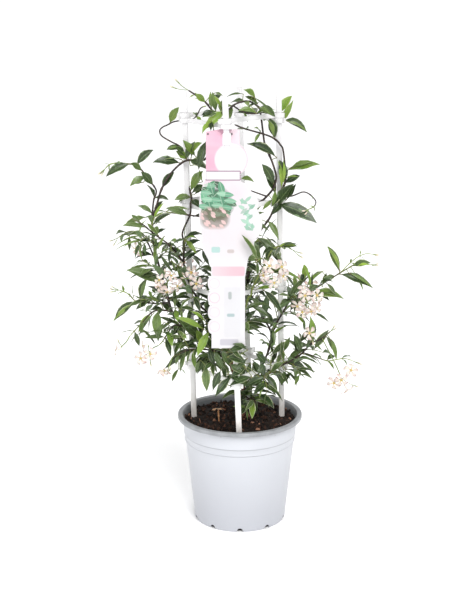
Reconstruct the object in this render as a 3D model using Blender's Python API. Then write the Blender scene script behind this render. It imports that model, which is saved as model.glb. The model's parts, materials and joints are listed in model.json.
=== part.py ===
"""A star jasmine on a four-stake trellis, in its nursery pot.

Sizes are in millimetres and become metres when an object is made. The origin is on the pot's axis, on
the surface that the pot stands on. +Z is up, and the plant's front faces -Y.
"""

import math
import random
from collections import namedtuple

import bmesh
import bpy
from mathutils import Matrix, Vector, noise
from mathutils.bvhtree import BVHTree

METRES = 0.001
GAP = 0.3

# Pot
POT_HEIGHT = 150.0
RIM_RADIUS = 85.0
RIM_WIDTH = 7.0
LIP_DEPTH = 5.5
BASE_RADIUS = 62.5
WALL = 1.6
FLOOR = 2.0
COLLAR_FOOT = 114.5
COLLAR_STEP = 1.2
POT_SIDES = 30
DRAINS = 10
DRAIN_RADIUS = 4.5
DRAIN_REACH = 9.0
LIP_ROUND = 1.6
FOOT_ROUND = 2.0

# Soil
SOIL_TOP = 141.0
SOIL_LUMPS = 2.2
SOIL_RINGS = 5
SOIL_SIDES = 15
HOLE_REACH = 12.0

# Trellis: (x, y) of each stake where it leaves the soil and at its top
STAKES = {
    "front": ((-1.0, -66.0), (-19.0, -52.0)),
    "left": ((-63.5, 14.0), (-72.5, 8.0)),
    "right": ((58.0, 15.0), (50.0, 8.0)),
    "back": ((14.0, 66.0), (-1.0, 68.0)),
}
STAKE_FOOT = 60.0
STAKE_TOP = 586.0
STAKE_WIDTH = 7.6
STAKE_CHAMFER = 1.5
LEVELS = (215.0, 327.0, 440.0, 553.0)
BAR_HEIGHT = 6.2
BAR_THICKNESS = 2.2
EYELET_RADIUS = 7.8
EYELET_BORE = 5.5
EYELET_SIDES = 6
TAB_LENGTH = 4.0
# Each bar joins two stakes, and the bars of the second pair lie on those of the first.
BARS = (("front", "left", -1), ("back", "right", -1), ("front", "right", 1), ("left", "back", 1))

# Label, a card seen from the front: x and z
CARD_THICKNESS = 0.8
CARD_LEFT = -51.5
CARD_HEAD_LEFT = -43.0
CARD_HEAD_RIGHT = -0.5
CARD_TOP = 545.3
CARD_FOOT = 264.0
DISC_CENTRE = (-11.5, 508.6)
DISC_RADIUS = 21.6
SCALLOPS = 4
SCALLOP_TOP = 360.0
SCALLOP_FOOT = 283.0
SCALLOP_DEPTH = 4.6
CARD_WAIST = -37.0
CARD_FOOT_RIGHT = 6.4
SLOT_HALF_WIDTH = 5.3
SLOT_FOOT, SLOT_TOP = 498.0, 541.0
# Height and depth of the card: it hangs before the rings and goes back past the stake at its head.
CARD_BEND = ((264.0, -72.8), (327.0, -70.9), (440.0, -67.3), (498.0, -62.0), (519.0, -54.8), (545.3, -47.4))

# Plant
SEED = 2406
STEM_STEP = 8.0
STEM_SLACK = 0.8
STEM_SIDES = 5
TWIG_SIDES = 4
LEAF_THICKNESS = 1.2
LONG_LEAF = 36.0
LEAF_ASPECT = 0.33
FLOWER_RADIUS = 10.5
KNOT_RADIUS = 1.5
BUD_LENGTH = 9.0
STALK_RADIUS = 0.7
BEND_PASSES = 14
LEAF_TRIES = 10
FLOWER_TRIES = 14
BUD_TRIES = 8
# A flower that has dropped and stands on its tube: where it is, how high, and where its tube meets the soil.
FALLEN_AT = (-29.5, -9.0)
FALLEN_HEIGHT = 17.0
FALLEN_FOOT = (-28.5, -15.0)
FALLEN_AXIS = (-0.05, 0.35, 1.0)
FALLEN_RADIUS = 9.5

Stem = namedtuple("Stem", "node parent thick thin route")
Zone = namedtuple("Zone", "stem first last spacing length turn")
Leaf = namedtuple("Leaf", "node base bend tip side width")
Flower = namedtuple("Flower", "node foot centre axis spin size")
Bud = namedtuple("Bud", "node foot tip thick")
Stalk = namedtuple("Stalk", "node points thick")

# Every stem: its node, the stem it grows from, its radius at the foot and the tip, and its route.
# A stem whose parent is in its own node is fused to it. Any other stands just off its parent.
STEMS = {
    "trunk": Stem("trunk", None, 3.2, 2.3, (
        (4, 8, 108), (4, 8, 134), (4, 6, 168), (4, 4, 186), (-7, 0, 204), (-12, -4, 223), (-13, -5, 248),
        (-9, 0, 274))),
    "stem_right": Stem("stem_right", "trunk", 1.6, 0.9, (
        (-12, -4, 240), (-3, 8, 276), (8, 14, 320), (13, 10, 359), (19, 2, 392), (37, -4, 419),
        (46, -3, 437), (54, -1, 455), (60, 2, 474), (58, 2, 492), (57, 0, 509), (49, -2, 523),
        (36, -10, 532), (19, -22, 539), (3, -34, 545), (-7, -40, 550))),
    "loop_right": Stem("stem_right", "stem_right", 0.9, 0.6, (
        (55, -1, 450), (69, -6, 452), (79, -8, 457), (87, -8, 457), (96, -8, 450), (100, -8, 441),
        (90, -10, 435))),
    "stem_arch": Stem("stem_arch", "trunk", 1.6, 0.9, (
        (-10, 0, 266), (-11, 5, 322), (-5, 5, 377), (7, 2, 416), (17, 0, 436), (33, -6, 449),
        (44, -9, 464), (47, -9, 478), (43, -8, 494), (36, -8, 510), (31, -6, 526), (29, -3, 542),
        (27, -3, 556), (25, -10, 567), (18, -20, 574), (11, -28, 578), (1, -36, 578), (-8, -41, 575),
        (-15, -44, 569), (-24, -42, 565), (-32, -38, 566), (-38, -34, 570), (-48, -30, 581),
        (-56, -28, 586), (-66, -26, 592))),
    "spur_label": Stem("stem_arch", "stem_arch", 0.9, 0.6, (
        (35, -8, 451), (22, -10, 457), (10, -14, 462), (0, -18, 467))),
    "tendril": Stem("stem_arch", "stem_arch", 0.9, 0.5, (
        (-9, -41, 574), (2, -30, 566), (17, -20, 561), (30, -2, 560), (42, 14, 557), (50, 17, 552),
        (57, 13, 549))),
    "stem_left": Stem("stem_left", "trunk", 1.5, 1.0, (
        (-11, -4, 254), (-24, 8, 272), (-44, 10, 290), (-54, 8, 300), (-64, 4, 324), (-72, 2, 343),
        (-75, 1, 361), (-74, 0, 388), (-77, 0, 398), (-73, 0, 409), (-67, 0, 423), (-64, 0, 438),
        (-64, 0, 452), (-67, 1, 463))),
    "stem_outer_left": Stem("stem_outer_left", "trunk", 1.6, 1.0, (
        (-12, -4, 230), (-38, 0, 246), (-59, 0, 256), (-78, -4, 277), (-89, -6, 290), (-95, -6, 308),
        (-99, -2, 324), (-107, 4, 350), (-115, 10, 383), (-117, 12, 405), (-116, 10, 422), (-110, 8, 437),
        (-107, 5, 449), (-103, 3, 460), (-97, 0, 471), (-89, -2, 483), (-78, -4, 494), (-68, -5, 499),
        (-59, -8, 500), (-45, -14, 502), (-40, -26, 518), (-35, -34, 534), (-33, -38, 546))),
    "spray_left_high": Stem("spray_left_high", "stem_outer_left", 1.1, 0.6, (
        (-117, 14, 410), (-117, 16, 420), (-115, 16, 441), (-111, 14, 456), (-122, 12, 473),
        (-129, 12, 482), (-136, 12, 490), (-146, 12, 491), (-159, 12, 493), (-171, 12, 491),
        (-178, 12, 485))),
    "loop_left": Stem("loop_left", "stem_outer_left", 0.9, 0.7, (
        (-69, -5, 499), (-75, -6, 514), (-82, -6, 520), (-91, -6, 524), (-100, -4, 529), (-104, -2, 535),
        (-103, 0, 540), (-95, 10, 543), (-89, 22, 545), (-76, 28, 547), (-63, 21, 549), (-56, 6, 556),
        (-53, -6, 564), (-49, -16, 569), (-43, -26, 572))),
    "branch_across": Stem("branch_across", "stem_arch", 1.0, 0.8, (
        (-8, 4, 350), (-20, 6, 390), (-33, 0, 416), (-55, -6, 425), (-67, -9, 427), (-79, -6, 428),
        (-90, -4, 429), (-98, -2, 430))),
    "branch_right_low": Stem("branch_right_low", "trunk", 1.6, 0.7, (
        (4, 4, 178), (16, -4, 192), (29, -10, 204), (43, -14, 214), (59, -16, 224), (77, -16, 234),
        (89, -16, 245), (98, -16, 255), (111, -16, 261), (122, -16, 271))),
    "twig_right_low": Stem("branch_right_low", "branch_right_low", 0.9, 0.5, (
        (84, -16, 240), (92, -22, 240), (101, -24, 237), (117, -26, 232), (127, -26, 234),
        (141, -26, 235), (151, -26, 232))),
    "spray_right_front": Stem("spray_right_front", "trunk", 1.3, 0.7, (
        (-12, -6, 248), (0, -22, 281), (8, -32, 310), (14, -36, 330), (24, -38, 351), (36, -38, 377),
        (44, -38, 389), (57, -38, 392), (68, -38, 387))),
    "branch_right_out": Stem("branch_right_out", "branch_right_low", 1.4, 0.8, (
        (19, -4, 193), (30, 4, 215), (38, 6, 234), (43, 4, 252), (45, 0, 267), (49, -2, 277),
        (59, -4, 295), (66, -4, 309), (80, -2, 330), (88, 0, 337), (94, 2, 348))),
    "spray_right_out": Stem("spray_right_out", "branch_right_out", 1.0, 0.6, (
        (66, -6, 308), (79, -10, 309), (88, -12, 317), (96, -12, 324), (110, -12, 335), (133, -12, 350),
        (146, -12, 358), (156, -12, 362), (172, -12, 361))),
    "shoot_right_out": Stem("spray_right_out", "spray_right_out", 0.6, 0.4, (
        (133, -12, 350), (145, -10, 362), (157, -8, 371), (168, -8, 375), (176, -8, 374))),
    "spray_right_inner": Stem("spray_right_inner", "branch_right_out", 1.2, 0.8, (
        (44, 6, 257), (40, 12, 267), (29, 20, 283), (19, 26, 301), (12, 28, 323), (14, 28, 344))),
    "spray_left_upper": Stem("spray_left_upper", "stem_left", 1.1, 0.7, (
        (-75, 1, 361), (-85, -6, 377), (-96, -8, 389), (-117, -10, 405), (-130, -12, 417),
        (-142, -12, 423))),
    "spray_left_mid": Stem("spray_left_mid", "stem_outer_left", 1.0, 0.6, (
        (-111, 8, 360), (-119, 14, 375), (-126, 18, 388), (-137, 20, 398), (-150, 22, 398),
        (-164, 22, 390))),
    "spray_left_flower": Stem("spray_left_flower", "stem_outer_left", 1.0, 0.6, (
        (-91, -8, 296), (-107, -14, 299), (-119, -18, 296), (-133, -22, 281), (-147, -24, 266))),
    "spray_left_low": Stem("spray_left_low", "stem_outer_left", 1.1, 0.6, (
        (-73, -6, 272), (-83, -16, 279), (-91, -20, 277), (-101, -26, 262), (-109, -28, 254))),
    "spray_left_bottom": Stem("spray_left_bottom", "trunk", 1.2, 0.7, (
        (-13, -8, 236), (-37, -24, 246), (-60, -30, 250), (-77, -34, 247), (-90, -36, 240))),
    "spray_left_out": Stem("spray_left_out", "stem_outer_left", 1.0, 0.6, (
        (-96, -2, 307), (-108, 4, 303), (-121, 8, 303), (-132, 10, 303), (-142, 12, 305), (-151, 12, 315),
        (-163, 12, 320))),
    "spray_front_low": Stem("spray_front_low", "trunk", 1.2, 0.7, (
        (-13, -6, 222), (-24, -24, 238), (-37, -36, 237), (-48, -42, 226))),
    "spray_centre_low": Stem("spray_centre_low", "trunk", 1.1, 0.8, (
        (5, 4, 160), (12, -6, 172), (18, -18, 176), (22, -28, 170))),
    "twig_centre": Stem("spray_centre_low", "spray_centre_low", 0.9, 0.6, (
        (12, -6, 172), (2, -16, 184), (-8, -22, 194), (-18, -27, 199))),
    "spray_back_left": Stem("spray_back_left", "trunk", 1.3, 0.7, (
        (-10, 2, 262), (-22, 26, 276), (-36, 50, 286), (-52, 74, 300), (-70, 92, 306), (-88, 104, 300))),
    "spray_back_right": Stem("spray_back_right", "branch_right_out", 1.2, 0.7, (
        (38, 8, 234), (44, 28, 252), (54, 50, 268), (68, 72, 280), (84, 90, 284), (100, 102, 276))),
    "spray_back_high": Stem("spray_back_high", "stem_right", 1.2, 0.7, (
        (6, 14, 312), (2, 34, 336), (-6, 52, 366), (-12, 58, 396), (-14, 54, 428), (-8, 48, 456))),
}

# Stretches of a stem that carry opposite leaves: where they start and end along it, how far apart the
# pairs are, how long a leaf is, and how far the first pair is turned about the stem.
ZONES = (
    Zone("stem_right", 30, 140, 33, 40, 60),
    Zone("stem_right", 330, 365, 24, 24, 80),
    Zone("loop_right", 44, 64, 18, 9, 0),
    Zone("stem_arch", 50, 140, 44, 40, 30),
    Zone("stem_arch", 352, 375, 20, 26, 10),
    Zone("stem_arch", 424, 433, 9, 13, 0),
    Zone("tendril", 20, 70, 24, 24, 40),
    Zone("spur_label", 30, 36, 20, 24, 0),
    Zone("stem_left", 22, 152, 23, 42, 30),
    Zone("stem_outer_left", 40, 170, 27, 40, 0),
    Zone("stem_outer_left", 352, 390, 26, 20, 20),
    Zone("spray_left_high", 12, 40, 22, 24, 10),
    Zone("spray_left_high", 110, 128, 14, 12, 0),
    Zone("loop_left", 128, 140, 26, 18, 60),
    Zone("branch_across", 20, 90, 30, 34, 10),
    Zone("branch_right_low", 12, 112, 16, 38, 20),
    Zone("twig_right_low", 16, 68, 20, 22, 50),
    Zone("spray_right_front", 20, 150, 19, 36, 10),
    Zone("branch_right_out", 14, 150, 18, 40, 40),
    Zone("spray_right_out", 10, 60, 22, 32, 20),
    Zone("shoot_right_out", 18, 44, 16, 12, 0),
    Zone("spray_right_inner", 12, 95, 16, 40, 0),
    Zone("spray_left_upper", 10, 60, 20, 34, 20),
    Zone("spray_left_mid", 8, 72, 18, 32, 60),
    Zone("spray_left_flower", 10, 66, 17, 28, 10),
    Zone("spray_left_low", 8, 50, 16, 34, 40),
    Zone("spray_left_bottom", 12, 80, 18, 36, 0),
    Zone("spray_left_out", 8, 30, 16, 30, 30),
    Zone("spray_left_out", 58, 74, 12, 16, 0),
    Zone("spray_front_low", 10, 48, 15, 34, 20),
    Zone("spray_centre_low", 8, 34, 12, 36, 10),
    Zone("twig_centre", 10, 34, 13, 30, 0),
    Zone("spray_back_left", 14, 125, 28, 38, 20),
    Zone("spray_back_right", 12, 125, 28, 38, 60),
    Zone("spray_back_high", 16, 125, 28, 36, 0),
)

# Leaves that stand out by themselves: the stem, how far along it, and where the tip is.
LONE_LEAVES = (
    ("loop_left", 77, (-79, 5, 567)), ("loop_left", 5, (-83, -17, 518)),
    ("loop_left", 5, (-49, -13, 523)), ("loop_left", 17, (-95, -14, 514)),
    ("stem_arch", 397, (-35, -39, 591)), ("stem_arch", 411, (-23, -27, 587)),
    ("stem_arch", 393, (-48, -45, 560)), ("stem_arch", 390, (-22, -49, 582)),
    ("stem_arch", 416, (-57, -36, 588)), ("stem_arch", 383, (-46, -50, 543)),
    ("stem_arch", 256, (14, -16, 521)), ("stem_arch", 214, (28, -18, 496)),
    ("stem_arch", 324, (45, -28, 558)), ("tendril", 99, (87, 8, 534)), ("tendril", 86, (68, 14, 580)),
    ("tendril", 42, (-4, -25, 563)), ("spray_left_high", 88, (-113, 6, 511)),
    ("spray_left_high", 96, (-176, 3, 476)), ("spray_left_high", 77, (-143, 3, 494)),
    ("spray_left_high", 68, (-145, 4, 463)), ("spray_left_high", 52, (-130, 4, 482)),
    ("stem_outer_left", 319, (-113, -16, 498)), ("stem_outer_left", 331, (-41, -22, 490)),
    ("stem_outer_left", 274, (-86, -5, 482)), ("stem_outer_left", 220, (-91, 5, 426)),
    ("stem_outer_left", 237, (-102, 4, 442)), ("stem_outer_left", 139, (-151, -9, 353)),
    ("stem_outer_left", 37, (-84, -12, 288)), ("stem_left", 228, (-48, -5, 485)),
    ("stem_left", 225, (-44, -12, 466)), ("stem_left", 221, (-86, -10, 447)),
    ("stem_left", 218, (-51, -9, 438)), ("branch_across", 106, (-97, -17, 438)),
    ("spray_left_upper", 68, (-154, -19, 415)), ("spray_left_upper", 78, (-143, -6, 427)),
    ("stem_right", 304, (38, 2, 553)), ("stem_right", 258, (104, -8, 494)),
    ("stem_right", 240, (51, -8, 500)), ("stem_right", 241, (79, 5, 477)),
    ("stem_right", 225, (41, -11, 438)), ("stem_right", 203, (70, -17, 470)),
    ("stem_right", 212, (101, -17, 417)), ("stem_right", 187, (51, -13, 394)),
    ("stem_right", 159, (58, -11, 360)), ("spray_right_front", 124, (0, -42, 409)),
    ("spray_right_front", 160, (74, -44, 393)), ("spray_right_out", 80, (115, -15, 387)),
    ("spray_right_out", 97, (173, -16, 364)), ("spray_right_out", 78, (176, -20, 331)),
    ("spray_right_out", 29, (138, -20, 316)), ("branch_right_out", 161, (85, -6, 360)),
    ("branch_right_low", 118, (94, -21, 291)), ("branch_right_low", 93, (72, -25, 269)),
    ("branch_right_low", 140, (130, -22, 237)), ("branch_right_low", 40, (7, -20, 191)),
    ("branch_right_low", 41, (51, -22, 184)), ("spray_left_out", 49, (-170, 4, 279)),
    ("spray_left_out", 42, (-126, 6, 337)), ("spray_left_out", 32, (-140, -1, 296)),
    ("spray_left_flower", 18, (-109, -23, 260)), ("spray_left_flower", 28, (-136, -24, 269)),
    ("spray_left_bottom", 41, (-58, -37, 278)), ("spray_left_bottom", 30, (-57, -34, 216)),
    ("spray_left_bottom", 51, (-97, -38, 228)), ("spray_front_low", 54, (-44, -48, 196)),
    ("spray_front_low", 25, (-19, -36, 203)),
)

# Flower clusters: node, carrying stem, where its stalk ends, how many flowers and buds, how wide it is,
# and the way it faces.
Cluster = namedtuple("Cluster", "node stem centre flowers buds spread facing")
CLUSTERS = (
    Cluster("bloom_left_mid", "stem_outer_left", (-96, -26, 338), 5, 2, 15, (-0.2, -1, 0.3)),
    Cluster("bloom_left_inner", "stem_left", (-61, -24, 346), 3, 1, 11, (0.1, -1, 0.5)),
    Cluster("bloom_left_high", "spray_left_mid", (-134, 10, 372), 2, 2, 9, (-0.3, -0.8, 0.1)),
    Cluster("bloom_left_out", "spray_left_flower", (-158, -26, 252), 2, 1, 8, (-0.8, -0.5, 0.3)),
    Cluster("bloom_left_low", "spray_left_low", (-121, -34, 246), 3, 1, 14, (-0.8, -0.6, 0.0)),
    Cluster("bloom_left_bottom", "spray_left_bottom", (-97, -42, 218), 2, 1, 7, (-0.1, -0.8, 0.5)),
    Cluster("bloom_right_front", "spray_right_front", (42, -52, 360), 5, 2, 17, (0.2, -1, 0.2)),
    Cluster("bloom_right_mid", "spray_right_out", (88, -32, 316), 7, 2, 18, (0.3, -1, 0.1)),
    Cluster("bloom_right_low", "branch_right_low", (96, -30, 268), 1, 2, 7, (0.2, -1, 0.3)),
    Cluster("bloom_right_bottom", "branch_right_low", (136, -36, 210), 4, 3, 19, (0.3, -0.8, -0.1)),
    Cluster("bloom_back_left", "spray_back_left", (-74, 108, 326), 4, 2, 14, (-0.3, 1, 0.4)),
    Cluster("bloom_back_right", "spray_back_right", (88, 106, 302), 4, 2, 14, (0.3, 1, 0.3)),
)

# Tips that end in a few slender buds on thin stalks: the stem, how many, how far they reach.
BUD_TIPS = (
    ("stem_arch", 3, 24), ("spray_left_high", 3, 15), ("loop_right", 2, 10), ("spray_right_front", 2, 22),
    ("shoot_right_out", 2, 12), ("spray_right_out", 2, 16), ("spray_left_mid", 2, 16),
    ("spray_left_out", 3, 15), ("twig_right_low", 2, 15), ("branch_right_low", 2, 14),
    ("spray_back_left", 2, 16), ("spray_back_right", 2, 16),
)

UP = Vector((0, 0, 1))


# Shapes: each is a list of corners and a list of faces

def smooth_route(points, step):
    """Points about a step apart on a smooth curve through the route's own points."""
    points = [Vector(p) for p in points]
    ends = [2 * points[0] - points[1]] + points + [2 * points[-1] - points[-2]]
    fine = []
    for a, b, c, d in zip(ends, ends[1:], ends[2:], ends[3:]):
        for i in range(8):
            t = i / 8
            square = (2 * a - 5 * b + 4 * c - d) * t * t
            cube = (3 * b - a - 3 * c + d) * t ** 3
            fine.append(0.5 * (2 * b + (c - a) * t + square + cube))
    fine.append(points[-1])
    return even_points(fine, step)


def even_points(fine, step):
    lengths = distances(fine)
    count = max(2, round(lengths[-1] / step))
    return [point_along(fine, lengths, lengths[-1] * i / count) for i in range(count + 1)]


def distances(points):
    """How far along a line of points each one lies."""
    lengths = [0.0]
    for a, b in zip(points, points[1:]):
        lengths.append(lengths[-1] + (b - a).length)
    return lengths


def thin_out(points, slack):
    """The fewest of the points whose straight line stays within the slack of them all."""
    first, last = points[0], points[-1]
    run = last - first
    worst, where = 0.0, 0
    for i in range(1, len(points) - 1):
        part = (points[i] - first).dot(run) / max(run.length_squared, 1e-9)
        off = (points[i] - first - run * max(0.0, min(1.0, part))).length
        if off > worst:
            worst, where = off, i
    if worst <= slack:
        return [first, last]
    return thin_out(points[:where + 1], slack)[:-1] + thin_out(points[where:], slack)


def point_along(points, lengths, distance):
    for i in range(1, len(points)):
        if distance <= lengths[i] or i == len(points) - 1:
            part = (distance - lengths[i - 1]) / max(lengths[i] - lengths[i - 1], 1e-9)
            return points[i - 1].lerp(points[i], min(part, 1.0))


def tube(points, radii, sides):
    """A closed round tube. An end whose radius is zero is a point."""
    corners, rings = [], []
    across = None
    for i, point in enumerate(points):
        along = (points[min(i + 1, len(points) - 1)] - points[max(i - 1, 0)]).normalized()
        if across is None:
            across = along.orthogonal().normalized()
        across = (across - along * across.dot(along)).normalized()
        if radii[i] == 0:
            rings.append([len(corners)])
            corners.append(point.copy())
            continue
        rings.append(list(range(len(corners), len(corners) + sides)))
        for k in range(sides):
            turn = Matrix.Rotation(2 * math.pi * k / sides, 3, along)
            corners.append(point + turn @ across * radii[i])
    faces = []
    for a, b in zip(rings, rings[1:]):
        for k in range(sides):
            after = (k + 1) % sides
            if len(a) == 1:
                faces.append((a[0], b[after], b[k]))
            elif len(b) == 1:
                faces.append((a[k], a[after], b[0]))
            else:
                faces.append((a[k], a[after], b[after], b[k]))
    if len(rings[0]) > 1:
        faces.append(tuple(reversed(rings[0])))
    if len(rings[-1]) > 1:
        faces.append(tuple(rings[-1]))
    return corners, faces


def leaf_spine(leaf, along):
    """The point and direction of a leaf's midrib."""
    rest = 1 - along
    point = leaf.base * rest * rest + leaf.bend * 2 * rest * along + leaf.tip * along * along
    run = (leaf.bend - leaf.base) * rest + (leaf.tip - leaf.bend) * along
    return point, run.normalized()


def blade(leaf, swell=0.0, start=0.0):
    """A leaf, flat above and keeled below: a stalk that widens from a point, a blade and a pointed tip."""
    outline = ((0.32, 0.92), (0.66, 0.84))
    if (leaf.tip - leaf.base).length > LONG_LEAF:
        outline = ((0.2, 0.7), (0.45, 1.0), (0.75, 0.68))
    foot, run = leaf_spine(leaf, start)
    corners = [foot - run * swell]
    for along, share in outline:
        centre, run = leaf_spine(leaf, start + (1 - start) * along)
        side = (leaf.side - run * leaf.side.dot(run)).normalized()
        top = side.cross(run)
        half = leaf.width / 2 * share + swell
        corners += [centre + side * half + top * swell, centre - side * half + top * swell]
        corners.append(centre - top * (LEAF_THICKNESS + swell))
    tip, run = leaf_spine(leaf, 1.0)
    corners.append(tip + run * swell)
    faces = [(0, 2, 1), (0, 3, 2), (0, 1, 3)]
    for a in range(1, 3 * len(outline) - 2, 3):
        b = a + 3
        # The two halves of each stretch are split alike, so a twisted blade keeps its thickness.
        faces += [(a, b + 1, b), (a, a + 1, b + 1), (a + 1, a + 2, b + 1), (a + 2, b + 2, b + 1)]
        faces += [(a + 2, b, b + 2), (a + 2, a, b)]
    last, end = 3 * len(outline) - 2, 3 * len(outline) + 1
    faces += [(last, last + 1, end), (last + 1, last + 2, end), (last + 2, last, end)]
    return corners, faces


def blossom(flower, swell=0.0):
    """Five skewed petals over a funnel, whose slim tube and stalk run down to the cluster's joint."""
    petal = ((0.27, -36), (0.88, -15), (1.0, 14))
    across = flower.axis.orthogonal().normalized()
    radius = flower.size + swell
    corners = [flower.centre + flower.axis * (0.3 + swell)]
    for k in range(5):
        for share, skew in petal:
            turn = Matrix.Rotation(flower.spin + math.radians(72 * k + skew), 3, flower.axis)
            lift = flower.axis * (1.6 * share - 2.4 * share * share)
            corners.append(flower.centre + turn @ across * radius * share + lift)
    rim = 5 * len(petal)
    neck = flower.centre - flower.axis * (2.4 + swell)
    run = (neck - flower.foot).normalized()
    for k in range(3):
        turn = Matrix.Rotation(flower.spin + math.radians(120 * k + 24), 3, flower.axis)
        corners.append(neck + turn @ across * (0.8 + swell))
    for k in range(3):
        turn = Matrix.Rotation(flower.spin + math.radians(120 * k + 24), 3, flower.axis)
        spread = turn @ across
        corners.append(flower.foot + (spread - run * spread.dot(run)).normalized() * (0.4 + swell))
    faces = []
    for k in range(rim):
        third = 3 * k // rim
        a, b = 1 + k, 1 + (k + 1) % rim
        faces += [(0, a, b), (1 + rim + third, b, a)]
        if 3 * ((k + 1) % rim) // rim != third:
            faces.append((1 + rim + third, 1 + rim + (third + 1) % 3, b))
    for k in range(3):
        a, b = 1 + rim + k, 1 + rim + (k + 1) % 3
        faces.append((a, a + 3, b + 3, b))
    faces.append((rim + 6, rim + 5, rim + 4))
    return corners, faces


def bud(shape):
    """A slender bud on its stalk, widest a little before its point."""
    run = (shape.tip - shape.foot).normalized()
    return tube([shape.foot, shape.tip - run * BUD_LENGTH * 0.4, shape.tip], [0.4, shape.thick, 0], 3)


def petals_alone(flower):
    """The flower with its stalk cut short."""
    return flower._replace(foot=flower.centre - flower.axis * 4)


def knot(centre):
    """The thickened joint that a cluster's stalks spring from."""
    corners = [centre + Vector(way) * KNOT_RADIUS for way in (
        (1, 0, 0), (-1, 0, 0), (0, 1, 0), (0, -1, 0), (0, 0, 1), (0, 0, -1))]
    ring = (0, 2, 1, 3)
    faces = []
    for k in range(4):
        faces += [(4, ring[k], ring[(k + 1) % 4]), (5, ring[(k + 1) % 4], ring[k])]
    return corners, faces


def box_between(a, b, half_width, half_height):
    """A bar on edge from a to b."""
    run = (b - a).normalized()
    side = run.cross(UP).normalized() * half_width
    rise = UP * half_height
    corners = [end + s * side + r * rise for end in (a, b) for s, r in ((-1, -1), (1, -1), (1, 1), (-1, 1))]
    faces = [(3, 2, 1, 0), (4, 5, 6, 7)]
    faces += [(k, (k + 1) % 4, (k + 1) % 4 + 4, k + 4) for k in range(4)]
    return corners, faces


# Trellis places

def stake_at(name, height):
    """The middle of a stake at a height. Below the soil's top it follows the slope of the pot's wall."""
    (foot_x, foot_y), (top_x, top_y) = STAKES[name]
    if height < SOIL_TOP:
        share = wall_radius(height) / wall_radius(SOIL_TOP)
        return Vector((foot_x * share, foot_y * share, height))
    part = (height - SOIL_TOP) / (STAKE_TOP - SOIL_TOP)
    return Vector((foot_x + (top_x - foot_x) * part, foot_y + (top_y - foot_y) * part, height))


def bars():
    """Name, first end, second end of each bar, through the middles of its eyelets."""
    for level, height in enumerate(LEVELS, 1):
        for first, second, side in BARS:
            z = height + side * (BAR_HEIGHT + GAP) / 2
            yield f"bar_{level}_{first}_{second}", stake_at(first, z), stake_at(second, z)


def card_depth(height):
    """How far forward the card is at a height."""
    for (low, near), (high, far) in zip(CARD_BEND, CARD_BEND[1:]):
        if height <= high or high == CARD_BEND[-1][0]:
            return near + (far - near) * (height - low) / (high - low)


# Growth: where each stem, leaf, flower and bud goes

class Obstacles:
    """What leaves and flowers must stay clear of, as surfaces with the node that each belongs to."""

    def __init__(self):
        self.found = []

    def add(self, node, shape, core=None):
        tree = BVHTree.FromPolygons(*shape)
        inner = BVHTree.FromPolygons(*core) if core else tree
        self.found.append((node, tree, inner, *reach(shape)))

    def hit(self, node, shape, core=None):
        """True if the shape crosses another node, or its core crosses its own node's."""
        tree = BVHTree.FromPolygons(*shape)
        inner = BVHTree.FromPolygons(*core) if core else None
        low, high = reach(shape)
        for other, surface, other_core, other_low, other_high in self.found:
            if any(low[i] > other_high[i] or high[i] < other_low[i] for i in range(3)):
                continue
            if other != node and tree.overlap(surface):
                return True
            if other == node and inner and inner.overlap(other_core):
                return True
        return False


def reach(shape):
    corners = shape[0]
    return [min(c[i] for c in corners) for i in range(3)], [max(c[i] for c in corners) for i in range(3)]


class Rods:
    """Straight rods with a radius, from which stems are bent clear."""

    def __init__(self):
        self.rods = []

    def add(self, a, b, radius):
        self.rods.append((Vector(a), Vector(b), radius))

    def push(self, point, radius, skip):
        """How far and which way a point has to move to be clear."""
        move = Vector()
        for number, (a, b, thick) in enumerate(self.rods):
            if number in skip or (point - a).length > (b - a).length + thick + radius + 5:
                continue
            run = b - a
            part = max(0.0, min(1.0, (point - a).dot(run) / run.length_squared))
            away = point - (a + run * part)
            need = radius + thick + 2 * GAP - away.length
            if need > 0:
                move += away.normalized() * need
        return move


def trellis_rods(rods):
    for name in STAKES:
        rods.add(stake_at(name, SOIL_TOP), stake_at(name, STAKE_TOP), STAKE_WIDTH * 0.6)
    for _, a, b in bars():
        tab = (b - a).normalized() * (EYELET_RADIUS + TAB_LENGTH)
        rods.add(a - tab, b + tab, BAR_HEIGHT / 2)
        for end in (a, b):
            rods.add(end - UP * 3, end + UP * 3, EYELET_RADIUS)


def nearest_on(points, target):
    """The nearest place on a line of points: its point, direction and distance from the start."""
    best, travelled = None, 0.0
    for a, b in zip(points, points[1:]):
        run = b - a
        part = max(0.0, min(1.0, (target - a).dot(run) / run.length_squared))
        place = a + run * part
        if best is None or (target - place).length < best[3]:
            best = (place, run.normalized(), travelled + run.length * part, (target - place).length)
        travelled += run.length
    return best[:3]


def radius_at(stem, points, distance):
    return stem.thick + (stem.thin - stem.thick) * min(1.0, distance / distances(points)[-1])


def leave_parent(parent, parent_points, route):
    """The route's first points moved so that it starts just off its parent's surface."""
    place, along, distance = nearest_on(parent_points, Vector(route[0]))
    away = (Vector(route[1]) - place).normalized()
    square = away - along * away.dot(along)
    if square.length < 0.6:
        away = (square.normalized() * 0.6 + along * 0.8 * math.copysign(1, away.dot(along))).normalized()
        square = away - along * away.dot(along)
    start = place + away * (radius_at(parent, parent_points, distance) + GAP * 1.2) / square.length
    if distance > distances(parent_points)[-1] - GAP and away.dot(along) > 0.5:
        # It goes on from the parent's very tip.
        start = place + away * GAP * 2.2
    return [start, start + away * 5.0] + [Vector(p) for p in route[1:]]


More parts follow.
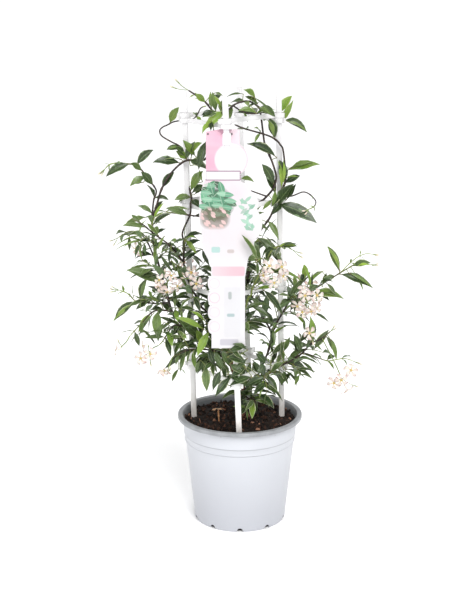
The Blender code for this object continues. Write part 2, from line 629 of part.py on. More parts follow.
def grow_stems():
    """Each stem's points and radii, bent clear of the trellis and of the stems before it."""
    rods = Rods()
    trellis_rods(rods)
    grown = {}
    spans = {}
    for name, stem in STEMS.items():
        route = [Vector(p) for p in stem.route]
        skip = set()
        apart = stem.parent and STEMS[stem.parent].node != stem.node
        if stem.parent:
            parent = STEMS[stem.parent]
            skip = set(spans[stem.parent])
            if apart:
                route = leave_parent(parent, grown[stem.parent][0], stem.route)
            else:
                route[0] = nearest_on(grown[stem.parent][0], route[0])[0]
        points = smooth_route(route, STEM_STEP)
        for _ in range(BEND_PASSES):
            for i in range(1, len(points)):
                near_parent = i * STEM_STEP < 14
                points[i] += rods.push(points[i], stem.thick + STEM_SLACK, skip if near_parent else set())
        points = thin_out(points, STEM_SLACK)
        if apart:
            points.insert(1, points[0] + (points[1] - points[0]).normalized() * 3.0)
        lengths = distances(points)
        radii = [stem.thick + (stem.thin - stem.thick) * length / lengths[-1] for length in lengths]
        if apart:
            radii[0] = 0.3
        grown[name] = (points, radii)
        first = len(rods.rods)
        for a, b in zip(points, points[1:]):
            rods.add(a, b, stem.thick)
        spans[name] = range(first, len(rods.rods))
    return grown


def fixed_obstacles():
    """The trellis, the card, the pot's rim and the soil, each a little larger than it is."""
    found = Obstacles()
    for name in STAKES:
        ends = [stake_at(name, SOIL_TOP), stake_at(name, STAKE_TOP + GAP)]
        found.add(f"stake_{name}", tube(ends, [STAKE_WIDTH * 0.62] * 2, 8))
    for name, a, b in bars():
        found.add(name, box_between(a, b, BAR_THICKNESS / 2 + GAP, BAR_HEIGHT / 2 + GAP))
        for end, other in ((a, b), (b, a)):
            rise = UP * (BAR_HEIGHT / 2 + GAP)
            found.add(name, tube([end - rise, end + rise], [EYELET_RADIUS + GAP] * 2, 10))
            out = (end - other).normalized()
            tab_end = end + out * (EYELET_RADIUS + TAB_LENGTH + GAP)
            found.add(name, box_between(end, tab_end, 2.0, BAR_HEIGHT / 2))
    left, right = CARD_LEFT - 1, 30
    for (low, near), (high, far) in zip(CARD_BEND, CARD_BEND[1:]):
        thick = CARD_THICKNESS / 2 + GAP
        corners = [(x, y + s * thick, z) for s in (-1, 1) for x, y, z in (
            (left, near, low), (right, near, low), (right, far, high), (left, far, high))]
        found.add("label", ([Vector(c) for c in corners], [(3, 2, 1, 0), (4, 5, 6, 7)]))
    inner = RIM_RADIUS - RIM_WIDTH - 1
    profile = ((RIM_RADIUS + 1, 0), (RIM_RADIUS + 1, POT_HEIGHT + 1), (inner, POT_HEIGHT + 1),
               (inner, SOIL_TOP + 3), (0.1, SOIL_TOP + 3))
    corners, faces = [], []
    for k in range(24):
        turn = 2 * math.pi * k / 24
        corners += [Vector((r * math.cos(turn), r * math.sin(turn), z)) for r, z in profile]
        for i in range(len(profile) - 1):
            a, b = k * len(profile) + i, (k + 1) % 24 * len(profile) + i
            faces.append((a, b, b + 1, a + 1))
    found.add("pot", (corners, faces))
    return found


def outward(point):
    away = Vector((point.x + 8, point.y, 0))
    return away.normalized() if away.length > 1 else Vector((0, -1, 0))


def grow_leaf(node, place, radius, along, turn, length, draw):
    """One leaf of a pair, which arches out of the stem and droops to its tip."""
    across = along.cross(UP)
    across = across.normalized() if across.length > 0.2 else Vector((1, 0, 0))
    over = across.cross(along)
    out = across * math.cos(turn) + over * math.sin(turn)
    lean = math.radians(draw.uniform(46, 66))
    axis = (along * math.cos(lean) + out * math.sin(lean) + UP * 0.22).normalized()
    place = place - axis * radius * 0.4
    sag = draw.uniform(0.35, 1.15)
    bend = place + axis * length * 0.5
    tip = bend + (axis - UP * sag).normalized() * length * 0.52
    face = UP + outward(place) * draw.uniform(0.2, 0.9)
    face += Vector((draw.uniform(-0.5, 0.5), draw.uniform(-0.7, 0.3), draw.uniform(-0.3, 0.3)))
    side = (tip - place).cross(face).normalized()
    width = length * LEAF_ASPECT * draw.uniform(0.85, 1.2)
    return Leaf(node, place, bend, tip, side, width)


def lone_leaf(name, distance, tip, stems):
    """A leaf whose tip is given. It arches up and faces forward and up."""
    points = stems[name][0]
    base = point_along(points, distances(points), distance)
    draw = random.Random(f"{SEED} lone {name} {distance} {tip}")
    tip = Vector(tip)
    length = (tip - base).length
    bend = base.lerp(tip, 0.5) + UP * length * draw.uniform(0.1, 0.2) + outward(base) * length * 0.05
    base -= (bend - base).normalized() * radius_at(STEMS[name], points, distance) * 0.4
    face = UP * 0.7 + Vector((draw.uniform(-0.3, 0.3), -0.8, draw.uniform(-0.3, 0.3)))
    side = (tip - base).cross(face).normalized()
    return Leaf(STEMS[name].node, base, bend, tip, side, 4 + length * LEAF_ASPECT * draw.uniform(0.68, 0.85))


def grow_leaves(stems, obstacles):
    """The leaves that stand out first, then the pairs along each stretch, each where it has room."""
    leaves = []

    def room_for(leaf):
        if obstacles.hit(leaf.node, blade(leaf, GAP), blade(leaf, 0.2, 0.3)):
            return False
        obstacles.add(leaf.node, blade(leaf), blade(leaf, 0, 0.3))
        leaves.append(leaf)
        return True

    for name, distance, tip in LONE_LEAVES:
        for shift in (0, 4, -4, 8, -8, 12, -12):
            if room_for(lone_leaf(name, distance, Vector(tip) + Vector((0, shift, 0)), stems)):
                break
    for zone in ZONES:
        points = stems[zone.stem][0]
        lengths = distances(points)
        last = min(zone.last, lengths[-1] - 1.5)
        for pair in range(int((last - zone.first) / zone.spacing) + 1):
            for twin in range(2):
                for leaf in leaf_tries(zone, points, lengths, pair, twin):
                    if room_for(leaf):
                        break
    return leaves


def leaf_tries(zone, points, lengths, pair, twin):
    """Places for one leaf of a pair, the likeliest first and each a little shorter and more turned."""
    stem = STEMS[zone.stem]
    distance = zone.first + pair * zone.spacing
    place = point_along(points, lengths, distance)
    ahead = point_along(points, lengths, min(distance + 2, lengths[-1]))
    along = (ahead - point_along(points, lengths, distance - 2)).normalized()
    draw = random.Random(f"{SEED} {zone.stem} {zone.first} {pair} {twin}")
    size = zone.length * (1 - 0.35 * (distance / lengths[-1]) ** 2) * draw.uniform(0.84, 1.12)
    for attempt in range(LEAF_TRIES):
        spread = 0.25 + 0.22 * attempt
        turn = math.radians(zone.turn + 90 * pair + 180 * twin) + draw.uniform(-spread, spread)
        length = size * (1 - 0.04 * attempt)
        yield grow_leaf(stem.node, place, radius_at(stem, points, distance), along, turn, length, draw)


def grow_bloom(cluster, stems, obstacles):
    """A stalk from the carrying stem, and flowers and buds spread over a dome at its end."""
    parent = STEMS[cluster.stem]
    centre = Vector(cluster.centre)
    facing = Vector(cluster.facing).normalized()
    route = leave_parent(parent, stems[cluster.stem][0], [centre, centre])[:2]
    route += [route[1].lerp(centre, 0.6) + UP * 2, centre]
    stalk = Stalk(cluster.node, smooth_route(route, STEM_STEP), STALK_RADIUS)
    flowers, buds = [], []
    draw = random.Random(f"{SEED} {cluster.node}")
    across = facing.orthogonal().normalized()
    for number in range(cluster.flowers + cluster.buds):
        is_flower = number < cluster.flowers
        for attempt in range(FLOWER_TRIES):
            share = (number + 0.5) / (cluster.flowers + cluster.buds)
            tilt = math.radians(20 + 68 * math.sqrt(share)) * draw.uniform(0.85, 1.15)
            spin = number * 2.4 + draw.uniform(-0.3, 0.3) * (1 + attempt / 3)
            out = Matrix.Rotation(spin, 3, facing) @ Matrix.Rotation(tilt, 3, across) @ facing
            end = centre + out * cluster.spread * draw.uniform(0.85, 1.1) * (1 - 0.03 * attempt)
            if is_flower:
                axis = (out + facing * 0.9).normalized()
                foot = centre.lerp(end, 0.02)
                size = FLOWER_RADIUS * draw.uniform(0.9, 1.05)
                shape = Flower(cluster.node, foot, end, axis, draw.uniform(0, 1.2), size)
                outer, core = blossom(shape, GAP), blossom(petals_alone(shape))
            else:
                end += out * BUD_LENGTH * 0.7
                shape = Bud(cluster.node, centre, end, draw.uniform(0.9, 1.2))
                outer = core = bud(shape)
            if not obstacles.hit(cluster.node, outer, core):
                break
        else:
            continue
        if is_flower:
            obstacles.add(cluster.node, blossom(shape), blossom(petals_alone(shape)))
            flowers.append(shape)
        else:
            obstacles.add(cluster.node, bud(shape))
            buds.append(shape)
    return stalk, flowers, buds


def grow_bud_tips(stems, obstacles):
    """A fan of slender buds where a shoot ends."""
    buds = []
    for name, count, length in BUD_TIPS:
        points = stems[name][0]
        along = (points[-1] - points[-2]).normalized()
        across = along.orthogonal().normalized()
        draw = random.Random(f"{SEED} tip {name}")
        for number in range(count):
            for _ in range(BUD_TRIES):
                out = Matrix.Rotation(2.1 * number + draw.uniform(-0.5, 0.5), 3, along) @ across
                aim = (along + out * draw.uniform(0.25, 0.55) - UP * 0.15).normalized()
                end = points[-1] + aim * length * draw.uniform(0.75, 1.05)
                shape = Bud(STEMS[name].node, points[-1], end, draw.uniform(0.8, 1.1))
                if not obstacles.hit(STEMS[name].node, bud(shape)):
                    obstacles.add(STEMS[name].node, bud(shape))
                    buds.append(shape)
                    break
    return buds


def grow_plant():
    """Stems first, then flowers and buds, then the leaves that find room."""
    stems = grow_stems()
    obstacles = fixed_obstacles()
    for name, (points, radii) in stems.items():
        swollen = [r + GAP for r in radii]
        obstacles.add(STEMS[name].node, tube(points, swollen, STEM_SIDES))
    stalks, flowers, buds = [], [], []
    for cluster in CLUSTERS:
        stalk, more_flowers, more_buds = grow_bloom(cluster, stems, obstacles)
        obstacles.add(stalk.node, tube(stalk.points, [stalk.thick + GAP] * len(stalk.points), 4))
        stalks.append(stalk)
        flowers += more_flowers
        buds += more_buds
    buds += grow_bud_tips(stems, obstacles)
    leaves = grow_leaves(stems, obstacles)
    return stems, stalks, flowers, buds, leaves


# Objects

def clear_scene():
    for thing in list(bpy.data.objects):
        bpy.data.objects.remove(thing)


def material(name, colour, roughness):
    made = bpy.data.materials.get(name) or bpy.data.materials.new(name)
    made.use_nodes = True
    surface = made.node_tree.nodes["Principled BSDF"]
    surface.inputs["Base Color"].default_value = (*colour, 1)
    surface.inputs["Roughness"].default_value = roughness
    surface.inputs["Metallic"].default_value = 0.0
    return made


WHITE_PLASTIC = ("white_plastic", (0.86, 0.86, 0.88), 0.4)
POT_PLASTIC = ("pot_plastic", (0.84, 0.86, 0.89), 0.45)
BARK = ("bark", (0.075, 0.035, 0.02), 0.95)
DRY_PETAL = ("dry_petal", (0.55, 0.34, 0.18), 0.8)
CARD = ("card", (0.93, 0.9, 0.92), 0.35)
WOODY = ("woody_stem", (0.13, 0.06, 0.035), 0.7)
FOLIAGE = ("foliage", (0.07, 0.17, 0.04), 0.35)
PETAL = ("petal", (0.95, 0.82, 0.8), 0.6)


def make_object(name, shape, finish):
    mesh = bpy.data.meshes.new(name)
    corners, faces = shape
    mesh.from_pydata([Vector(c) * METRES for c in corners], [], faces)
    mesh.validate()
    thing = bpy.data.objects.new(name, mesh)
    bpy.context.collection.objects.link(thing)
    mesh.materials.append(material(*finish))
    return thing


def smooth(thing, angle=40):
    thing.data.shade_smooth()
    thing.data.set_sharp_from_angle(angle=math.radians(angle))


def helper(name, shape):
    """A cutter, which is no piece of its own."""
    thing = make_object(name, shape, WHITE_PLASTIC)
    thing.data.materials.clear()
    thing.hide_render = True
    thing.display_type = "WIRE"
    return thing


def gather(name, things):
    """The things in a collection of their own."""
    group = bpy.data.collections.new(name)
    bpy.context.scene.collection.children.link(group)
    for thing in things:
        for home in list(thing.users_collection):
            home.objects.unlink(thing)
        group.objects.link(thing)
    return group


def boolean(thing, group, operation):
    modifier = thing.modifiers.new(operation.lower(), "BOOLEAN")
    modifier.operation = operation
    modifier.operand_type = "COLLECTION"
    modifier.collection = group
    modifier.solver = "EXACT"
    return modifier


def apply_modifiers(thing):
    """The object's mesh as its modifiers leave it."""
    graph = bpy.context.evaluated_depsgraph_get()
    final = bpy.data.meshes.new_from_object(thing.evaluated_get(graph))
    thing.modifiers.clear()
    thing.data = final
    return final


def fuse(name, shapes, finish):
    """All the shapes as one body."""
    whole = make_object(name, shapes[0], finish)
    if len(shapes) == 1:
        return whole
    pieces = [make_object(f"{name}_{i}", shape, finish) for i, shape in enumerate(shapes[1:])]
    group = gather(f"{name}_pieces", pieces)
    boolean(whole, group, "UNION")
    joined = apply_modifiers(whole)
    for piece in pieces:
        bpy.data.objects.remove(piece)
    bpy.data.collections.remove(group)
    joined.materials.clear()
    joined.materials.append(material(*finish))
    return whole


def wall_radius(height):
    """The pot's outer radius below its collar."""
    return BASE_RADIUS + (RIM_RADIUS - RIM_WIDTH + WALL - COLLAR_STEP - BASE_RADIUS) * height / POT_HEIGHT


def pot_profile():
    """Radius and height round the wall, from the middle of the floor's top to the middle of its underside."""
    lip_foot = POT_HEIGHT - LIP_DEPTH
    inner_rim = RIM_RADIUS - RIM_WIDTH
    collar = [wall_radius(z) + COLLAR_STEP for z in (lip_foot, COLLAR_FOOT)]
    return (
        (0, FLOOR), (BASE_RADIUS - WALL, FLOOR), (wall_radius(lip_foot) - WALL, lip_foot),
        (inner_rim, POT_HEIGHT - LIP_ROUND), (inner_rim + LIP_ROUND, POT_HEIGHT),
        (RIM_RADIUS - LIP_ROUND, POT_HEIGHT), (RIM_RADIUS, POT_HEIGHT - LIP_ROUND), (RIM_RADIUS, lip_foot),
        (collar[0], lip_foot), (collar[1], COLLAR_FOOT),
        (wall_radius(COLLAR_FOOT), COLLAR_FOOT - COLLAR_STEP), (wall_radius(DRAIN_REACH), DRAIN_REACH),
        (BASE_RADIUS, FOOT_ROUND), (BASE_RADIUS - FOOT_ROUND, 0), (0, 0),
    )


def make_pot():
    """A turned wall with a rolled lip and a stepped collar, and drain holes round its foot."""
    profile = pot_profile()
    mesh = bpy.data.meshes.new("pot")
    corners = [(r * METRES, 0, z * METRES) for r, z in profile]
    mesh.from_pydata(corners, [(i, i + 1) for i in range(len(profile) - 1)], [])
    pot = bpy.data.objects.new("pot", mesh)
    bpy.context.collection.objects.link(pot)
    turned = pot.modifiers.new("turned", "SCREW")
    turned.steps = turned.render_steps = POT_SIDES
    turned.use_merge_vertices = True
    turned.merge_threshold = 0.00001
    drains = []
    for k in range(DRAINS):
        turn = 2 * math.pi * (k + 0.5) / DRAINS
        way = Vector((math.cos(turn), math.sin(turn), 0))
        corner = way * (BASE_RADIUS - FOOT_ROUND / 2) + UP * FOOT_ROUND / 2
        slant = (way - UP).normalized() * DRAIN_REACH
        drains.append(helper(f"drain_{k}", tube([corner - slant, corner + slant], [DRAIN_RADIUS] * 2, 6)))
    boolean(pot, gather("drains", drains), "DIFFERENCE")
    mesh.materials.append(material(*POT_PLASTIC))
    apply_modifiers(pot)
    smooth(pot, 30)
    return pot


def soil_height(x, y):
    lumps = noise.fractal(Vector((x, y, 3.0)) / 17, 0.8, 2.0, 3)
    return SOIL_TOP + SOIL_LUMPS * lumps


def make_soil():
    """A lumpy fill a little off the pot's wall, with a plain hole for each stake and for the trunk."""
    foot = FLOOR + GAP
    edge = wall_radius(SOIL_TOP) - WALL - 2 * GAP
    foot_radius = wall_radius(foot) - WALL - 2 * GAP
    corners = [Vector((0, 0, soil_height(0, 0)))]
    for ring in range(1, SOIL_RINGS + 2):
        # The last ring is the foot, below the top's edge, whose corners face those of the pot.
        shift = 0.5 * ((SOIL_RINGS - min(ring, SOIL_RINGS)) % 2)
        for k in range(SOIL_SIDES):
            turn = 2 * math.pi * (k + shift) / SOIL_SIDES
            radius = foot_radius if ring > SOIL_RINGS else edge * ring / SOIL_RINGS
            x, y = radius * math.cos(turn), radius * math.sin(turn)
            corners.append(Vector((x, y, foot if ring > SOIL_RINGS else soil_height(x, y))))
    faces = [(0, 1 + k, 1 + (k + 1) % SOIL_SIDES) for k in range(SOIL_SIDES)]
    for ring in range(SOIL_RINGS):
        a, b = 1 + ring * SOIL_SIDES, 1 + (ring + 1) * SOIL_SIDES
        shifted = (SOIL_RINGS - ring - 1) % 2
        for k in range(SOIL_SIDES):
            after = (k + 1) % SOIL_SIDES
            if ring == SOIL_RINGS - 1:
                faces.append((a + k, b + k, b + after, a + after))
            elif shifted:
                faces += [(a + k, b + after, a + after), (a + k, b + k, b + after)]
            else:
                faces += [(a + k, b + k, a + after), (a + after, b + k, b + after)]
    last = 1 + SOIL_RINGS * SOIL_SIDES
    faces.append(tuple(reversed(range(last, last + SOIL_SIDES))))
    soil = make_object("soil", (corners, faces), BARK)
    holes = []
    for name in STAKES:
        holes.append(helper(f"hole_{name}", stake_shape(name, STAKE_FOOT - GAP, SOIL_TOP + HOLE_REACH, GAP)))
    trunk = STEMS["trunk"]
    x, y, trunk_foot = trunk.route[0]
    ends = [Vector((x, y, trunk_foot - GAP)), Vector((x, y, SOIL_TOP + HOLE_REACH))]
    holes.append(helper("hole_trunk", tube(ends, [trunk.thick + 2 * GAP] * 2, 8)))
    boolean(soil, gather("holes", holes), "DIFFERENCE")
    apply_modifiers(soil)
    smooth(soil, 50)
    return soil


def stake_shape(name, foot, top, swell=0.0):
    """A square stick with chamfered edges, cut level at both ends."""
    half, flat = STAKE_WIDTH / 2 + swell, STAKE_WIDTH / 2 - STAKE_CHAMFER + swell / 2
    section = ((half, -flat), (half, flat), (flat, half), (-flat, half),
               (-half, flat), (-half, -flat), (-flat, -half), (flat, -half))
    corners = [stake_at(name, z) + Vector((x, y, 0)) for z in (foot, SOIL_TOP, top) for x, y in section]
    faces = [tuple(reversed(range(8))), tuple(range(16, 24))]
    for low in (0, 8):
        faces += [(low + k, low + (k + 1) % 8, low + (k + 1) % 8 + 8, low + k + 8) for k in range(8)]
    return corners, faces


def make_bar(name, a, b):
    """A strip on edge, with an eyelet and a short tab at each end."""
    run = (b - a).normalized()
    run.z = 0
    run.normalize()
    side = Vector((-run.y, run.x, 0))
    half = BAR_THICKNESS / 2
    inset = math.sqrt(EYELET_RADIUS ** 2 - half ** 2)
    outline = []
    for end, way in ((b, 1), (a, -1)):
        neck = math.atan2(half, -inset)
        for k in range(EYELET_SIDES // 2):
            turn = -neck + (neck - math.atan2(half, inset)) * k / (EYELET_SIDES // 2 - 1)
            outline.append(end + way * EYELET_RADIUS * (run * math.cos(turn) + side * math.sin(turn)))
        for s in (-1, 1):
            outline.append(end + way * ((EYELET_RADIUS + TAB_LENGTH) * run + s * half * side))
        for k in range(EYELET_SIDES // 2):
            turn = math.atan2(half, inset) + (neck - math.atan2(half, inset)) * k / (EYELET_SIDES // 2 - 1)
            outline.append(end + way * EYELET_RADIUS * (run * math.cos(turn) + side * math.sin(turn)))
    count = len(outline)
    level = (a.z + b.z) / 2
    corners = [Vector((p.x, p.y, level + s * BAR_HEIGHT / 2)) for s in (-1, 1) for p in outline]
    faces = [tuple(reversed(range(count))), tuple(range(count, 2 * count))]
    faces += [(k, (k + 1) % count, (k + 1) % count + count, k + count) for k in range(count)]
    bar = make_object(name, (corners, faces), WHITE_PLASTIC)
    bores = []
    for end in (a, b):
        rise = UP * BAR_HEIGHT
        bores.append(helper(f"{name}_bore", tube([end - rise, end + rise], [EYELET_BORE] * 2, EYELET_SIDES)))
    boolean(bar, gather(f"{name}_bores", bores), "DIFFERENCE")
    return bar


def arc(centre, radius, first, last, count):
    """Points on part of a circle, angles in degrees, anticlockwise when last is larger."""
    turns = [math.radians(first + (last - first) * k / (count - 1)) for k in range(count)]
    return [(centre[0] + radius * math.cos(t), centre[1] + radius * math.sin(t)) for t in turns]


def card_outline():
    """The card's edge from its top left corner, clockwise as seen from the front."""
    disc_turn = math.degrees(math.acos((CARD_HEAD_RIGHT - DISC_CENTRE[0]) / DISC_RADIUS))
    points = [(CARD_HEAD_LEFT, CARD_TOP - 3), (CARD_HEAD_LEFT + 18, CARD_TOP), (CARD_HEAD_RIGHT, CARD_TOP)]
    points += arc(DISC_CENTRE, DISC_RADIUS, disc_turn, -disc_turn, 7)
    points += [
        (1.5, 488), (1.5, 481), (9, 478), (16, 466), (23, 458), (22, 446), (28, 432), (26, 416), (18, 404),
        (19, 392), (11, 384), (8, 368), (CARD_FOOT_RIGHT, 358), (CARD_FOOT_RIGHT, CARD_FOOT)]
    points.append((CARD_WAIST, CARD_FOOT))
    reach_up = (SCALLOP_TOP - SCALLOP_FOOT) / SCALLOPS
    for k in range(SCALLOPS):
        centre = (CARD_WAIST, SCALLOP_FOOT + reach_up * (k + 0.5))
        for x, z in arc((0, 0), 1, -90, -270, 4):
            points.append((centre[0] + x * SCALLOP_DEPTH, centre[1] + z * reach_up * 0.48))
    points += [(CARD_WAIST, 374), (-48, 397), (-48.5, 415), (CARD_LEFT, 428), (CARD_LEFT, 458), (-47, 478)]
    points.append((CARD_HEAD_LEFT, 485))
    return points


def make_label():
    """A flat card cut to its outline and slotted, then bent so that its head goes behind the stake."""
    edge = card_outline()
    count = len(edge)
    half = CARD_THICKNESS / 2
    corners = [Vector((x, s * half, z)) for s in (-1, 1) for x, z in edge]
    faces = [tuple(reversed(range(count))), tuple(range(count, 2 * count))]
    faces += [(k, (k + 1) % count, (k + 1) % count + count, k + count) for k in range(count)]
    label = make_object("label", (corners, faces), CARD)
    slot_x = stake_at("front", (SLOT_FOOT + SLOT_TOP) / 2).x
    slot = [Vector((slot_x, 0, SLOT_FOOT)), Vector((slot_x, 0, SLOT_TOP))]
    section = ((-1, -1), (1, -1), (1, 1), (-1, 1))
    corners = [p + Vector((s * SLOT_HALF_WIDTH, t * 5, 0)) for p in slot for s, t in section]
    faces = [(3, 2, 1, 0), (4, 5, 6, 7)] + [(k, (k + 1) % 4, (k + 1) % 4 + 4, k + 4) for k in range(4)]
    cutter = helper("slot", (corners, faces))
    boolean(label, gather("slots", [cutter]), "DIFFERENCE")
    cut = apply_modifiers(label)
    form = bmesh.new()
    form.from_mesh(cut)
    for height, _ in CARD_BEND[1:-1]:
        everything = form.verts[:] + form.edges[:] + form.faces[:]
        bmesh.ops.bisect_plane(form, geom=everything, plane_co=(0, 0, height * METRES), plane_no=(0, 0, 1))
    bmesh.ops.triangulate(form, faces=form.faces)
    for corner in form.verts:
        corner.co.y += card_depth(corner.co.z / METRES) * METRES
    form.to_mesh(cut)
    form.free()
    return label


def make_fallen_bloom():
    """A dried flower that stands in the soil's crumbs on its tube, face up."""
    place = Vector((*FALLEN_AT, soil_height(*FALLEN_AT) + FALLEN_HEIGHT))
    foot = Vector((*FALLEN_FOOT, soil_height(*FALLEN_FOOT) + 0.8))
    flower = Flower("fallen_bloom", foot, place, Vector(FALLEN_AXIS).normalized(), 0.4, FALLEN_RADIUS)
    bloom = make_object("fallen_bloom", blossom(flower), DRY_PETAL)
    smooth(bloom)
    return bloom


def make_plant():
    """Each stem with its leaves and tip buds as one body, and each cluster of flowers as another."""
    stems, stalks, flowers, buds, leaves = grow_plant()
    shapes = {}
    for name, (points, radii) in stems.items():
        sides = STEM_SIDES if name == "trunk" else TWIG_SIDES
        shapes.setdefault(STEMS[name].node, []).append(tube(points, radii, sides))
    for stalk in stalks:
        radii = [GAP] + [stalk.thick] * (len(stalk.points) - 1)
        shapes[stalk.node] = [knot(stalk.points[-1]), tube(stalk.points, radii, 3)]
    for flower in flowers:
        shapes[flower.node].append(blossom(flower))
    for one in buds:
        shapes[one.node].append(bud(one))
    for leaf in leaves:
        shapes[leaf.node].append(blade(leaf))
    blooms = {cluster.node for cluster in CLUSTERS}
    for node, parts in shapes.items():
        finish = PETAL if node in blooms else WOODY if node == "trunk" else FOLIAGE
        smooth(fuse(node, parts, finish))


def main():
    clear_scene()
    make_pot()
    make_soil()
    for name in STAKES:
        make_object(f"stake_{name}", stake_shape(name, STAKE_FOOT, STAKE_TOP), WHITE_PLASTIC)
    for name, a, b in bars():
        make_bar(name, a, b)
    make_label()
    make_fallen_bloom()
    make_plant()


main()
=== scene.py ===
# %% [markdown]
# # A star jasmine in its nursery pot
# This plant is sold as a small climber: one woody foot, a handful of thin vines tied to four white stakes,
# and a printed card that hangs on the front stake. The file dresses the measured solids of that plant. It keeps
# every size and place, and makes the fine things that solids are too coarse for: leaf blades with a
# channel and a rib, five-petalled flowers with a slim tube, bark crumbs, rounded plastic, print on the card.

# %% Load the measured solids
import json
import math
import random
from collections import namedtuple

import bmesh
import bpy
from mathutils import Matrix, Vector, noise
from mathutils.bvhtree import BVHTree

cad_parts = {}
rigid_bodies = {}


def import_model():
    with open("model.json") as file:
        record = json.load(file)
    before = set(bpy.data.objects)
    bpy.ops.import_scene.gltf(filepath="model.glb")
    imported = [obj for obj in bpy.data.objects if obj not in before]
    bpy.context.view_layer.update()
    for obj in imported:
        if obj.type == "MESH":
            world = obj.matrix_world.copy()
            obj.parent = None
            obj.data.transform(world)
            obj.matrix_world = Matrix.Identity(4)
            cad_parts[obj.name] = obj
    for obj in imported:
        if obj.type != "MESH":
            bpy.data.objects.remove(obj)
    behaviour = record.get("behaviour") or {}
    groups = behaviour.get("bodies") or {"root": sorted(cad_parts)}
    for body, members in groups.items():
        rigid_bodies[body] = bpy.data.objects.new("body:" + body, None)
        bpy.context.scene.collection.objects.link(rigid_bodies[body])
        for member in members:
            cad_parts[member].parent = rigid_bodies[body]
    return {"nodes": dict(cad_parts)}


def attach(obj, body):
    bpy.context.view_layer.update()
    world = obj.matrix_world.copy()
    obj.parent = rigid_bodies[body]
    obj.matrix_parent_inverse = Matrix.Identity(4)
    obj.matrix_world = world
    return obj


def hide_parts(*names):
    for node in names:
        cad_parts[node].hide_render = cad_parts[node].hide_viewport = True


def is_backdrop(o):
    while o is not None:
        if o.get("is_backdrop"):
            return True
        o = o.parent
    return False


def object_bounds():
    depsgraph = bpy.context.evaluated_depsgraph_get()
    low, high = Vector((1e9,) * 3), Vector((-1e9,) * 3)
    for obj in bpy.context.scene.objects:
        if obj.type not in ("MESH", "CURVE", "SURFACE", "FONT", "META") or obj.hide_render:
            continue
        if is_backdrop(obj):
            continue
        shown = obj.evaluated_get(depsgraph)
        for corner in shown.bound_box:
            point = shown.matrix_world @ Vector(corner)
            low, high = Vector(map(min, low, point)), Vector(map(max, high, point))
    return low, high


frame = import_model()
cad_box = [list(corner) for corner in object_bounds()]
METRES = 0.001
UP = Vector((0, 0, 1))
print(len(frame["nodes"]), "solids in a box of", *([round(value, 3) for value in corner] for corner in cad_box))

# %% [markdown]
# ## The camera
# A catalogue picture of a pot plant is taken from a little above the rim with a long lens, so that the stakes
# stay nearly parallel. A wrong lens can't be mended by moving the plant, so the camera comes first: its
# height, tilt and lens were worked out from the pot's rim, the four rings of the trellis and the stakes.

# %% Camera
CAMERA_AT = (-0.0033, -1.74, 0.771)
CAMERA_TILT = 75.14
CAMERA_LENS = 80.44

camera = bpy.data.objects.new("camera", bpy.data.cameras.new("camera"))
bpy.context.scene.collection.objects.link(camera)
camera.location = CAMERA_AT
camera.rotation_euler = (math.radians(CAMERA_TILT), 0, 0)
camera.data.lens = CAMERA_LENS
bpy.context.scene.camera = camera
bpy.context.scene.view_settings.view_transform = "Standard"
print("camera at", CAMERA_AT, "tilted", CAMERA_TILT, "degrees, lens", CAMERA_LENS, "mm")

# %% [markdown]
# ## Helpers for node trees
# Surfaces and repeated shapes are both made with node trees here. Small functions keep their code short:
# *put* adds a node with its settings and its inputs, and others make a reusable group or a geometry tree with
# named sockets, or stand for a sum.


# %% Node helpers
def put(tree, kind, inputs=None, **settings):
    """A new node. An input is given by its name or number, as a value or as the socket that feeds it."""
    node = tree.nodes.new(kind)
    for name, value in settings.items():
        setattr(node, name, value)
    for socket, value in (inputs or {}).items():
        if isinstance(value, bpy.types.NodeSocket):
            tree.links.new(value, node.inputs[socket])
        else:
            node.inputs[socket].default_value = value
    return node


def maths(tree, operation, *values, clamp=False):
    return put(tree, "ShaderNodeMath", dict(enumerate(values)), operation=operation, use_clamp=clamp).outputs[0]


def times(tree, first, second):
    return maths(tree, "MULTIPLY", first, second)


def plus(tree, first, second):
    return maths(tree, "ADD", first, second)


def minus(tree, first, second, clamp=False):
    return maths(tree, "SUBTRACT", first, second, clamp=clamp)


def vectors(tree, operation, first, second=None):
    """Vector maths. SCALE takes a number as its second value."""
    slot = {"SCALE": 3, "NORMALIZE": None}.get(operation, 1)
    inputs = {0: first} if slot is None else {0: first, slot: second}
    node = put(tree, "ShaderNodeVectorMath", inputs, operation=operation)
    return node.outputs["Value" if operation == "DOT_PRODUCT" else "Vector"]


def ramp(tree, value, low, high, to_low=0.0, to_high=1.0):
    """A smooth step from one number to another while the value goes from low to high."""
    inputs = {"Value": value, "From Min": low, "From Max": high, "To Min": to_low, "To Max": to_high}
    return put(tree, "ShaderNodeMapRange", inputs, interpolation_type="SMOOTHSTEP").outputs[0]


def blend(tree, share, first, second):
    """A mix of two colours."""
    return put(tree, "ShaderNodeMix", {0: share, 6: first, 7: second}, data_type="RGBA").outputs[2]


def parts_of(tree, vector):
    """The X, Y and Z of a vector."""
    return put(tree, "ShaderNodeSeparateXYZ", {0: vector}).outputs


def vector_of(tree, **parts):
    """A vector from its X, Y and Z. One that isn't given is zero."""
    return put(tree, "ShaderNodeCombineXYZ", parts).outputs[0]


print("node helpers ready")


# %% Groups and trees
def new_group(name, kind, inputs, outputs):
    """A node group with named sockets, given as (name, type, value) and (name, type)."""
    group = bpy.data.node_groups.new(name, kind)
    for label, socket, value in inputs:
        made = group.interface.new_socket(label, in_out="INPUT", socket_type="NodeSocket" + socket)
        if value is not None:
            made.default_value = value
    for label, socket in outputs:
        group.interface.new_socket(label, in_out="OUTPUT", socket_type="NodeSocket" + socket)
    return group, group.nodes.new("NodeGroupInput").outputs, group.nodes.new("NodeGroupOutput")


